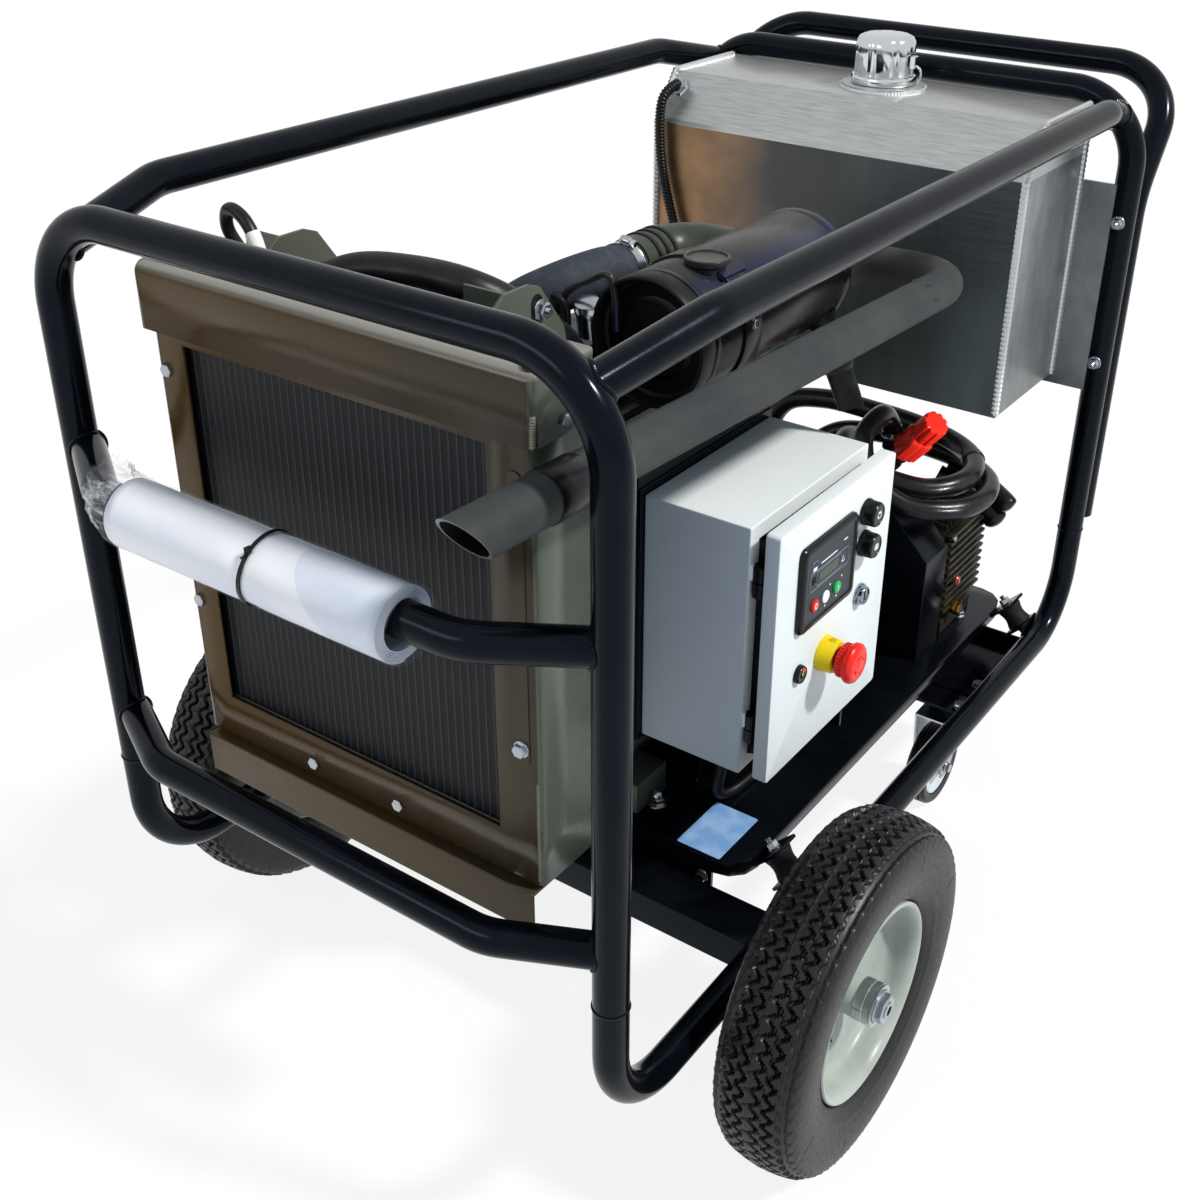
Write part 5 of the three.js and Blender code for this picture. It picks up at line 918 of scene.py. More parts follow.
def build_wheel(side, word):
    body = "wheel_" + word
    centre = np.array([side * WHEEL_X, WHEEL_Y, WHEEL_RADIUS])
    half_wall = np.array([(112.4, 31), (114, 36), (120, 40.5), (132, 45), (146, 48), (160, 48.9),
                          (172, 48), (181, 45.3), (187.5, 41.2), (191.4, 36), (194.2, 28), (196.1, 18),
                          (197.1, 9), (197.4, 0)])
    walls = np.concatenate([half_wall, half_wall[-2::-1] * (1, -1)])
    curve = smooth_path(walls, 520)
    gaps = lengths(curve)
    crown = np.abs(curve[:, 1]) < TREAD_HALF
    weight = np.concatenate([[0], np.cumsum(np.diff(gaps)
                                            * np.where((crown & (curve[:, 0] > 184))[1:], 2.4, 1.0))])
    even = np.interp(np.linspace(0, weight[-1], 124), weight, gaps)
    profile = places_at(even, gaps, curve)
    angles = np.linspace(0, math.tau, TEETH * 10, endpoint=False)
    grid = ring_grid(profile, centre, angles, tread_height)
    grid = np.concatenate([grid, grid[:1]])
    casing = patch(np.concatenate([grid, grid[:, :1]], axis=1), around=False, capped=False)
    hairs = []
    for k in range(HAIRS):
        angle, a = 2.399963 * k, ((k * 37) % HAIRS) - 35.0
        out = np.array([0, math.cos(angle), math.sin(angle)])
        if abs(a) < 30 or k % 2:
            root = centre + out * HAIR_ROOT + (a * 0.94, 0, 0)
            hairs.append(tube([root, root + out * HAIR_LENGTH], [0.45, 0.3], 5))
    made = piece("tyre_tread_" + word, [([casing] + hairs, TYRE)], body, crease=38)
    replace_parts(made, "tyre_" + word)

    lip = [(111.8, 34), (111.9, 37.6), (110.4, 39), (108, 38.6), (105.5, 36.4), (103, 33), (101.2, 28),
           (100.4, 20)]
    dish = [(100, 14), (97.5, 9), (93, 5.5), (86, 3.8), (74, 3.2), (60, 1.5), (44, -1.5), (34, -3),
            (27, -3.4), (24, -2.6), (23, -0.5)]
    tube_end = [(22.6, 43), (21.8, 44), (15, 44), (10.5, 43.4)]
    outer = lip + dish + [(22.8, 12), (22.8, 30)] + tube_end
    back = [(10.5, -40), (21.8, -40), (22.8, -39), (22.8, -8), (30, -6), (60, -1.6), (86, 0.8),
            (94, -1), (97, -6), (98, -20), (101, -29), (105.5, -36), (109, -38.6), (111.8, -37.4),
            (111.9, -33), (106, -28), (100, -18), (99.6, 0), (101, 22), (107, 31), (111.8, 34)]
    shape = np.array(outer + back)
    shape[:, 1] *= side
    rim = piece("rim_shell_" + word, [([turned(shape, centre, RIGHT, 120, capped=False)], RIM_PAINT)],
                body, crease=40)
    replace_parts(rim, "wheel_rim_" + word)
    stem_at = math.radians(190)
    foot = centre + np.array([side * 6, 72 * math.cos(stem_at), 72 * math.sin(stem_at)])
    lean = np.array([side * 0.75, 0.6 * math.cos(stem_at + math.pi), 0.6 * math.sin(stem_at + math.pi)])
    stem = lathe([(5.4, -7), (4.6, 0), (3.6, 3), (3.0, 11), (3.3, 12), (3.3, 18), (2.8, 19)], foot, lean, 24)
    piece("valve_stem_" + word, [([patch(stem)], TYRE)], body)

    hub_end = np.array([side * (WHEEL_X + 44.3), WHEEL_Y, WHEEL_RADIUS])
    out = (side, 0, 0)
    nut = [six_sided([(14.6, 2.4), (14.6, 8.4), (13.2, 9.8)], hub_end, out),
           turned([(9.6, 9.8), (9.6, 10.8), (9, 11.4), (5.6, 11.4), (5.2, 6), (0.5, 6)], hub_end, out, 36),
           turned([(18.4, 0.2), (18.8, 1.2), (18.4, 2.4), (10, 2.5)], hub_end, out, 48)]
    ring = [turned([(23.1, -22), (23.7, -21.4), (23.7, -11), (23.1, -10.4), (23.1, -9.4), (23.7, -8.8),
                    (23.7, -3), (22.8, -2.4), (22.8, -1.8), (23.6, -1.4), (23.6, 0.1), (23.1, 0.3),
                    (20, 0.3)], hub_end, out, 60)]
    return nut, ring


def build_wheels():
    fittings = []
    for side, word in SIDES:
        nut, ring = build_wheel(side, word)
        fittings += nut
        piece("hub_ring_" + word, [(ring, ZINC)], "wheel_" + word)
    rod = turned([(9.9, -445.6), (9.9, 445.6)], (0, WHEEL_Y, WHEEL_RADIUS), RIGHT, 32)
    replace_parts(piece("axle_rod", [([rod] + fittings, ZINC)]), "axle")


build_wheels()


# ---------------------------------------------------------------- casters
# Swivelling zinc-plated forks with ribbed rubber wheels on pale hubs, bolted under the
# rear beam.
CASTER_X, CASTER_Y, CASTER_RADIUS, CASTER_TRAIL = 240, 927, 60, 26


def build_casters():
    hub = Finish("caster_hub", "rim_silver", "#bcc6cc", 0.35, 0.2)
    hub.clouded((50, 3), (0.4, 0.7), "#b2bdc4", "#c9d1d5")
    hub.grain(300, 2, 0.0001, 0.5)
    for side, word in SIDES:
        x = side * CASTER_X
        softened("caster_fork_" + word, ZINC, 1.0, 2)
        centre = (x, CASTER_Y - CASTER_TRAIL, CASTER_RADIUS)
        ribs = [(45, -14.5), (52, -16.4), (56, -16.2), (58.6, -13.6), (59.6, -10.5), (59.7, -8.2),
                (57.8, -7.8), (57.8, -6.4), (59.8, -6), (59.9, -3), (57.9, -2.6), (57.9, -1.2),
                (59.9, -0.8)]
        tread = ribs + [(r, -a) for r, a in ribs[::-1]]
        disc = [(45, 12), (43.5, 13.6), (41, 13.8), (38, 11), (30, 9), (20, 9.5), (16, 14), (13, 17.6),
                (6, 17.6)]
        inner = [(r, -a) for r, a in disc[::-1]]
        tyre = turned(tread, centre, RIGHT, 72, capped=False)
        shell = turned(inner + disc, centre, RIGHT, 60, capped=False)
        wheel = piece("caster_tread_" + word, [([shell], hub), ([tyre], TYRE)], "caster_roller_" + word,
                      crease=35)
        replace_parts(wheel, "caster_wheel_" + word)
        ends = []
        for out in (1, -1):
            ends += bolt((x + out * 23.4, centre[1], centre[2]), (out, 0, 0), 12, 5, 1.2)
        piece("caster_bolt_" + word, [(ends, ZINC)], "caster_" + word)


build_casters()


# ---------------------------------------------------------------- radiator
# A folded steel hood in brown-grey paint round a finned core, with a separate cover over
# the top, its corners welded; under it a folded tray, and two stays back to the engine.
HOOD_LEFT, HOOD_RIGHT, HOOD_FRONT, HOOD_BACK = -220, 222, 27, 100
HOOD_BOTTOM, HOOD_TOP = 442, 936
CORE_HALF, CORE_BOTTOM, CORE_TOP = 177, 490, 870
COVER_LEFT, COVER_BOTTOM = -231, 876
NECK = (-150, 131, 893)
TUBE_PITCH = 0.0092


def machine_paint(name, slot, colour, warm_reflection, roughness=0.3, side=None):
    """Thin gloss paint on steel sheet with a faint orange peel and painted light in its colour: a painted
    brown reflection towards the lower left, painted grey-green light on the right side and a painted
    highlight along the top."""
    paint = Finish(name, slot, colour, roughness, 0.25)
    across = paint.place(0)
    # Painted brown reflection towards the left.
    lean = (across * -1.6 + paint.noise(3, 2) * 0.8).ramp(-0.1, 0.9)
    tone = paint.mix(lean, colour, warm_reflection)
    if side:
        # Painted light: a grey-green tint on the right side face.
        tone = paint.mix(across.over(0.2205), tone, side)
        # Painted highlight along the top.
        tone = paint.mix(paint.place(2).ramp(0.931, 0.9355), tone, "#85837d")
    paint.colour(tone)
    paint.worn(25, 4, 0.2, roughness - 0.1)
    return paint.grain(350, 2, 0.00007, 0.6)


# The second colours, #553f20 and #52554a, are painted brown reflections; #4b5249 is painted light on the
# hood's right side.
HOOD_PAINT = machine_paint("hood_paint", "radiator_paint", "#37342a", "#553f20", 0.26, "#4b5249")
ENGINE_PAINT = machine_paint("engine_paint", "engine_grey", "#4f564f", "#52554a", 0.4)


def folded(left, right, front, back, low, high, radius, top_radius, hole=None):
    """A hood from one sheet: its plan section runs down the left side, round a fold, along the
    front and round the other fold; near the top the front leans back on an arc. Grid cells
    inside the hole are left out."""
    turn = np.linspace(0, math.pi / 2, 7)
    left_fold = np.column_stack([left + radius - radius * np.cos(turn),
                                 front + radius - radius * np.sin(turn)])
    right_fold = np.column_stack([right - radius + radius * np.sin(turn),
                                  front + radius - radius * np.cos(turn)])
    section = [(left, back)] + [tuple(p) for p in left_fold]
    if hole:
        section += [(hole[0], front), (hole[1], front)]
    section = np.array(section + [tuple(p) for p in right_fold] + [(right, back)])
    arc = np.linspace(0, math.pi / 2, 9)
    lift = high - top_radius + top_radius * np.sin(arc)
    lean = top_radius - top_radius * np.cos(arc)
    heights = [low] + ([hole[2], hole[3]] if hole else [])
    levels = np.concatenate([heights, lift])
    leans = np.concatenate([np.zeros(len(heights)), lean])
    depth = np.clip((back - section[:, 1]) / (back - front), 0, 1)
    grid = np.empty((len(levels), len(section), 3))
    grid[..., 0] = section[:, 0]
    grid[..., 1] = section[:, 1] + depth * leans[:, None]
    grid[..., 2] = levels[:, None]
    lid = np.stack([grid[-1, 1:-1], grid[-1, 1:-1] * (1, 0, 1) + (0, back, 0)])
    points, quads = patch(grid, around=False, capped=False)
    if hole:
        x, y, z = points[quads].mean(axis=1).T
        inside = (x > hole[0]) & (x < hole[1]) & (z > hole[2]) & (z < hole[3])
        quads = quads[~(inside & (y < front + 1))]
    return [(points, quads), patch(lid, around=False, capped=False)]


def build_hood():
    hole = (-CORE_HALF, CORE_HALF, CORE_BOTTOM, CORE_TOP)
    body = folded(HOOD_LEFT + 6, HOOD_RIGHT, HOOD_FRONT, HOOD_BACK, HOOD_BOTTOM, HOOD_TOP - 2, 7, 5, hole)
    hood = piece("hood_body", [(body, HOOD_PAINT)], crease=28)
    thicken(hood, -2.5)
    cover = folded(COVER_LEFT, HOOD_RIGHT + 2, HOOD_FRONT - 1.5, HOOD_BACK, COVER_BOTTOM, HOOD_TOP, 7, 9)
    top = piece("hood_cover", [(cover, HOOD_PAINT)], crease=28)
    thicken(top, -2)
    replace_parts(hood, "radiator_shroud")

    f = HOOD_FRONT
    inner, below, above = CORE_HALF, CORE_BOTTOM - 16, CORE_TOP + 5
    strips = [brick((x0, f - 1.2, z0), (x1, f, z1)) for x0, x1, z0, z1 in
              ((-inner - 13, -inner, below, above), (inner, inner + 12, below, above),
               (-inner, inner, below, CORE_BOTTOM), (-inner, inner, CORE_TOP, above))]
    strips.append(brick((181, f - 2.4, HOOD_BOTTOM), (HOOD_RIGHT - 8, f, 548)))
    tongue = np.linspace(0, math.pi, 13)
    top_end = np.column_stack([206 + 8 * np.cos(tongue), 846 + 8 * np.sin(tongue)])
    bottom_end = np.column_stack([206 - 8 * np.cos(tongue), 580 - 8 * np.sin(tongue)])
    strips.append(slab(np.concatenate([top_end, bottom_end]), 1, f - 4, f))
    piece("core_frame", [(strips, HOOD_PAINT)], bevel=0.5)
    # The near-black bricks and discs below are painted shade in the slots, holes and gap beside the tongue.
    dark = Finish("painted_slot_shade", "core_black", "#050506", 0.8).grain(200, 3, 0.0001, 0.5)
    gaps = [brick((190.5, f - 0.9, 556), (195.5, f + 1, 862)),
            brick((70.2, f - 1.6, 452), (72.4, f, 465)),
            turned([(4.2, 0), (4.2, 0.5), (0.1, 0.5)], (220, HOOD_FRONT - 0.5, 922), (0.35, -1, 0.1), 24)]
    for k in range(5):
        gaps.append(turned([(1.3, 0), (0.1, 0.2)], (-CORE_HALF - 4 + 84 * k, f - 1.7, CORE_TOP + 2.4),
                           FORWARD, 12))
    for z in (840, 756, 672, 588, 504):
        for x in (-CORE_HALF - 9, CORE_HALF + 8):
            gaps.append(turned([(1.3, 1.2), (0.1, 1.4)], (x, f, z), FORWARD, 12))
    piece("hood_slot_shade", [(gaps, dark)])

    heads = []
    for x, z in ((-201.5, 841), (-203, 597), (-61.7, 458), (50.7, 457.6), (206, 590)):
        heads += bolt((x, f - (4 if x > 200 else 0.1), z), FORWARD, 12, 5, 1.4)
    heads += bolt((HOOD_RIGHT + 2, 62, 889), RIGHT, 14, 6, 1.8)
    piece("hood_bolts", [(heads, ZINC)])

    seams = [bead([(HOOD_RIGHT + 1, f - 0.5, 877), (HOOD_RIGHT + 1.4, f, 904)], 2.6),
             bead([(HOOD_RIGHT - 3, f + 0.6, 447), (HOOD_RIGHT - 3, f + 0.6, 556)], 2.2),
             bead([(HOOD_RIGHT - 12, f - 0.4, 445), (HOOD_RIGHT - 30, f - 1.8, 445)], 1.6)]
    seam_look = Finish("weld_seam", "radiator_paint", "#77746a", 0.3, 0.5).grain(400, 3, 0.0002, 0.6)
    piece("hood_welds", [(seams, seam_look)])

    chalk = Finish("blue_marks", "radiator_paint", "#2c4f86", 0.6)
    chalk.clouded((500, 3), (0.3, 0.6), "#1f3b69", "#3d639c")
    chalk.grain(800, 2, 0.0001, 0.5)
    strokes = []
    for (x0, z0), (x1, z1) in (((-209, 562), (-198, 547)), ((-121, 467), (-99, 450))):
        along = np.array([x1 - x0, z1 - z0]) / math.hypot(x1 - x0, z1 - z0)
        wide = np.array([-along[1], along[0]]) * 2.2
        ends = [np.array([x0, z0]) - wide, np.array([x0, z0]) + wide, np.array([x1, z1]) + wide * 0.5,
                np.array([x1, z1]) - wide * 0.5]
        strokes.append(slab(ends, 1, f - 0.35 - (1.2 if z1 > 400 and x1 > -150 else 0), f - 0.1))
    piece("check_marks", [(strokes, chalk)])


def build_core():
    fins = Finish("core_fins", "core_black", "#08090c", 0.6)
    x, z = fins.place(0), fins.place(2)
    tubes = x.wave(1 / TUBE_PITCH)
    louvre = (z + x * 0.8).wave(1 / 0.0034) * x.wave(1 / 0.0036)
    speck = fins.noise(1500, 2)
    lit = tubes.ramp(0.94, 0.985) * (z.wave(1 / 0.004) * 0.6 + 0.4)
    fins.colour(fins.mix(lit * 0.5 + louvre * speck * 0.2, "#04060b", "#565a5e"))
    fins.rough(louvre * 0.2 + 0.45)
    fins.bump(louvre * 0.6 + tubes.ramp(0.9, 1.0), 0.0005, 0.5)
    f = HOOD_FRONT
    u = np.linspace(-CORE_HALF - 4, CORE_HALF + 4, 241)
    ripple = 0.4 * np.abs(np.sin(math.pi * u / (TUBE_PITCH * 1000) + math.pi / 4)) ** 6
    front = np.stack([np.column_stack([u, f + 6 - ripple, np.full_like(u, level)])
                      for level in (CORE_BOTTOM - 4, CORE_TOP + 4)])
    block = brick((-CORE_HALF - 9, f + 7, CORE_BOTTOM - 4), (CORE_HALF + 9, f + 46, CORE_TOP + 4))
    core = piece("finned_core", [([block, patch(front, around=False, capped=False)], fins)])
    left, right, back = HOOD_LEFT + 10, HOOD_RIGHT - 4, f + 61
    tanks = [brick((left, f + 5, CORE_TOP + 2), (right, back, HOOD_TOP - 14)),
             brick((left, f + 5, HOOD_BOTTOM - 5), (right, back, CORE_BOTTOM - 2))]
    neck = lathe([(16, -46), (16, -4), (17.2, -3), (17.2, -1), (16, -0.3)], NECK, REARWARD, 36)
    piece("radiator_tanks", [(tanks + [patch(neck)], ENGINE_PAINT)], bevel=3, steps=3)
    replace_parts(core, "radiator_core")
    cap = NECK[0] + 62, f + 36, HOOD_TOP - 14
    filler = [turned([(18, -8), (18, -1), (21, 0), (21, 4), (19, 6), (8, 7)], cap, UP, 36)]
    piece("radiator_cap", [(filler, ZINC)])


def hose_clip(centre, direction, radius, turn=0.0, width=11.0):
    """A worm-drive clip: a band with rolled edges and the screw's housing beside it."""
    direction = unit(direction)
    side = unit(np.cross(direction, UP) if abs(direction[2]) < 0.9 else RIGHT)
    up = np.cross(side, direction)
    out = math.cos(turn) * side + math.sin(turn) * up
    across = np.cross(direction, out)
    centre = np.array(centre, float)
    half = width / 2
    band = lathe([(radius - 1, -half), (radius + 0.9, -half), (radius + 0.5, 1 - half),
                  (radius + 0.5, half - 1), (radius + 0.9, half), (radius - 1, half)], centre,
                 direction, 60)
    seat = centre + out * (radius + 3.4)
    house = lathe([(4.2, -6), (4.8, -5), (4.8, 5), (4.2, 6)], seat, across, 20)
    screw = lathe([(3.4, 6), (3.6, 10), (2.9, 11.5)], seat, across, 36, hexagon)
    return [patch(band), patch(house), patch(screw)]


def hose_black(name="hose_black", roughness=0.34):
    """Smooth black hose rubber with a moulded sheen, fine wrinkles along it and dust."""
    made = Finish(name, "hose_rubber", "#0f1013", roughness)
    made.clouded((40, 4, 0.6), (0.45, 0.8), "#0c0d10", "#1c1d20")
    made.worn(120, 3, 0.25, roughness - 0.08)
    return made.grain(500, 3, 0.00015, 0.5)


HOSE_BLACK = hose_black()


def build_radiator_fittings():
    route = [NECK, (-150, 149, 893), (-112, 184, 910), (-60, 200, 914), (0, 208, 912), (32, 240, 888),
             (40, 300, 838), (40, 314, 810), (40, 314, 788.3)]
    hose = piece("top_hose", [([tube(smooth_path(route, 90), 18, 32)], HOSE_BLACK)])
    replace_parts(hose, "radiator_hose")
    clips = hose_clip((-150, 142, 893), REARWARD, 18.2, 1.2) + hose_clip((40, 314, 800), UP, 18.2, 0.4)
    piece("top_hose_clips", [(clips, ZINC)])
    softened("radiator_tray", HOOD_PAINT, 2.2, 3)
    bolts = []
    for side, x in (("right", 71), ("left", -209)):
        softened("radiator_stay_" + side, ENGINE_PAINT, 0.9)
        bolts += stud_nut((x + 4, 278, 770), RIGHT, 13, 7, 4)
    bolts += stud_nut((75.6, 224, 901), RIGHT, 14, 7, 4)
    piece("stay_bolts", [(bolts, ZINC)])

    slot = turned([(11, 0), (11, 0.5)], (75, 220, 903), RIGHT, 40, lambda a: 1 + 0.25 * np.cos(2 * a))
    piece("stay_slot", [([slot], HOSE_BLACK)])
    loop_route = [(-143, 96, 893), (-149, 104, 914), (-158, 108, 944), (-172, 110, 964), (-190, 112, 972),
                  (-203, 115, 966), (-208, 119, 948), (-200, 126, 926), (-186, 132, 900), (-176, 136, 860),
                  (-180, 140, 800), (-192, 140, 720), (-200, 136, 640), (-204, 128, 560)]
    piece("overflow_hose", [([tube(smooth_path(loop_route, 120), 6.2, 20)], HOSE_BLACK)])
    sleeve_look = Finish("pale_sleeve", "paper", "#d9dad3", 0.45).grain(400, 2, 0.0001, 0.5)
    sleeve = tube(smooth_path(loop_route, 120)[14:24], 7.0, 20)
    piece("overflow_sleeve", [([sleeve], sleeve_look)])
    stop = [turned([(10, -3), (10, 4), (8.5, 6.5), (4, 7.5)], (216, 40, 936), (0.2, 0, 1), 30)]
    piece("corner_buffer", [(stop, HOSE_BLACK)])


build_hood()
build_core()
build_radiator_fittings()


# ---------------------------------------------------------------- engine
# A cast iron block in grey-green paint under a satin black head and rocker cover, with
# filter, injection pump, injector pipes and a moulded fan. It stands on the tray.
ENGINE_X, CRANK_Z, FAN_Z = -28, 400, 640
BLOCK_LEFT, HEAD_TOP, COVER_TOP = -133, 748, 800


def moulding(name, slot, colour, roughness=0.35, dusty="#17181a"):
    """Moulded plastic or satin paint: an even colour, fine grain, a little dust."""
    made = Finish(name, slot, colour, roughness)
    made.clouded((26, 4, 0.6), (0.5, 0.9), colour, dusty)
    made.worn(90, 3, 0.2, roughness - 0.1)
    return made.grain(600, 2, 0.00006, 0.5)


def satin_painted_reflection():
    """Satin black with painted light: a painted brown-grey reflection on top, a painted deep blue reflection
    below it and painted shade, near black, underneath.
    """
    made = Finish("satin_black_painted_reflection", "satin_black", "#0c1222", 0.28)
    height = made.place(2) - made.place(0) * 0.45
    upper = made.mix(height.ramp(0.826, 0.85), "#0b1732", "#2a2826")
    made.colour(made.mix(height.ramp(0.772, 0.80), "#0a0909", upper))
    made.worn(40, 3, 0.14, 0.2)
    return made.grain(600, 2, 0.00004, 0.5)


SATIN = satin_painted_reflection()
MOULDED = moulding("moulded_black", "black_plastic", "#0d0e10", 0.4)


def build_engine():
    softened("engine_block", ENGINE_PAINT, 1.6)
    softened("cylinder_head", SATIN, 1.6)
    softened("cooling_fan", MOULDED, 0.8)
    filter_can = lathe([(24, 0), (34, 3), (37, 8), (37, 78), (35, 85), (20, 90)], (BLOCK_LEFT, 352, 430),
                       (-1, 0, -0.15), 48)
    piece("oil_filter", [([patch(filter_can)], SATIN)])
    grip = lathe([(21, 0), (22, 2), (22, 9), (19, 12), (10, 13)], (ENGINE_X, 512, COVER_TOP + 3), UP, 64,
                 lambda a: 1 - 0.06 * (np.cos(8 * a) > 0.5))
    piece("oil_cap", [([patch(grip)], MOULDED)])
    steel = [turned([(12, -34), (27, -32), (24, -25), (27, -18), (12, -16)], (-162, 262, 570), REARWARD, 40)]
    dip = [(BLOCK_LEFT - 6, 470, 500), (BLOCK_LEFT - 16, 474, 600), (BLOCK_LEFT - 18, 476, 700)]
    steel.append(tube(smooth_path(dip, 20), 4, 12))
    for y in (300, 396, 492):
        steel.append(turned([(9, 0), (9, 14), (7, 16), (7, 34), (4, 38)], (-112, y, HEAD_TOP),
                            (-0.2, 0, 1), 24))
        pipe = [(-119, y, 786), (-128, y + 6, 800), (-146, 400 + (y - 396) * 0.3, 760),
                (-148, 400 + (y - 396) * 0.3, 676)]
        steel.append(tube(smooth_path(pipe, 30), 2.6, 10))
    for y in (330, 440, 540):
        steel += bolt((ENGINE_X - 3, y, COVER_TOP), UP, 12, 7)
    piece("engine_fittings", [(steel, ZINC)])
    injection = [brick((-172, 356, 590), (-131, 444, 676)),
                 turned([(14, 0), (17, 4), (17, 20), (12, 24)], (-152, 356, 630), FORWARD, 32)]
    piece("injection_pump", [(injection, ENGINE_PAINT)], bevel=3, steps=3)
    loop = piece_belt([(ENGINE_X, CRANK_Z, 58), (-162, 570, 25), (ENGINE_X, FAN_Z, 36)], 234)
    piece("fan_belt", [(loop, TYRE)])
    for k, (z, r) in enumerate(((CRANK_Z, 57), (FAN_Z, 35))):
        rim = lathe([(r * 0.4, -7), (r + 3, -6), (r - 4, 0), (r + 3, 6), (r * 0.4, 7)],
                    (ENGINE_X, 234, z), REARWARD, 60)
        piece(f"belt_wheel_{k}", [([patch(rim)], SATIN)])


def piece_belt(wheels, y, width=9.0, thick=5.0):
    """A belt round three wheels (x, z, radius): the hull of their circles, as a closed band."""
    angle = np.linspace(0, math.tau, 96, endpoint=False)
    round_all = np.concatenate([np.column_stack([x + r * np.cos(angle), z + r * np.sin(angle)]) for x,
                                z, r in wheels])
    middle = round_all.mean(0)
    facing = np.column_stack([np.cos(angle), np.sin(angle)])
    support = round_all[np.argmax(round_all @ facing.T, axis=0)]
    tour = support[np.argsort(np.arctan2(*(support - middle).T[::-1]))]
    outward = (tour - middle) / np.linalg.norm(tour - middle, axis=1, keepdims=True)
    corners = [(-width / 2, 0), (width / 2, 0), (width / 2, thick), (-width / 2, thick)]
    grid = np.stack([np.column_stack([tour[:, 0] + outward[:, 0] * lift, np.full(len(tour), y + side),
                                      tour[:, 1] + outward[:, 1] * lift]) for side, lift in corners], axis=0)
    return [patch(np.concatenate([grid, grid[:1]]), capped=False)]


build_engine()


# ---------------------------------------------------------------- air cleaner
# A spun steel can in satin black with a dished plastic end cover, a strap, a port, an elbow
# to the intake hose and a rubber dust valve. The strap and a foot hold it over the head.
CLEANER_X, CLEANER_Z, CLEANER_RADIUS = 120, 847, 66
CLEANER_FRONT, CLEANER_REAR = 328, 634
INTAKE_HOSE_X, INTAKE_HOSE_Z = 27, 881


def out_of_can(degrees):
    """The direction out of the can at this angle, and the one round it."""
    angle = math.radians(degrees)
    return np.array([math.cos(angle), 0, math.sin(angle)]), np.array([-math.sin(angle), 0, math.cos(angle)])


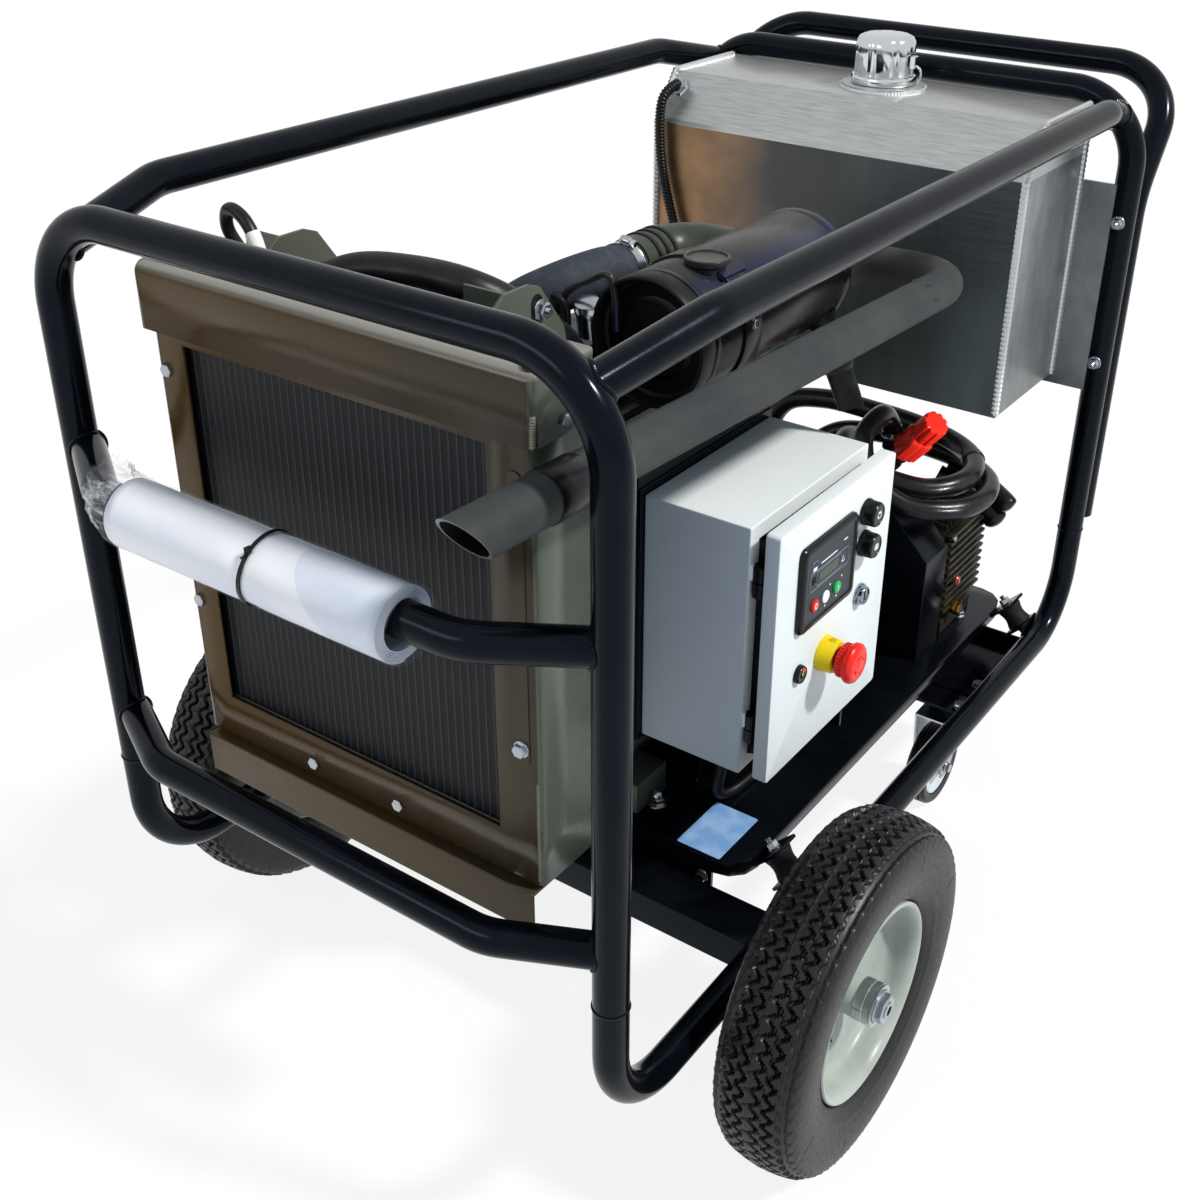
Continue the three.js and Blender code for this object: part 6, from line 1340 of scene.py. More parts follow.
def build_air_cleaner():
    r, y0 = CLEANER_RADIUS, CLEANER_FRONT
    axis_point = (CLEANER_X, 0, CLEANER_Z)
    dark = moulding("cover_plastic", "black_plastic", "#030303", 0.45, "#0b0b0b")
    can = [(r - 6, y0 + 24), (r - 0.6, y0 + 25), (r, y0 + 27), (r, y0 + 30), (r - 1.4, y0 + 32),
           (r - 1.4, y0 + 34), (r - 0.4, y0 + 36), (r - 0.4, 606), (r - 1.6, 608), (r - 0.2, 612),
           (r - 0.2, 620), (r - 2, 626), (r - 8, 632), (r - 20, 634)]
    body = [turned(can, axis_point, REARWARD, 96)]
    strap = lathe([(r - 1, 401), (r + 2.4, 401), (r + 2.9, 402), (r + 2.9, 430), (r + 2.4, 431),
                   (r - 1, 431)], axis_point, REARWARD, 96)
    pads = [patch(strap)]
    for degrees in (62, 24):
        out, across = out_of_can(degrees)
        spot = np.array([CLEANER_X, 416, CLEANER_Z]) + out * (r + 2.6)
        pads.append(block_at(spot, out, across, REARWARD, 2.4, 13, 20))
    port = [(17, -20), (17, -4), (19.5, -1), (22.6, 0), (23, 1.5), (23, 5), (22, 6), (20, 6),
            (19.2, 4.4), (18, 4.2)]
    pads.append(turned(port, (140, 402, CLEANER_Z + r), UP, 60))
    pads.append(brick((100, 396, 752), (124, 436, 790)))
    shell = piece("cleaner_can", [(body, SATIN), (pads, SATIN)], crease=35)
    elbow_look = moulding("elbow_grey", "satin_black", "#31372f", 0.34, "#4a4d42")
    x, z = INTAKE_HOSE_X, INTAKE_HOSE_Z
    route = bent([(112, 524, z), (x, 524, z), (x, 432, z)], [48])
    ribs = []
    for y in (452, 466, 480):
        ribs.append(turned([(26, -2.4), (28.6, -2.2), (28.6, 2.2), (26, 2.4)], (x, y, z), REARWARD, 48))
    dome = lathe([(27, 0), (25.4, 8), (20, 16), (12, 20.6), (4, 22)], (112, 524, z), (1, 0, 0.1), 48)
    piece("cleaner_elbow", [([tube(route, 27, 40), patch(dome)], elbow_look), (ribs, MOULDED)])
    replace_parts(shell, "air_cleaner")

    down = np.array([0.42, 0, -0.9])
    root = (CLEANER_X + 53, CLEANER_REAR - 37, CLEANER_Z - 53)
    stub = [(16.5, -18), (16, 14), (13.5, 18), (13.5, 30), (18, 36), (19, 40), (18.4, 44), (15, 48)]
    neck = turned(stub, root, down, 40)
    lips = lathe([(15, 44), (16, 60), (17, 76), (16.5, 92)], root, down, 40)
    centre = np.array(root) + np.outer(np.linspace(44, 92, 4), down / np.linalg.norm(down))
    lips[..., 1] = centre[:, None, 1] + (lips[..., 1]
                                         - centre[:, None, 1]) * np.array([1.0, 0.7, 0.35, 0.18])[:,
                                                                                                  None]
    piece("dust_valve", [([neck, patch(lips)], HOSE_BLACK)])

    cup = [(r - 1, y0 + 23.6), (r + 0.2, y0 + 21), (r + 0.2, y0 + 3), (r - 1, y0 + 0.6), (r - 3, y0),
           (r - 5, y0 + 1), (r - 6, y0 + 5), (r - 7, y0 + 15), (r - 10, y0 + 17), (r - 24, y0 + 17.6),
           (r - 27, y0 + 16), (r - 29, y0 + 13.4), (r - 44, y0 + 12.6), (4, y0 + 12.4)]
    cover = piece("cleaner_cup", [([turned(cup, axis_point, REARWARD, 96)], dark)], crease=30)
    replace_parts(cover, "air_cleaner_cover")
    clips = []
    for degrees in (35, 155, 275):
        out, across = out_of_can(degrees)
        clips.append(block_at(np.array([CLEANER_X, 352, CLEANER_Z]) + out * (r + 1), out, across,
                              REARWARD, 1.2, 7, 12))
    screw = out_of_can(8)[0]
    clips += bolt(np.array([CLEANER_X, 416, CLEANER_Z]) + screw * (r + 2), screw, 8, 3, 0.8)
    piece("cleaner_clips", [(clips, ZINC)], bevel=0.4)


def block_at(centre, out, across, along, half_out, half_across, half_along):
    """A block turned to three given directions, as a patch."""
    out, across, along = (np.array(v, float) for v in (out, across, along))
    ring = [(-1, -1), (1, -1), (1, 1), (-1, 1)]
    grid = np.stack([[centre + out * half_out * level + across * half_across * a + along * half_along * b
                      for a, b in ring] for level in (-1, 1)])
    return prism(grid)


build_air_cleaner()


# ---------------------------------------------------------------- intake hose
# A matt, cloth-wrapped rubber hose from the elbow to the intake spigot, clipped at both
# ends; beside it stand a bright plug and a small loop of wire.
def build_intake_hose():
    cloth = rubber("wrapped_hose", "hose_rubber", "#2b313a", "#454a50")
    weave = cloth.place(0).wave(420) * cloth.place(1).wave(420)
    cloth.bump(weave + cloth.noise(700, 2), 0.00025, 0.5)
    x, z = INTAKE_HOSE_X, INTAKE_HOSE_Z
    route = [(x, 436, z), (x, 410, z), (x - 6, 384, z + 1), (4, 346, z - 6), (-26, 324, z - 24),
             (-44, 322, 836), (-44, 322, 812.3)]
    made = piece("intake_duct", [([tube(smooth_path(route, 70), 25, 40)], cloth)])
    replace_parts(made, "intake_hose")
    clips = hose_clip((x, 420, z), REARWARD, 25.2, 1.4, 13) + hose_clip((-44, 322, 824), UP, 25.2, 0.3, 12)
    plug = [turned([(13, -26), (13, -2), (14, 0), (14, 8), (12.5, 11), (8, 12.5), (2, 13)],
                   (46, 336, 862), (0.1, -0.3, 1), 40)]
    piece("intake_clips", [(clips + plug, ZINC)])
    wire = smooth_path([(20, 330, 838), (20, 330, 866), (28, 330, 881), (53, 330, 896), (69, 330, 905),
                        (78, 330, 902), (81, 332, 884), (81, 334, 850)], 60)
    piece("engine_bar", [([tube(wire, 3.6, 12)], SATIN)])
    small = smooth_path([(-2, 324, 838), (-1, 324, 862), (12, 324, 875), (27, 324, 866), (29, 324, 840)], 40)
    piece("engine_loop", [([tube(small, 4.4, 12)], HOSE_BLACK)])


build_intake_hose()


# ---------------------------------------------------------------- exhaust
# Steel tube in matt heat-proof grey along the right top rail, slash cut in front with a
# bare rim, a darker band where it is clamped, bent down to the manifold.
EXHAUST_X, EXHAUST_RADIUS, EXHAUST_OUTLET, EXHAUST_SLASH = 258, 21.2, -93.2, 38
EXHAUST_FRONT_Z, EXHAUST_SIDES = 863, 56
BAND_Y, BAND_HALF = 14, 22


def build_exhaust():
    matt = Finish("exhaust_grey", "pipe_grey", "#2b2f32", 0.55)
    hot = matt.place(1).ramp(0.10, 0.17)
    tone = matt.mix(matt.noise(12, 4, 0.6).ramp(0.35, 0.7), "#292e31", "#383b3a")
    matt.colour(matt.mix(hot * 0.35, tone, "#3f352b"))
    matt.worn(60, 3, 0.2, 0.5)
    matt.grain(420, 3, 0.00008, 0.5)
    band_look = Finish("band_black", "pipe_grey", "#0e1013", 0.28).grain(300, 2, 0.00005, 0.5)
    bare = Finish("cut_steel", "pipe_grey", "#b9bcc0", 0.3, 1.0).grain(900, 2, 0.00005, 0.5)
    soot = Finish("soot", "pipe_grey", "#060606", 0.9).grain(300, 3, 0.0002, 0.5)
    x, r = EXHAUST_X, EXHAUST_RADIUS
    front = EXHAUST_OUTLET - 30
    route = bent([(x, front, EXHAUST_FRONT_Z), (x, 750, 828), (106, 750, 824), (96, 610, 718),
                  (96, 570.3, 718)], [58, 58, 58])
    outer = sweep(route, r, EXHAUST_SIDES)
    inner = sweep(route[:2], r - 2.6, EXHAUST_SIDES)
    slope = unit(route[1] - route[0])

    def height_at(y):
        return EXHAUST_FRONT_Z + (y - front) / slope[1] * slope[2]

    height = height_at(EXHAUST_OUTLET)

    def slashed(ring):
        rise = ring[:, 2] - height
        goal = EXHAUST_OUTLET - rise * math.tan(math.radians(EXHAUST_SLASH))
        return ring + slope * ((goal - ring[:, 1]) / slope[1])[:, None]

    outer[0] = slashed(outer[0])
    mouth = slashed(inner[0])
    deep = inner[0] + slope * 130
    closed_end = outer[-1:].mean(axis=1, keepdims=True).repeat(EXHAUST_SIDES, axis=1)
    skin = patch(np.concatenate([outer, closed_end]), capped=False)
    rim = patch(np.stack([outer[0] - slope * 0.05, mouth - slope * 0.05]), capped=False)
    bore = patch(np.stack([mouth, deep, deep.mean(0, keepdims=True).repeat(EXHAUST_SIDES, axis=0)]),
                 capped=False)
    middle = np.array([x, BAND_Y, height_at(BAND_Y)])
    sleeve = [(r - 1, -BAND_HALF), (r + 0.9, 0.4 - BAND_HALF), (r + 1.4, 1.2 - BAND_HALF),
              (r + 1.4, BAND_HALF - 1.2), (r + 0.9, BAND_HALF - 0.4), (r - 1, BAND_HALF)]
    ticks = []
    for turn in (0.2, 1.1, 1.9):
        spot = np.array([x, 640, 833]) + np.array([math.cos(turn), 0, math.sin(turn)]) * r
        ticks.append(tube([spot - (0, 5, 0), spot, spot + (3, 5, 0)], [0.6, 1.5, 0.5], 8))
    made = piece("tail_pipe", [([skin] + ticks, matt),
                               ([turned(sleeve, middle, slope, 72, capped=False)], band_look),
                               ([rim], bare), ([bore], soot)], crease=40)
    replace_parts(made, "exhaust_pipe")


build_exhaust()


# ---------------------------------------------------------------- fuel tank
# Folded aluminium sheet, welded with stacked beads down its corners; plates at the rear
# weld it to the hoop. A fluted chrome cap screws over the neck.
TANK_HALF, TANK_FRONT, TANK_REAR, TANK_BOTTOM, TANK_TOP = 262, 907, 1100, 603, 963
CHAMFER_BACK, CHAMFER_DROP = 43, 60
ENGINE_SIDE_Y = 0.3262
TANK_CAP = (8, 1028)


def fluted(count, steep, land=0.0):
    """The radius of a cap with so many shallow flutes, by angle, over its full radius."""
    return lambda angle: 1 - 0.05 * np.clip(np.cos(count * angle) * steep - land, 0, 1)


def build_tank():
    sheet = Finish("tank_aluminium", "aluminium", "#8d9196", 0.3, 0.85)
    x, z = sheet.place(0), sheet.place(2)
    brushed = sheet.noise(9, 4, 0.6, sheet.stretched((3.0, 60.0, 60.0)))
    lower = z.under((TANK_TOP - CHAMFER_DROP) / 1000 - 0.001)
    facing_engine = sheet.place(1).under(ENGINE_SIDE_Y)
    cloud = sheet.noise(5, 4, 0.6)
    # Painted reflection on the front face: tan on the left, turning to grey-blue on the right.
    warm_reflection = sheet.mix((x * 3.4 + cloud * 0.5).ramp(-0.62, 0.05), "#b88f66", "#4a4c4c")
    streak = sheet.noise(7, 3, 0.6, sheet.stretched((6.0, 1.0, 0.7)))
    front = sheet.mix((x * 2.6 + streak * 0.5).ramp(0.2, 0.9), warm_reflection, "#5f676a")
    flank = sheet.mix(sheet.noise(14, 5, 0.7, sheet.stretched((1, 1.6, 0.7))).ramp(0.3, 0.75),
                      "#6f7679", "#9a9fa0")
    low_part = sheet.mix(facing_engine, flank, front)
    # Painted light: the top and chamfer are lighter than the flanks and front.
    top = sheet.mix(brushed.ramp(0.3, 0.7), "#a6a9a9", "#c4c6c6")
    # Painted dark reflection: near-black cloudy patches on the left of the front face.
    painted_dark_reflection = (cloud * 0.6 - x * 1.8).ramp(0.62, 0.8) * facing_engine * 0.65
    sheet.colour(sheet.mix(painted_dark_reflection, sheet.mix(lower, top, low_part), "#22262b"))
    sheet.rough(brushed * 0.25 + 0.22)
    sheet.bump(brushed + sheet.noise(160, 2) * 0.3, 0.00015, 0.4)
    softened("fuel_tank", sheet, 2.0, 3)
    weld_look = Finish("tank_welds", "aluminium", "#c5c8ca", 0.32, 0.9)
    weld_look.worn(400, 3, 0.3, 0.2)
    weld_look.grain(700, 3, 0.0002, 0.6)
    edge = TANK_TOP - CHAMFER_DROP
    welds = []
    for s in (1, -1):
        h = s * (TANK_HALF - 0.6)
        path = [(h, TANK_FRONT + 0.6, TANK_BOTTOM + 4), (h, TANK_FRONT + 0.6, edge),
                (h, TANK_FRONT + CHAMFER_BACK, TANK_TOP - 0.6), (h, TANK_REAR - 4, TANK_TOP - 0.6)]
        welds.append(bead(path, 5.0, 6.2))
        welds.append(bead([(h, TANK_REAR - 1, TANK_TOP - 4), (h, TANK_REAR - 1.5, TANK_BOTTOM + 4)],
                          5.2, 6.4))
        outside = s * (TANK_HALF + 0.4)
        welds.append(bead([(outside, TANK_REAR - 2.4, TANK_TOP - 96),
                           (outside, TANK_REAR - 2.4, TANK_BOTTOM)], 3.4, 4.6))
    turn = np.linspace(0, math.tau, 73)
    cx, cy = TANK_CAP
    welds.append(bead(np.column_stack([cx + 54.5 * np.cos(turn), cy + 54.5 * np.sin(turn),
                                       np.full(73, TANK_TOP + 0.4)]), 2.8, 4.4))
    piece("tank_beads", [(welds, weld_look)])

    chrome = Finish("cap_chrome", "chrome", "#d6dade", 0.12, 1.0)
    chrome.worn(80, 3, 0.12, 0.06)
    chrome.grain(260, 2, 0.00004, 0.5)
    foot, top = TANK_TOP + 5.3, TANK_TOP + 66
    skirt = lathe([(37, 0), (41, 0.4), (42, 2), (42, 8), (40.6, 10.5), (36, 11)], (cx, cy, foot), UP, 96)
    ribbed = lathe([(37.5, 0), (38.4, 2), (38.4, 36), (37.4, 42), (34.4, 47), (29, 49.6), (20, 50.4),
                    (6, 50.6)], (cx, cy, foot + 10), UP, 160,
                   fluted(8, 3, 1.6))
    made = piece("filler_cap", [([patch(skirt), patch(ribbed)], chrome)], "tank_cap", crease=40)
    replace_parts(made, "fuel_cap")
    lug = [block_at(np.array([cx + 43, cy - 4, foot + 30]), RIGHT, REARWARD, UP, 3.4, 5.5, 7.5),
           tube(smooth_path([(cx + 46, cy - 4, foot + 26), (cx + 52, cy - 4, foot + 22),
                             (cx + 53, cy - 3, foot + 14), (cx + 50, cy - 4, foot + 4)], 24), 1.6, 10)]
    piece("cap_lug", [(lug, chrome)], "tank_cap", bevel=0.8)


def corrugated(points, radius, rib, pitch, count_per=4):
    """A conduit: a tube whose radius steps between its ribs and hollows along the path."""
    path = smooth_path(points, 400)
    length = lengths(path)
    even = np.arange(0, length[-1], pitch / count_per)
    high = (np.arange(len(even)) % count_per) < count_per / 2
    return tube(places_at(even, length, path), radius - rib * (1 - high), 20)


def build_tank_conduit():
    seat = np.array([-243, TANK_FRONT + 28, 942.0])
    out = np.array([0, -0.813, 0.582])
    route = [seat + out * 0.6, seat + out * 14, (-249, 900, 934), (-250, 896, 890), (-242, 896, 830),
             (-214, 895, 745), (-178, 885, 690), (-148, 837, 650)]
    made = piece("ribbed_conduit", [([corrugated(route, 7.0, 1.3, 4.4)], MOULDED)], crease=60)
    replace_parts(made, "tank_conduit")
    fitting = [six_sided([(12, 0), (12, 6), (9.5, 7), (9.5, 14)], seat, out)]
    piece("conduit_fitting", [(fitting, ZINC)])


build_tank()
build_tank_conduit()


# ---------------------------------------------------------------- control box
# A welded sheet steel box in pale grey powder coat, standing on a black bracket, with a
# hinged door that closes on a rubber seal. Moulded controls are screwed into the door.
BOX_FACE, BOX_Y0, BOX_Y1, BOX_Z0, BOX_Z1 = 240, 340, 590, 383, 679
BOX_EDGES = (BOX_Y0, BOX_Y1, BOX_Z0, BOX_Z1)
BOX_FRONT_Y = (BOX_Y0 - 583.8 + 0.8) / 1000
DOOR_BACK, DOOR_FACE = 257, 274
HINGE, HINGE_ROWS = (248.5, 349.2), [BOX_Z0 + share * (BOX_Z1 - BOX_Z0) for share in (0.2, 0.8)]
CONTROLLER_EDGES, PANEL_X = (380, 498, 547, 647), DOOR_FACE + 5.6
BUTTON_Z, STOP_Y, START_Y = 573, 409, 457
STOP_SWITCH, KEY_PLACE, METER_PLACE = (450, 493), (526, 530), (395, 495)
SOCKET_Y, SOCKET_ROWS = 524, (("cap_upper", 633), ("cap_lower", 595))


def pale_coat():
    """Pale grey powder coat with a fine, even orange peel; the box's front face has painted shade, bluish and
    darker towards the bottom.
    """
    coat = Finish("pale_powder_coat", "box_paint", "#d3dadb", 0.36)
    front = coat.place(1).under(BOX_FRONT_Y)
    shaded = coat.mix(coat.place(2).ramp(BOX_Z0 / 1000, BOX_Z1 / 1000), "#98a3ad", "#b3bdca")
    coat.colour(coat.mix(front, coat.mix(coat.noise(4, 3).ramp(0.3, 0.7), "#cad4d9", "#d9dfde"), shaded))
    coat.worn(30, 3, 0.14, 0.3)
    return coat.grain(620, 2, 0.00009, 0.7)


BOX_PAINT = pale_coat()


def build_box():
    softened("control_box", BOX_PAINT, 2.4, 4)
    y0, y1, z0, z1 = BOX_Y0 + 18, BOX_Y1 - 18, BOX_Z0 + 18, BOX_Z1 - 18
    seal = [brick((BOX_FACE + 0.1, ya, za), (DOOR_BACK - 0.2, yb, zb)) for ya, yb, za, zb in
            ((y0, y1, z0, z0 + 8), (y0, y1, z1 - 8, z1), (y0, y0 + 8, z0, z1), (y1 - 8, y1, z0, z1))]
    piece("door_seal", [(seal, HOSE_BLACK)], bevel=0.8)
    stand = [brick((135.4, 428, 250.4), (140.6, 572, BOX_Z0)), brick((119, 428, 250.3), (138, 572, 254.6)),
             brick((204, 560, 300), (209, 600, BOX_Z0 + 24)), brick((204, 588, 300), (236, 593, BOX_Z0 + 30)),
             brick((107, BOX_Y0 - 7, BOX_Z0 - 6), (113.7, BOX_Y1 + 5, BOX_Z1 + 9))]
    piece("box_stand", [(stand, BLACK)], bevel=0.8)
    for name, body, barrel in (("hinge_barrels", "machine", [(7, 0.3), (8.4, 1), (8.4, 17), (7, 18.2)]),
                               ("hinge_leaves", "door", [(7, -18.2), (8.4, -17), (8.4, -1), (7, -0.2)])):
        piece(name, [([turned(barrel, (*HINGE, z), UP, 32) for z in HINGE_ROWS], BLACK)], body)
    piece("stand_bolt", [(bolt((209, 596, 345), RIGHT, 12, 5), ZINC)])
    feet = bolt((128, 450, 254.6), UP, 10, 5) + bolt((128, 550, 254.6), UP, 10, 5)
    piece("stand_feet_bolts", [(feet, ZINC)])
    conduit = corrugated([(180, 414, 382.7), (180, 414, 367), (178, 410, 323), (172, 414, 283),
                          (170, 450, 261), (172, 504, 258), (170, 584, 258)], 7.0, 1.3, 4.4)
    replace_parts(piece("box_conduit_ribs", [([conduit], MOULDED)], crease=60), "box_conduit")
    gland = [six_sided([(11, 0), (11, 8), (9, 10), (9, 16)], (180, 414, BOX_Z0), DOWN)]
    piece("box_gland", [(gland, MOULDED)])


def inset_ring(edges, inset, radius, x):
    """A rounded rectangle drawn in from its edges by the inset."""
    y0, y1, z0, z1 = edges
    return rounded(y0 + inset, y1 - inset, z0 + inset, z1 - inset, radius, x)


def build_door():
    profile = [(3, DOOR_FACE - 2), (3, DOOR_BACK + 0.6), (2, DOOR_BACK), (0.6, DOOR_BACK),
               (0, DOOR_BACK + 0.7), (0, DOOR_FACE - 2.6), (0.7, DOOR_FACE - 0.8), (2.6, DOOR_FACE)]
    pan = np.stack([inset_ring(BOX_EDGES, inset, 5.2 - inset, x) for inset, x in profile])
    hinge_x, hinge_y = HINGE
    leaves = [brick((hinge_x, hinge_y - 5, z - 17), (DOOR_BACK + 3, hinge_y + 5, z - 1)) for z in HINGE_ROWS]
    made = piece("door_panel", [([patch(pan)], BOX_PAINT), (leaves, BLACK)], "door", crease=40)
    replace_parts(made, "control_box_door")


GLOSS = moulding("bezel_black", "black_plastic", "#0b0d12", 0.22, "#17191d")
WHITE_PRINT = Finish("print_white", "paper", "#e9ecec", 0.45).grain(400, 2, 0.00002, 0.4)
YELLOW = moulding("collar_yellow", "box_paint", "#d8bf16", 0.35, "#cdb113")
RED = moulding("stop_red", "red_plastic", "#d6231c", 0.3, "#c41d18")


def circle(x, y, z, radius, turn, tall=None):
    """Points of a circle, or of an oval, in the door's plane at these angles."""
    return np.column_stack([np.full(len(turn), x), y + radius * np.cos(turn),
                            z + (tall or radius) * np.sin(turn)])


def build_controller():
    foot = DOOR_FACE + 0.3
    loft = [inset_ring(CONTROLLER_EDGES, inset, radius, foot + rise) for inset, radius, rise in
            ((0, 9, 0), (0, 9, 3.4), (1.4, 8.4, 5.8), (3.6, 7, 7), (7, 4, 7), (8.6, 3, 5.4))]
    face = Finish("panel_face", "black_plastic", "#262d33", 0.42)
    face.worn(200, 2, 0.1, 0.36)
    face.grain(700, 2, 0.00003, 0.4)
    panel = patch(np.stack([inset_ring(CONTROLLER_EDGES, 8.6, 3, PANEL_X - depth) for depth in (1, 0)]))
    bezel = patch(np.stack(loft), capped=False)
    made = piece("controller_bezel", [([bezel], GLOSS), ([panel], face)], "door", crease=30)
    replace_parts(made, "controller")
    glass = Finish("display_glass", "black_plastic", "#323a34", 0.12)
    glass.colour(glass.mix(glass.place(2).wave(900) * 0.15, "#343c35", "#4a5249"))
    piece("display", [([brick((PANEL_X, 416, 598.4), (PANEL_X + 0.3, 457, 609.6))], glass)], "door")
    line = Finish("print_grey", "black_plastic", "#77879a", 0.5).grain(400, 2, 0.00002, 0.4)
    x = PANEL_X + 0.25
    outlines = []
    for outline in ((397, 479, 593, 614, 3.5), (410.5, 462.5, 595, 612, 2), (400, 410.5, 614.8, 626, 1)):
        ring = rounded(*outline, x)
        outlines.append(tube(np.concatenate([ring, ring[:1]]), 0.35, 6))
    piece("panel_lines", [(outlines, line)], "door")
    triangle = np.array([(x, 464.4, 600), (x, 470.6, 600), (x, 467.5, 606.4), (x, 464.4, 600)])
    icons = [tube(triangle, 0.4, 6)]
    for y0, y1, z0, z1 in ((401.4, 409, 616, 619.4), (466, 474, 624.6, 625.8), (418, 452, 618.6, 619.7)):
        icons.append(brick((x - 0.1, y0, z0), (x + 0.2, y1, z1)))
    icons.append(slab([(404.6, 604.6), (408.2, 604.6), (406.4, 600.6)], 0, x + 0.5, x + 0.9))
    for y, z in ((466.9, 582.5), (441.4, 583.5), (457.3, 562.3), (432.7, 561.9)):
        icons.append(turned([(1.1, 0), (1.1, 0.3)], (x, y, z), RIGHT, 16))
    icons.append(turned([(7, 0), (7, 1.2), (6.2, 1.8), (3, 2)], (x, 432.5, BUTTON_Z), RIGHT, 40))
    piece("panel_print", [(icons, WHITE_PRINT)], "door")
    knob = turned([(4.6, 0), (4.6, 0.6), (4, 0.9)], (x, 406.4, 603), RIGHT, 32)
    piece("scroll_button", [([knob], GLOSS)], "door")


def build_buttons():
    ring = circle(PANEL_X + 2.6, STOP_Y, BUTTON_Z, 2.2, np.linspace(0, math.tau, 33), 3.0)
    marks = {"stop": tube(ring, 0.5, 6),
             "start": brick((PANEL_X + 2.4, START_Y - 0.5, 569.8), (PANEL_X + 2.9, START_Y + 0.5, 576.2))}
    shape = [(6.8, -3.4), (7, 1.2), (6.7, 1.8), (6.2, 2.1), (1, 2.3)]
    for body, y, colour, slot in (("stop", STOP_Y, "#c81f1d", "red_plastic"),
                                  ("start", START_Y, "#17a355", "green_plastic")):
        node = body + "_button"
        look = moulding(node + "_plastic", slot, colour, 0.3, colour)
        cap = turned(shape, (PANEL_X + 0.4, y, BUTTON_Z), RIGHT, 40)
        made = piece(node + "_cap", [([cap], look)], body)
        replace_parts(made, node)
        piece(node + "_mark", [([marks[body]], WHITE_PRINT)], body)


def build_stop_switch():
    y, z = STOP_SWITCH
    collar = [(12.5, 0.2), (20.4, 0.2), (20.4, 3), (19.2, 4.8), (19, 15.4), (17.4, 18.2), (12.5, 18.4)]
    ring = turned(collar, (DOOR_FACE, y, z), RIGHT, 72, capped=False)
    pin = slab([(446, 511.4), (454, 511.4), (450, 515.6)], 0, DOOR_FACE + 9, DOOR_FACE + 15)
    piece("stop_collar", [([ring, pin], YELLOW)], "door", crease=35)
    back = DOOR_FACE + 22.3
    head = [(8.5, -17.6), (8.5, 0.3), (17.6, 0.4), (18.6, 2), (18.4, 8), (20.4, 9.6), (22.6, 12),
            (23, 14.5), (22.8, 17), (21, 19.6), (17.6, 21.4), (15.5, 21.7), (14.6, 21.2), (13.5, 21.2),
            (6, 22.4), (0.5, 22.8)]
    made = piece("mushroom", [([turned(head, (back, y, z), RIGHT, 96)], RED)], "estop", crease=30)
    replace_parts(made, "emergency_stop")
    spots = circle(back, y, z, 18.8, np.linspace(0, math.tau, 30, endpoint=False))
    grips = [tube([spot + (1.6, 0, 0), spot + (7.6, 0, 0)], 0.8, 6) for spot in spots]
    arc = np.linspace(0.4, 2.2, 12)
    for start in (0, math.pi):
        grips.append(tube(circle(back + 22.0, y, z, 9.5, arc + start), np.linspace(1.2, 0.3, 12), 6))
    piece("mushroom_grips", [(grips, RED)], "estop")


def build_socket_caps():
    e, y = DOOR_FACE + 16.4, SOCKET_Y
    frame_bars = [(-4.4, 4.4, -3.4, -2.4), (-4.4, 4.4, 2.2, 3.2), (-4.4, -3.2, -3.4, 3.2),
                  (3.2, 4.4, -3.4, 3.2)]
    extra = {"cap_upper": [(-2.6, -1, 3.2, 4.8), (1, 2.6, 3.2, 4.8)], "cap_lower": [(-2, 2, -1.6, 1)]}
    for body, z in SOCKET_ROWS:
        node = "socket_" + body
        centre = (DOOR_FACE, y, z)
        grip = turned([(15, 0.4), (15, 3.4), (14.2, 4.2), (14, 14), (12.8, 16.2)], centre, RIGHT, 156,
                      fluted(26, 2))
        end = turned([(13.4, 15.6), (12.4, 16.8), (11, 16.9), (10.6, 16.4), (2, 16.4)], centre, RIGHT, 60)
        made = piece(node + "_grip", [([grip, end], GLOSS)], body, crease=25)
        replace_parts(made, node)
        marks = [brick((e, y + y0, z + z0), (e + 0.5, y + y1, z + z1))
                 for y0, y1, z0, z1 in frame_bars + extra[body]]
        piece(node + "_icon", [(marks, WHITE_PRINT)], body)


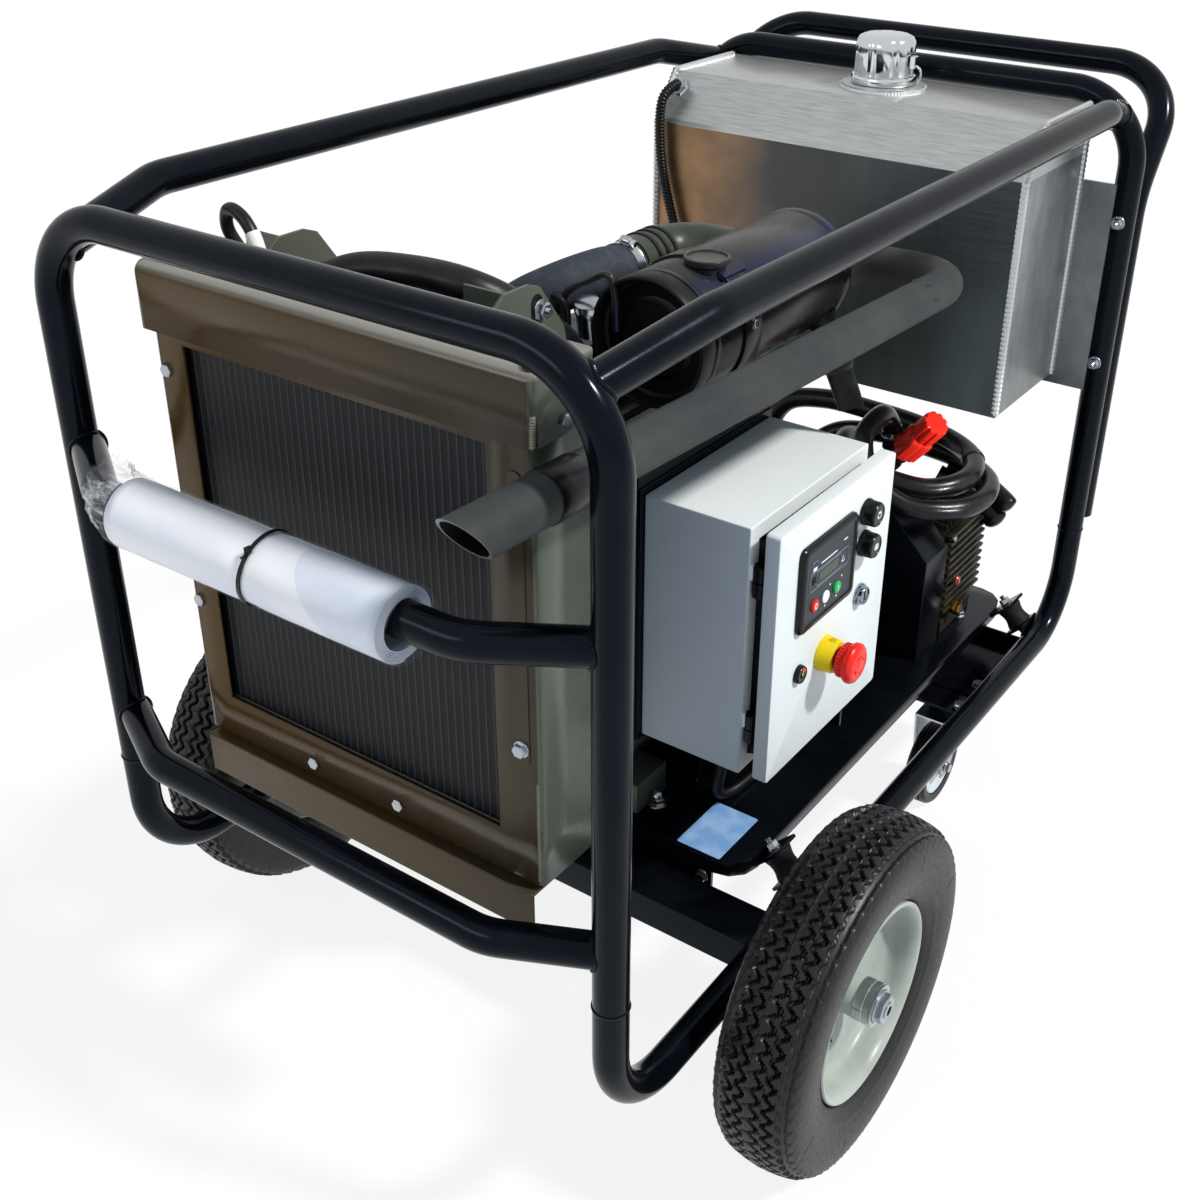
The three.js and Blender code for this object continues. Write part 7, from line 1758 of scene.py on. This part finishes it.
def build_key_and_meter():
    bright = Finish("key_chrome", "chrome", "#8b96a6", 0.12, 1.0)
    bright.worn(60, 2, 0.1, 0.05)
    bright.grain(200, 2, 0.00003, 0.4)
    # One dark finish: painted shade in the keyway slot, and the meter dial's own dark face.
    dark = Finish("keyway_shade_and_dial", "core_black", "#14181f", 0.3).grain(300, 2, 0.00003, 0.4)
    base = DOOR_FACE + 0.3
    y, z = KEY_PLACE
    barrel = turned([(13, 0), (13, 2.6), (12.2, 4), (11, 4.4), (10.6, 7.4), (9.8, 8.4), (8.8, 8.6),
                     (8.2, 7.2), (1, 7.4)], (base, y, z), RIGHT, 72)
    slot = brick((base + 7.3, y - 1.3, z - 6), (base + 7.9, y + 1.3, z + 6))
    made = piece("key_barrel", [([barrel], bright), ([slot], dark)], "key", crease=30)
    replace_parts(made, "key_switch")
    y, z = METER_PLACE
    centre = (DOOR_FACE, y, z)
    meter = turned([(10.4, 0), (10.4, 3), (10, 5.2), (9.2, 6.2), (8.4, 5.4)], centre, RIGHT, 60)
    dial = turned([(9, 5.3), (4, 5.4), (0.5, 5.4)], centre, RIGHT, 60, capped=False)
    piece("hour_meter", [([meter], GLOSS), ([dial], dark)], "door")
    span = np.linspace(0.2, 1.5, 8)
    sector = np.concatenate([circle(0, y, z, 5.2, span), circle(0, y, z, 8, span[::-1])])[:, 1:]
    piece("meter_red", [([slab(sector, 0, DOOR_FACE + 5.4, DOOR_FACE + 5.7)], RED)], "door")
    needle = slab([(394, 494), (396, 494), (398.5, 500), (394.6, 496.4)], 0, DOOR_FACE + 5.5, DOOR_FACE + 5.9)
    piece("meter_needle", [([needle], YELLOW)], "door")


build_box()
build_door()
build_controller()
build_buttons()
build_stop_switch()
build_socket_caps()
build_key_and_meter()


# ---------------------------------------------------------------- belt guard and drive
# A folded sheet guard in gloss black, bolted beside the pump, over two grooved steel pulleys
# and a ribbed rubber belt from the engine to the pump.
def build_drive():
    softened("belt_guard", BLACK, 1.8, 3)
    softened("drive_pulley", ZINC, 0.8)
    softened("pump_pulley", ZINC, 0.8)
    softened("drive_belt", TYRE, 0.8)
    piece("guard_bolt", [(bolt((90, 849.9, 300), FORWARD, 8, 3), ZINC)])


# ---------------------------------------------------------------- pump
# A triplex pump: a finned, cast crankcase in dark bronze-black, a cast head block with brass
# valve caps, the unloader beside it, and a red knob on top that sets the pressure.
KNOB_SEAT, KNOB_AXIS = np.array([146, 960, 530.0]), unit((0.62, -0.2, 0.76))
OIL_PLUG = (222, 957, 286)


def build_pump():
    cast = Finish("pump_casting", "aluminium", "#2c2b25", 0.42, 0.6)
    cast.clouded((30, 4, 0.6), (0.35, 0.75), "#24231f", "#3d3a2f")
    cast.worn(120, 3, 0.25, 0.32)
    cast.grain(500, 3, 0.00015, 0.5)
    case = [brick((93, 925, 262), (207, 1040, 412)), brick((85, 933, 250.4), (215, 1032, 271)),
            brick((87, 929, 284), (213, 1036, 396))]
    case += [brick((150, 926, z - 2.2), (220, 1046, z + 2.2)) for z in np.linspace(290, 408, 11)]
    case += [brick((100, y - 1.6, 410), (206, y + 1.6, 420)) for y in np.linspace(938, 1030, 8)]
    manifold = [brick((14, 931, 290), (88, 1034, 380)), brick((26, 968, 375), (66, 1002, 453))]
    stem = turned([(13, -118), (13, -60), (11, -58), (11, -50), (13, -48), (13, -2), (10, 0)],
                  KNOB_SEAT - KNOB_AXIS * 11.3, KNOB_AXIS, 40)
    spigots = [stem, turned([(9, -45), (9, 0)], (92, 977, 500), UP, 32),
               turned([(11, 0), (11, -18)], (0, 982, 335), LEFT, 32)]
    made = piece("pump_case", [(case + manifold, cast), (spigots, cast)], bevel=1.0)
    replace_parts(made, "pump")
    brass = Finish("brass", "aluminium", "#a87a2c", 0.28, 1.0)
    brass.clouded((150, 3), (0.35, 0.7), "#8d6422", "#c39640")
    brass.grain(500, 2, 0.00006, 0.5)
    plugs = [turned([(9, -6), (9.6, 2), (9, 4)], OIL_PLUG, RIGHT, 40),
             six_sided([(8, 4), (8, 9), (6.8, 10)], OIL_PLUG, RIGHT)]
    for k in range(3):
        plugs.append(six_sided([(14.4, 0), (14.4, 16), (12, 19)], (48, 949 + 34 * k, 374), UP))
        plugs.append(six_sided([(14.4, 0), (14.4, 12), (12, 15)], (14.4, 949 + 34 * k, 335), LEFT))
    piece("brass_plugs", [(plugs, brass)])
    sight_look = Finish("sight_glass", "red_plastic", "#8a2b1c", 0.15).grain(300, 2, 0.00004, 0.4)
    glass = [turned([(7, 0), (7.4, 2), (6, 4), (1, 4.6)], (224, 947, 335), RIGHT, 32)]
    piece("sight_plug", [(glass, sight_look)])
    steel = bolt((214, 936, 404), RIGHT, 8, 5) + bolt((180, 967, 420), UP, 12, 6)
    piece("pump_bolts", [(steel, ZINC)])


def lobed(angle):
    """The grip's radius: full, with ten narrow grooves."""
    return 1 - 0.13 * np.clip(1.4 * np.abs(np.sin(5 * angle)) ** 8, 0, 1)


def squared(angle):
    """The skirt's radius: round with four soft corners."""
    return 1 + 0.12 * np.cos(4 * angle) ** 3


def build_knob():
    red = moulding("knob_red", "red_plastic", "#ff3424", 0.26, "#f02c1e")
    grip = turned([(15.4, -1), (18.2, 1), (18.8, 4), (19, 30), (18.2, 33), (16, 34), (8, 33.4), (2, 33.2)],
                  KNOB_SEAT, KNOB_AXIS, 160, lobed)
    skirt = turned([(16, -46), (18.6, -45.4), (19.4, -10.4), (19, -4), (16.8, 0), (15, 1)],
                   KNOB_SEAT, KNOB_AXIS, 64, squared)
    made = piece("knob_body", [([grip, skirt], red)], "pressure_knob", crease=35)
    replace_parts(made, "unloader_knob")
    side = unit(np.cross(KNOB_AXIS, UP))
    out = unit(side * 0.75 - np.cross(side, KNOB_AXIS) * 0.45)
    # A near-black disc is painted shade in the knob's pin hole.
    dark = Finish("knob_hole_shade", "core_black", "#050506", 0.8).grain(300, 2, 0.00003, 0.4)
    hole = turned([(2, 0), (0.2, 0.1)], KNOB_SEAT - KNOB_AXIS * 5 + out * 18.6, out, 20)
    piece("knob_pin_hole_shade", [([hole], dark)], "pressure_knob")


# ---------------------------------------------------------------- hoses
# Two glossy high-pressure hoses side by side round the pump, strapped together, with
# crimped ferrules on their ends.
PRESSURE_RADIUS, BYPASS_RADIUS = 14.6, 14.0


def build_hoses():
    gloss = hose_black("hose_gloss", 0.2)
    pressure = [(-150, 1050, 290.3), (-150, 1050, 320), (-148, 1056, 420), (-122, 1064, 476),
                (-60, 1070, 494), (20, 1072, 494), (90, 1068, 492), (152, 1054, 488), (196, 1022, 486),
                (216, 975, 486), (212, 930, 486), (186, 894, 486), (146, 874, 494), (104, 870, 502),
                (66, 890, 510), (46, 934, 510), (46, 979, 490), (46, 985, 471), (46, 985, 453.3)]
    bypass = [(-0.3, 982, 335), (-20, 982, 335), (-72, 996, 352), (-84, 1040, 400), (-40, 1070, 446),
              (30, 1076, 460), (100, 1074, 460), (170, 1056, 462), (222, 1018, 464), (244, 966, 467),
              (240, 912, 469), (214, 872, 472), (176, 846, 480), (130, 842, 506), (96, 880, 540),
              (92, 942, 552), (92, 977, 520), (92, 977, 500.3)]
    for name, route, radius in (("pressure_hose", pressure, PRESSURE_RADIUS),
                                ("bypass_hose", bypass, BYPASS_RADIUS)):
        made = piece(name + "_tube", [([tube(smooth_path(route, 260), radius, 36)], gloss)])
        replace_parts(made, name)
    ends = []
    for (x, y, z), axis, r in (((-150, 1050, 290.3), UP, 13), ((46, 985, 453.3), UP, 13),
                               ((92, 977, 500.3), UP, 12), ((-0.3, 982, 335), LEFT, 12)):
        ferrule = [(r * 0.7, 0), (r * 1.02, 0.5), (r * 1.12, 2), (r * 1.12, 8), (r * 1.04, 9),
                   (r * 1.12, 10), (r * 1.12, 16), (r * 1.04, 17), (r * 1.12, 18), (r * 1.12, 25),
                   (r * 1.0, 27)]
        ends.append(turned(ferrule, (x, y, z), axis, 40))
        ends.append(six_sided([(r * 0.95, -8), (r * 0.95, 0.4)], (x, y, z), axis))
    piece("hose_ferrules", [(ends, ZINC)])
    straps = [turned([(15.2, -5), (16, -4), (16, 4), (15.2, 5)], (200, 1016, 486), (0.6, -0.8, 0), 48)]
    piece("hose_strap", [(straps, HOSE_BLACK)])
    tails = []
    taper = np.sqrt(1 - np.linspace(0, 0.97, 8) ** 2)
    for route, radius in (([(150, 1062, 446), (196, 1062, 436), (236, 1054, 420), (250, 1050, 411)], 15),
                          ([(140, 1040, 436), (186, 1050, 418), (222, 1052, 396), (238, 1050, 384)], 17)):
        line = smooth_path(route, 40)
        shape = np.concatenate([np.full(32, 1.0), taper])
        tails.append(tube(line, radius * shape, 32))
    piece("hose_tails", [(tails, gloss)])
    outlet = [six_sided([(14, -40), (14, 0)], (-150, 1050, 290), UP)]
    piece("tray_outlet", [(outlet, ZINC)])


build_drive()
build_pump()
build_knob()
build_hoses()
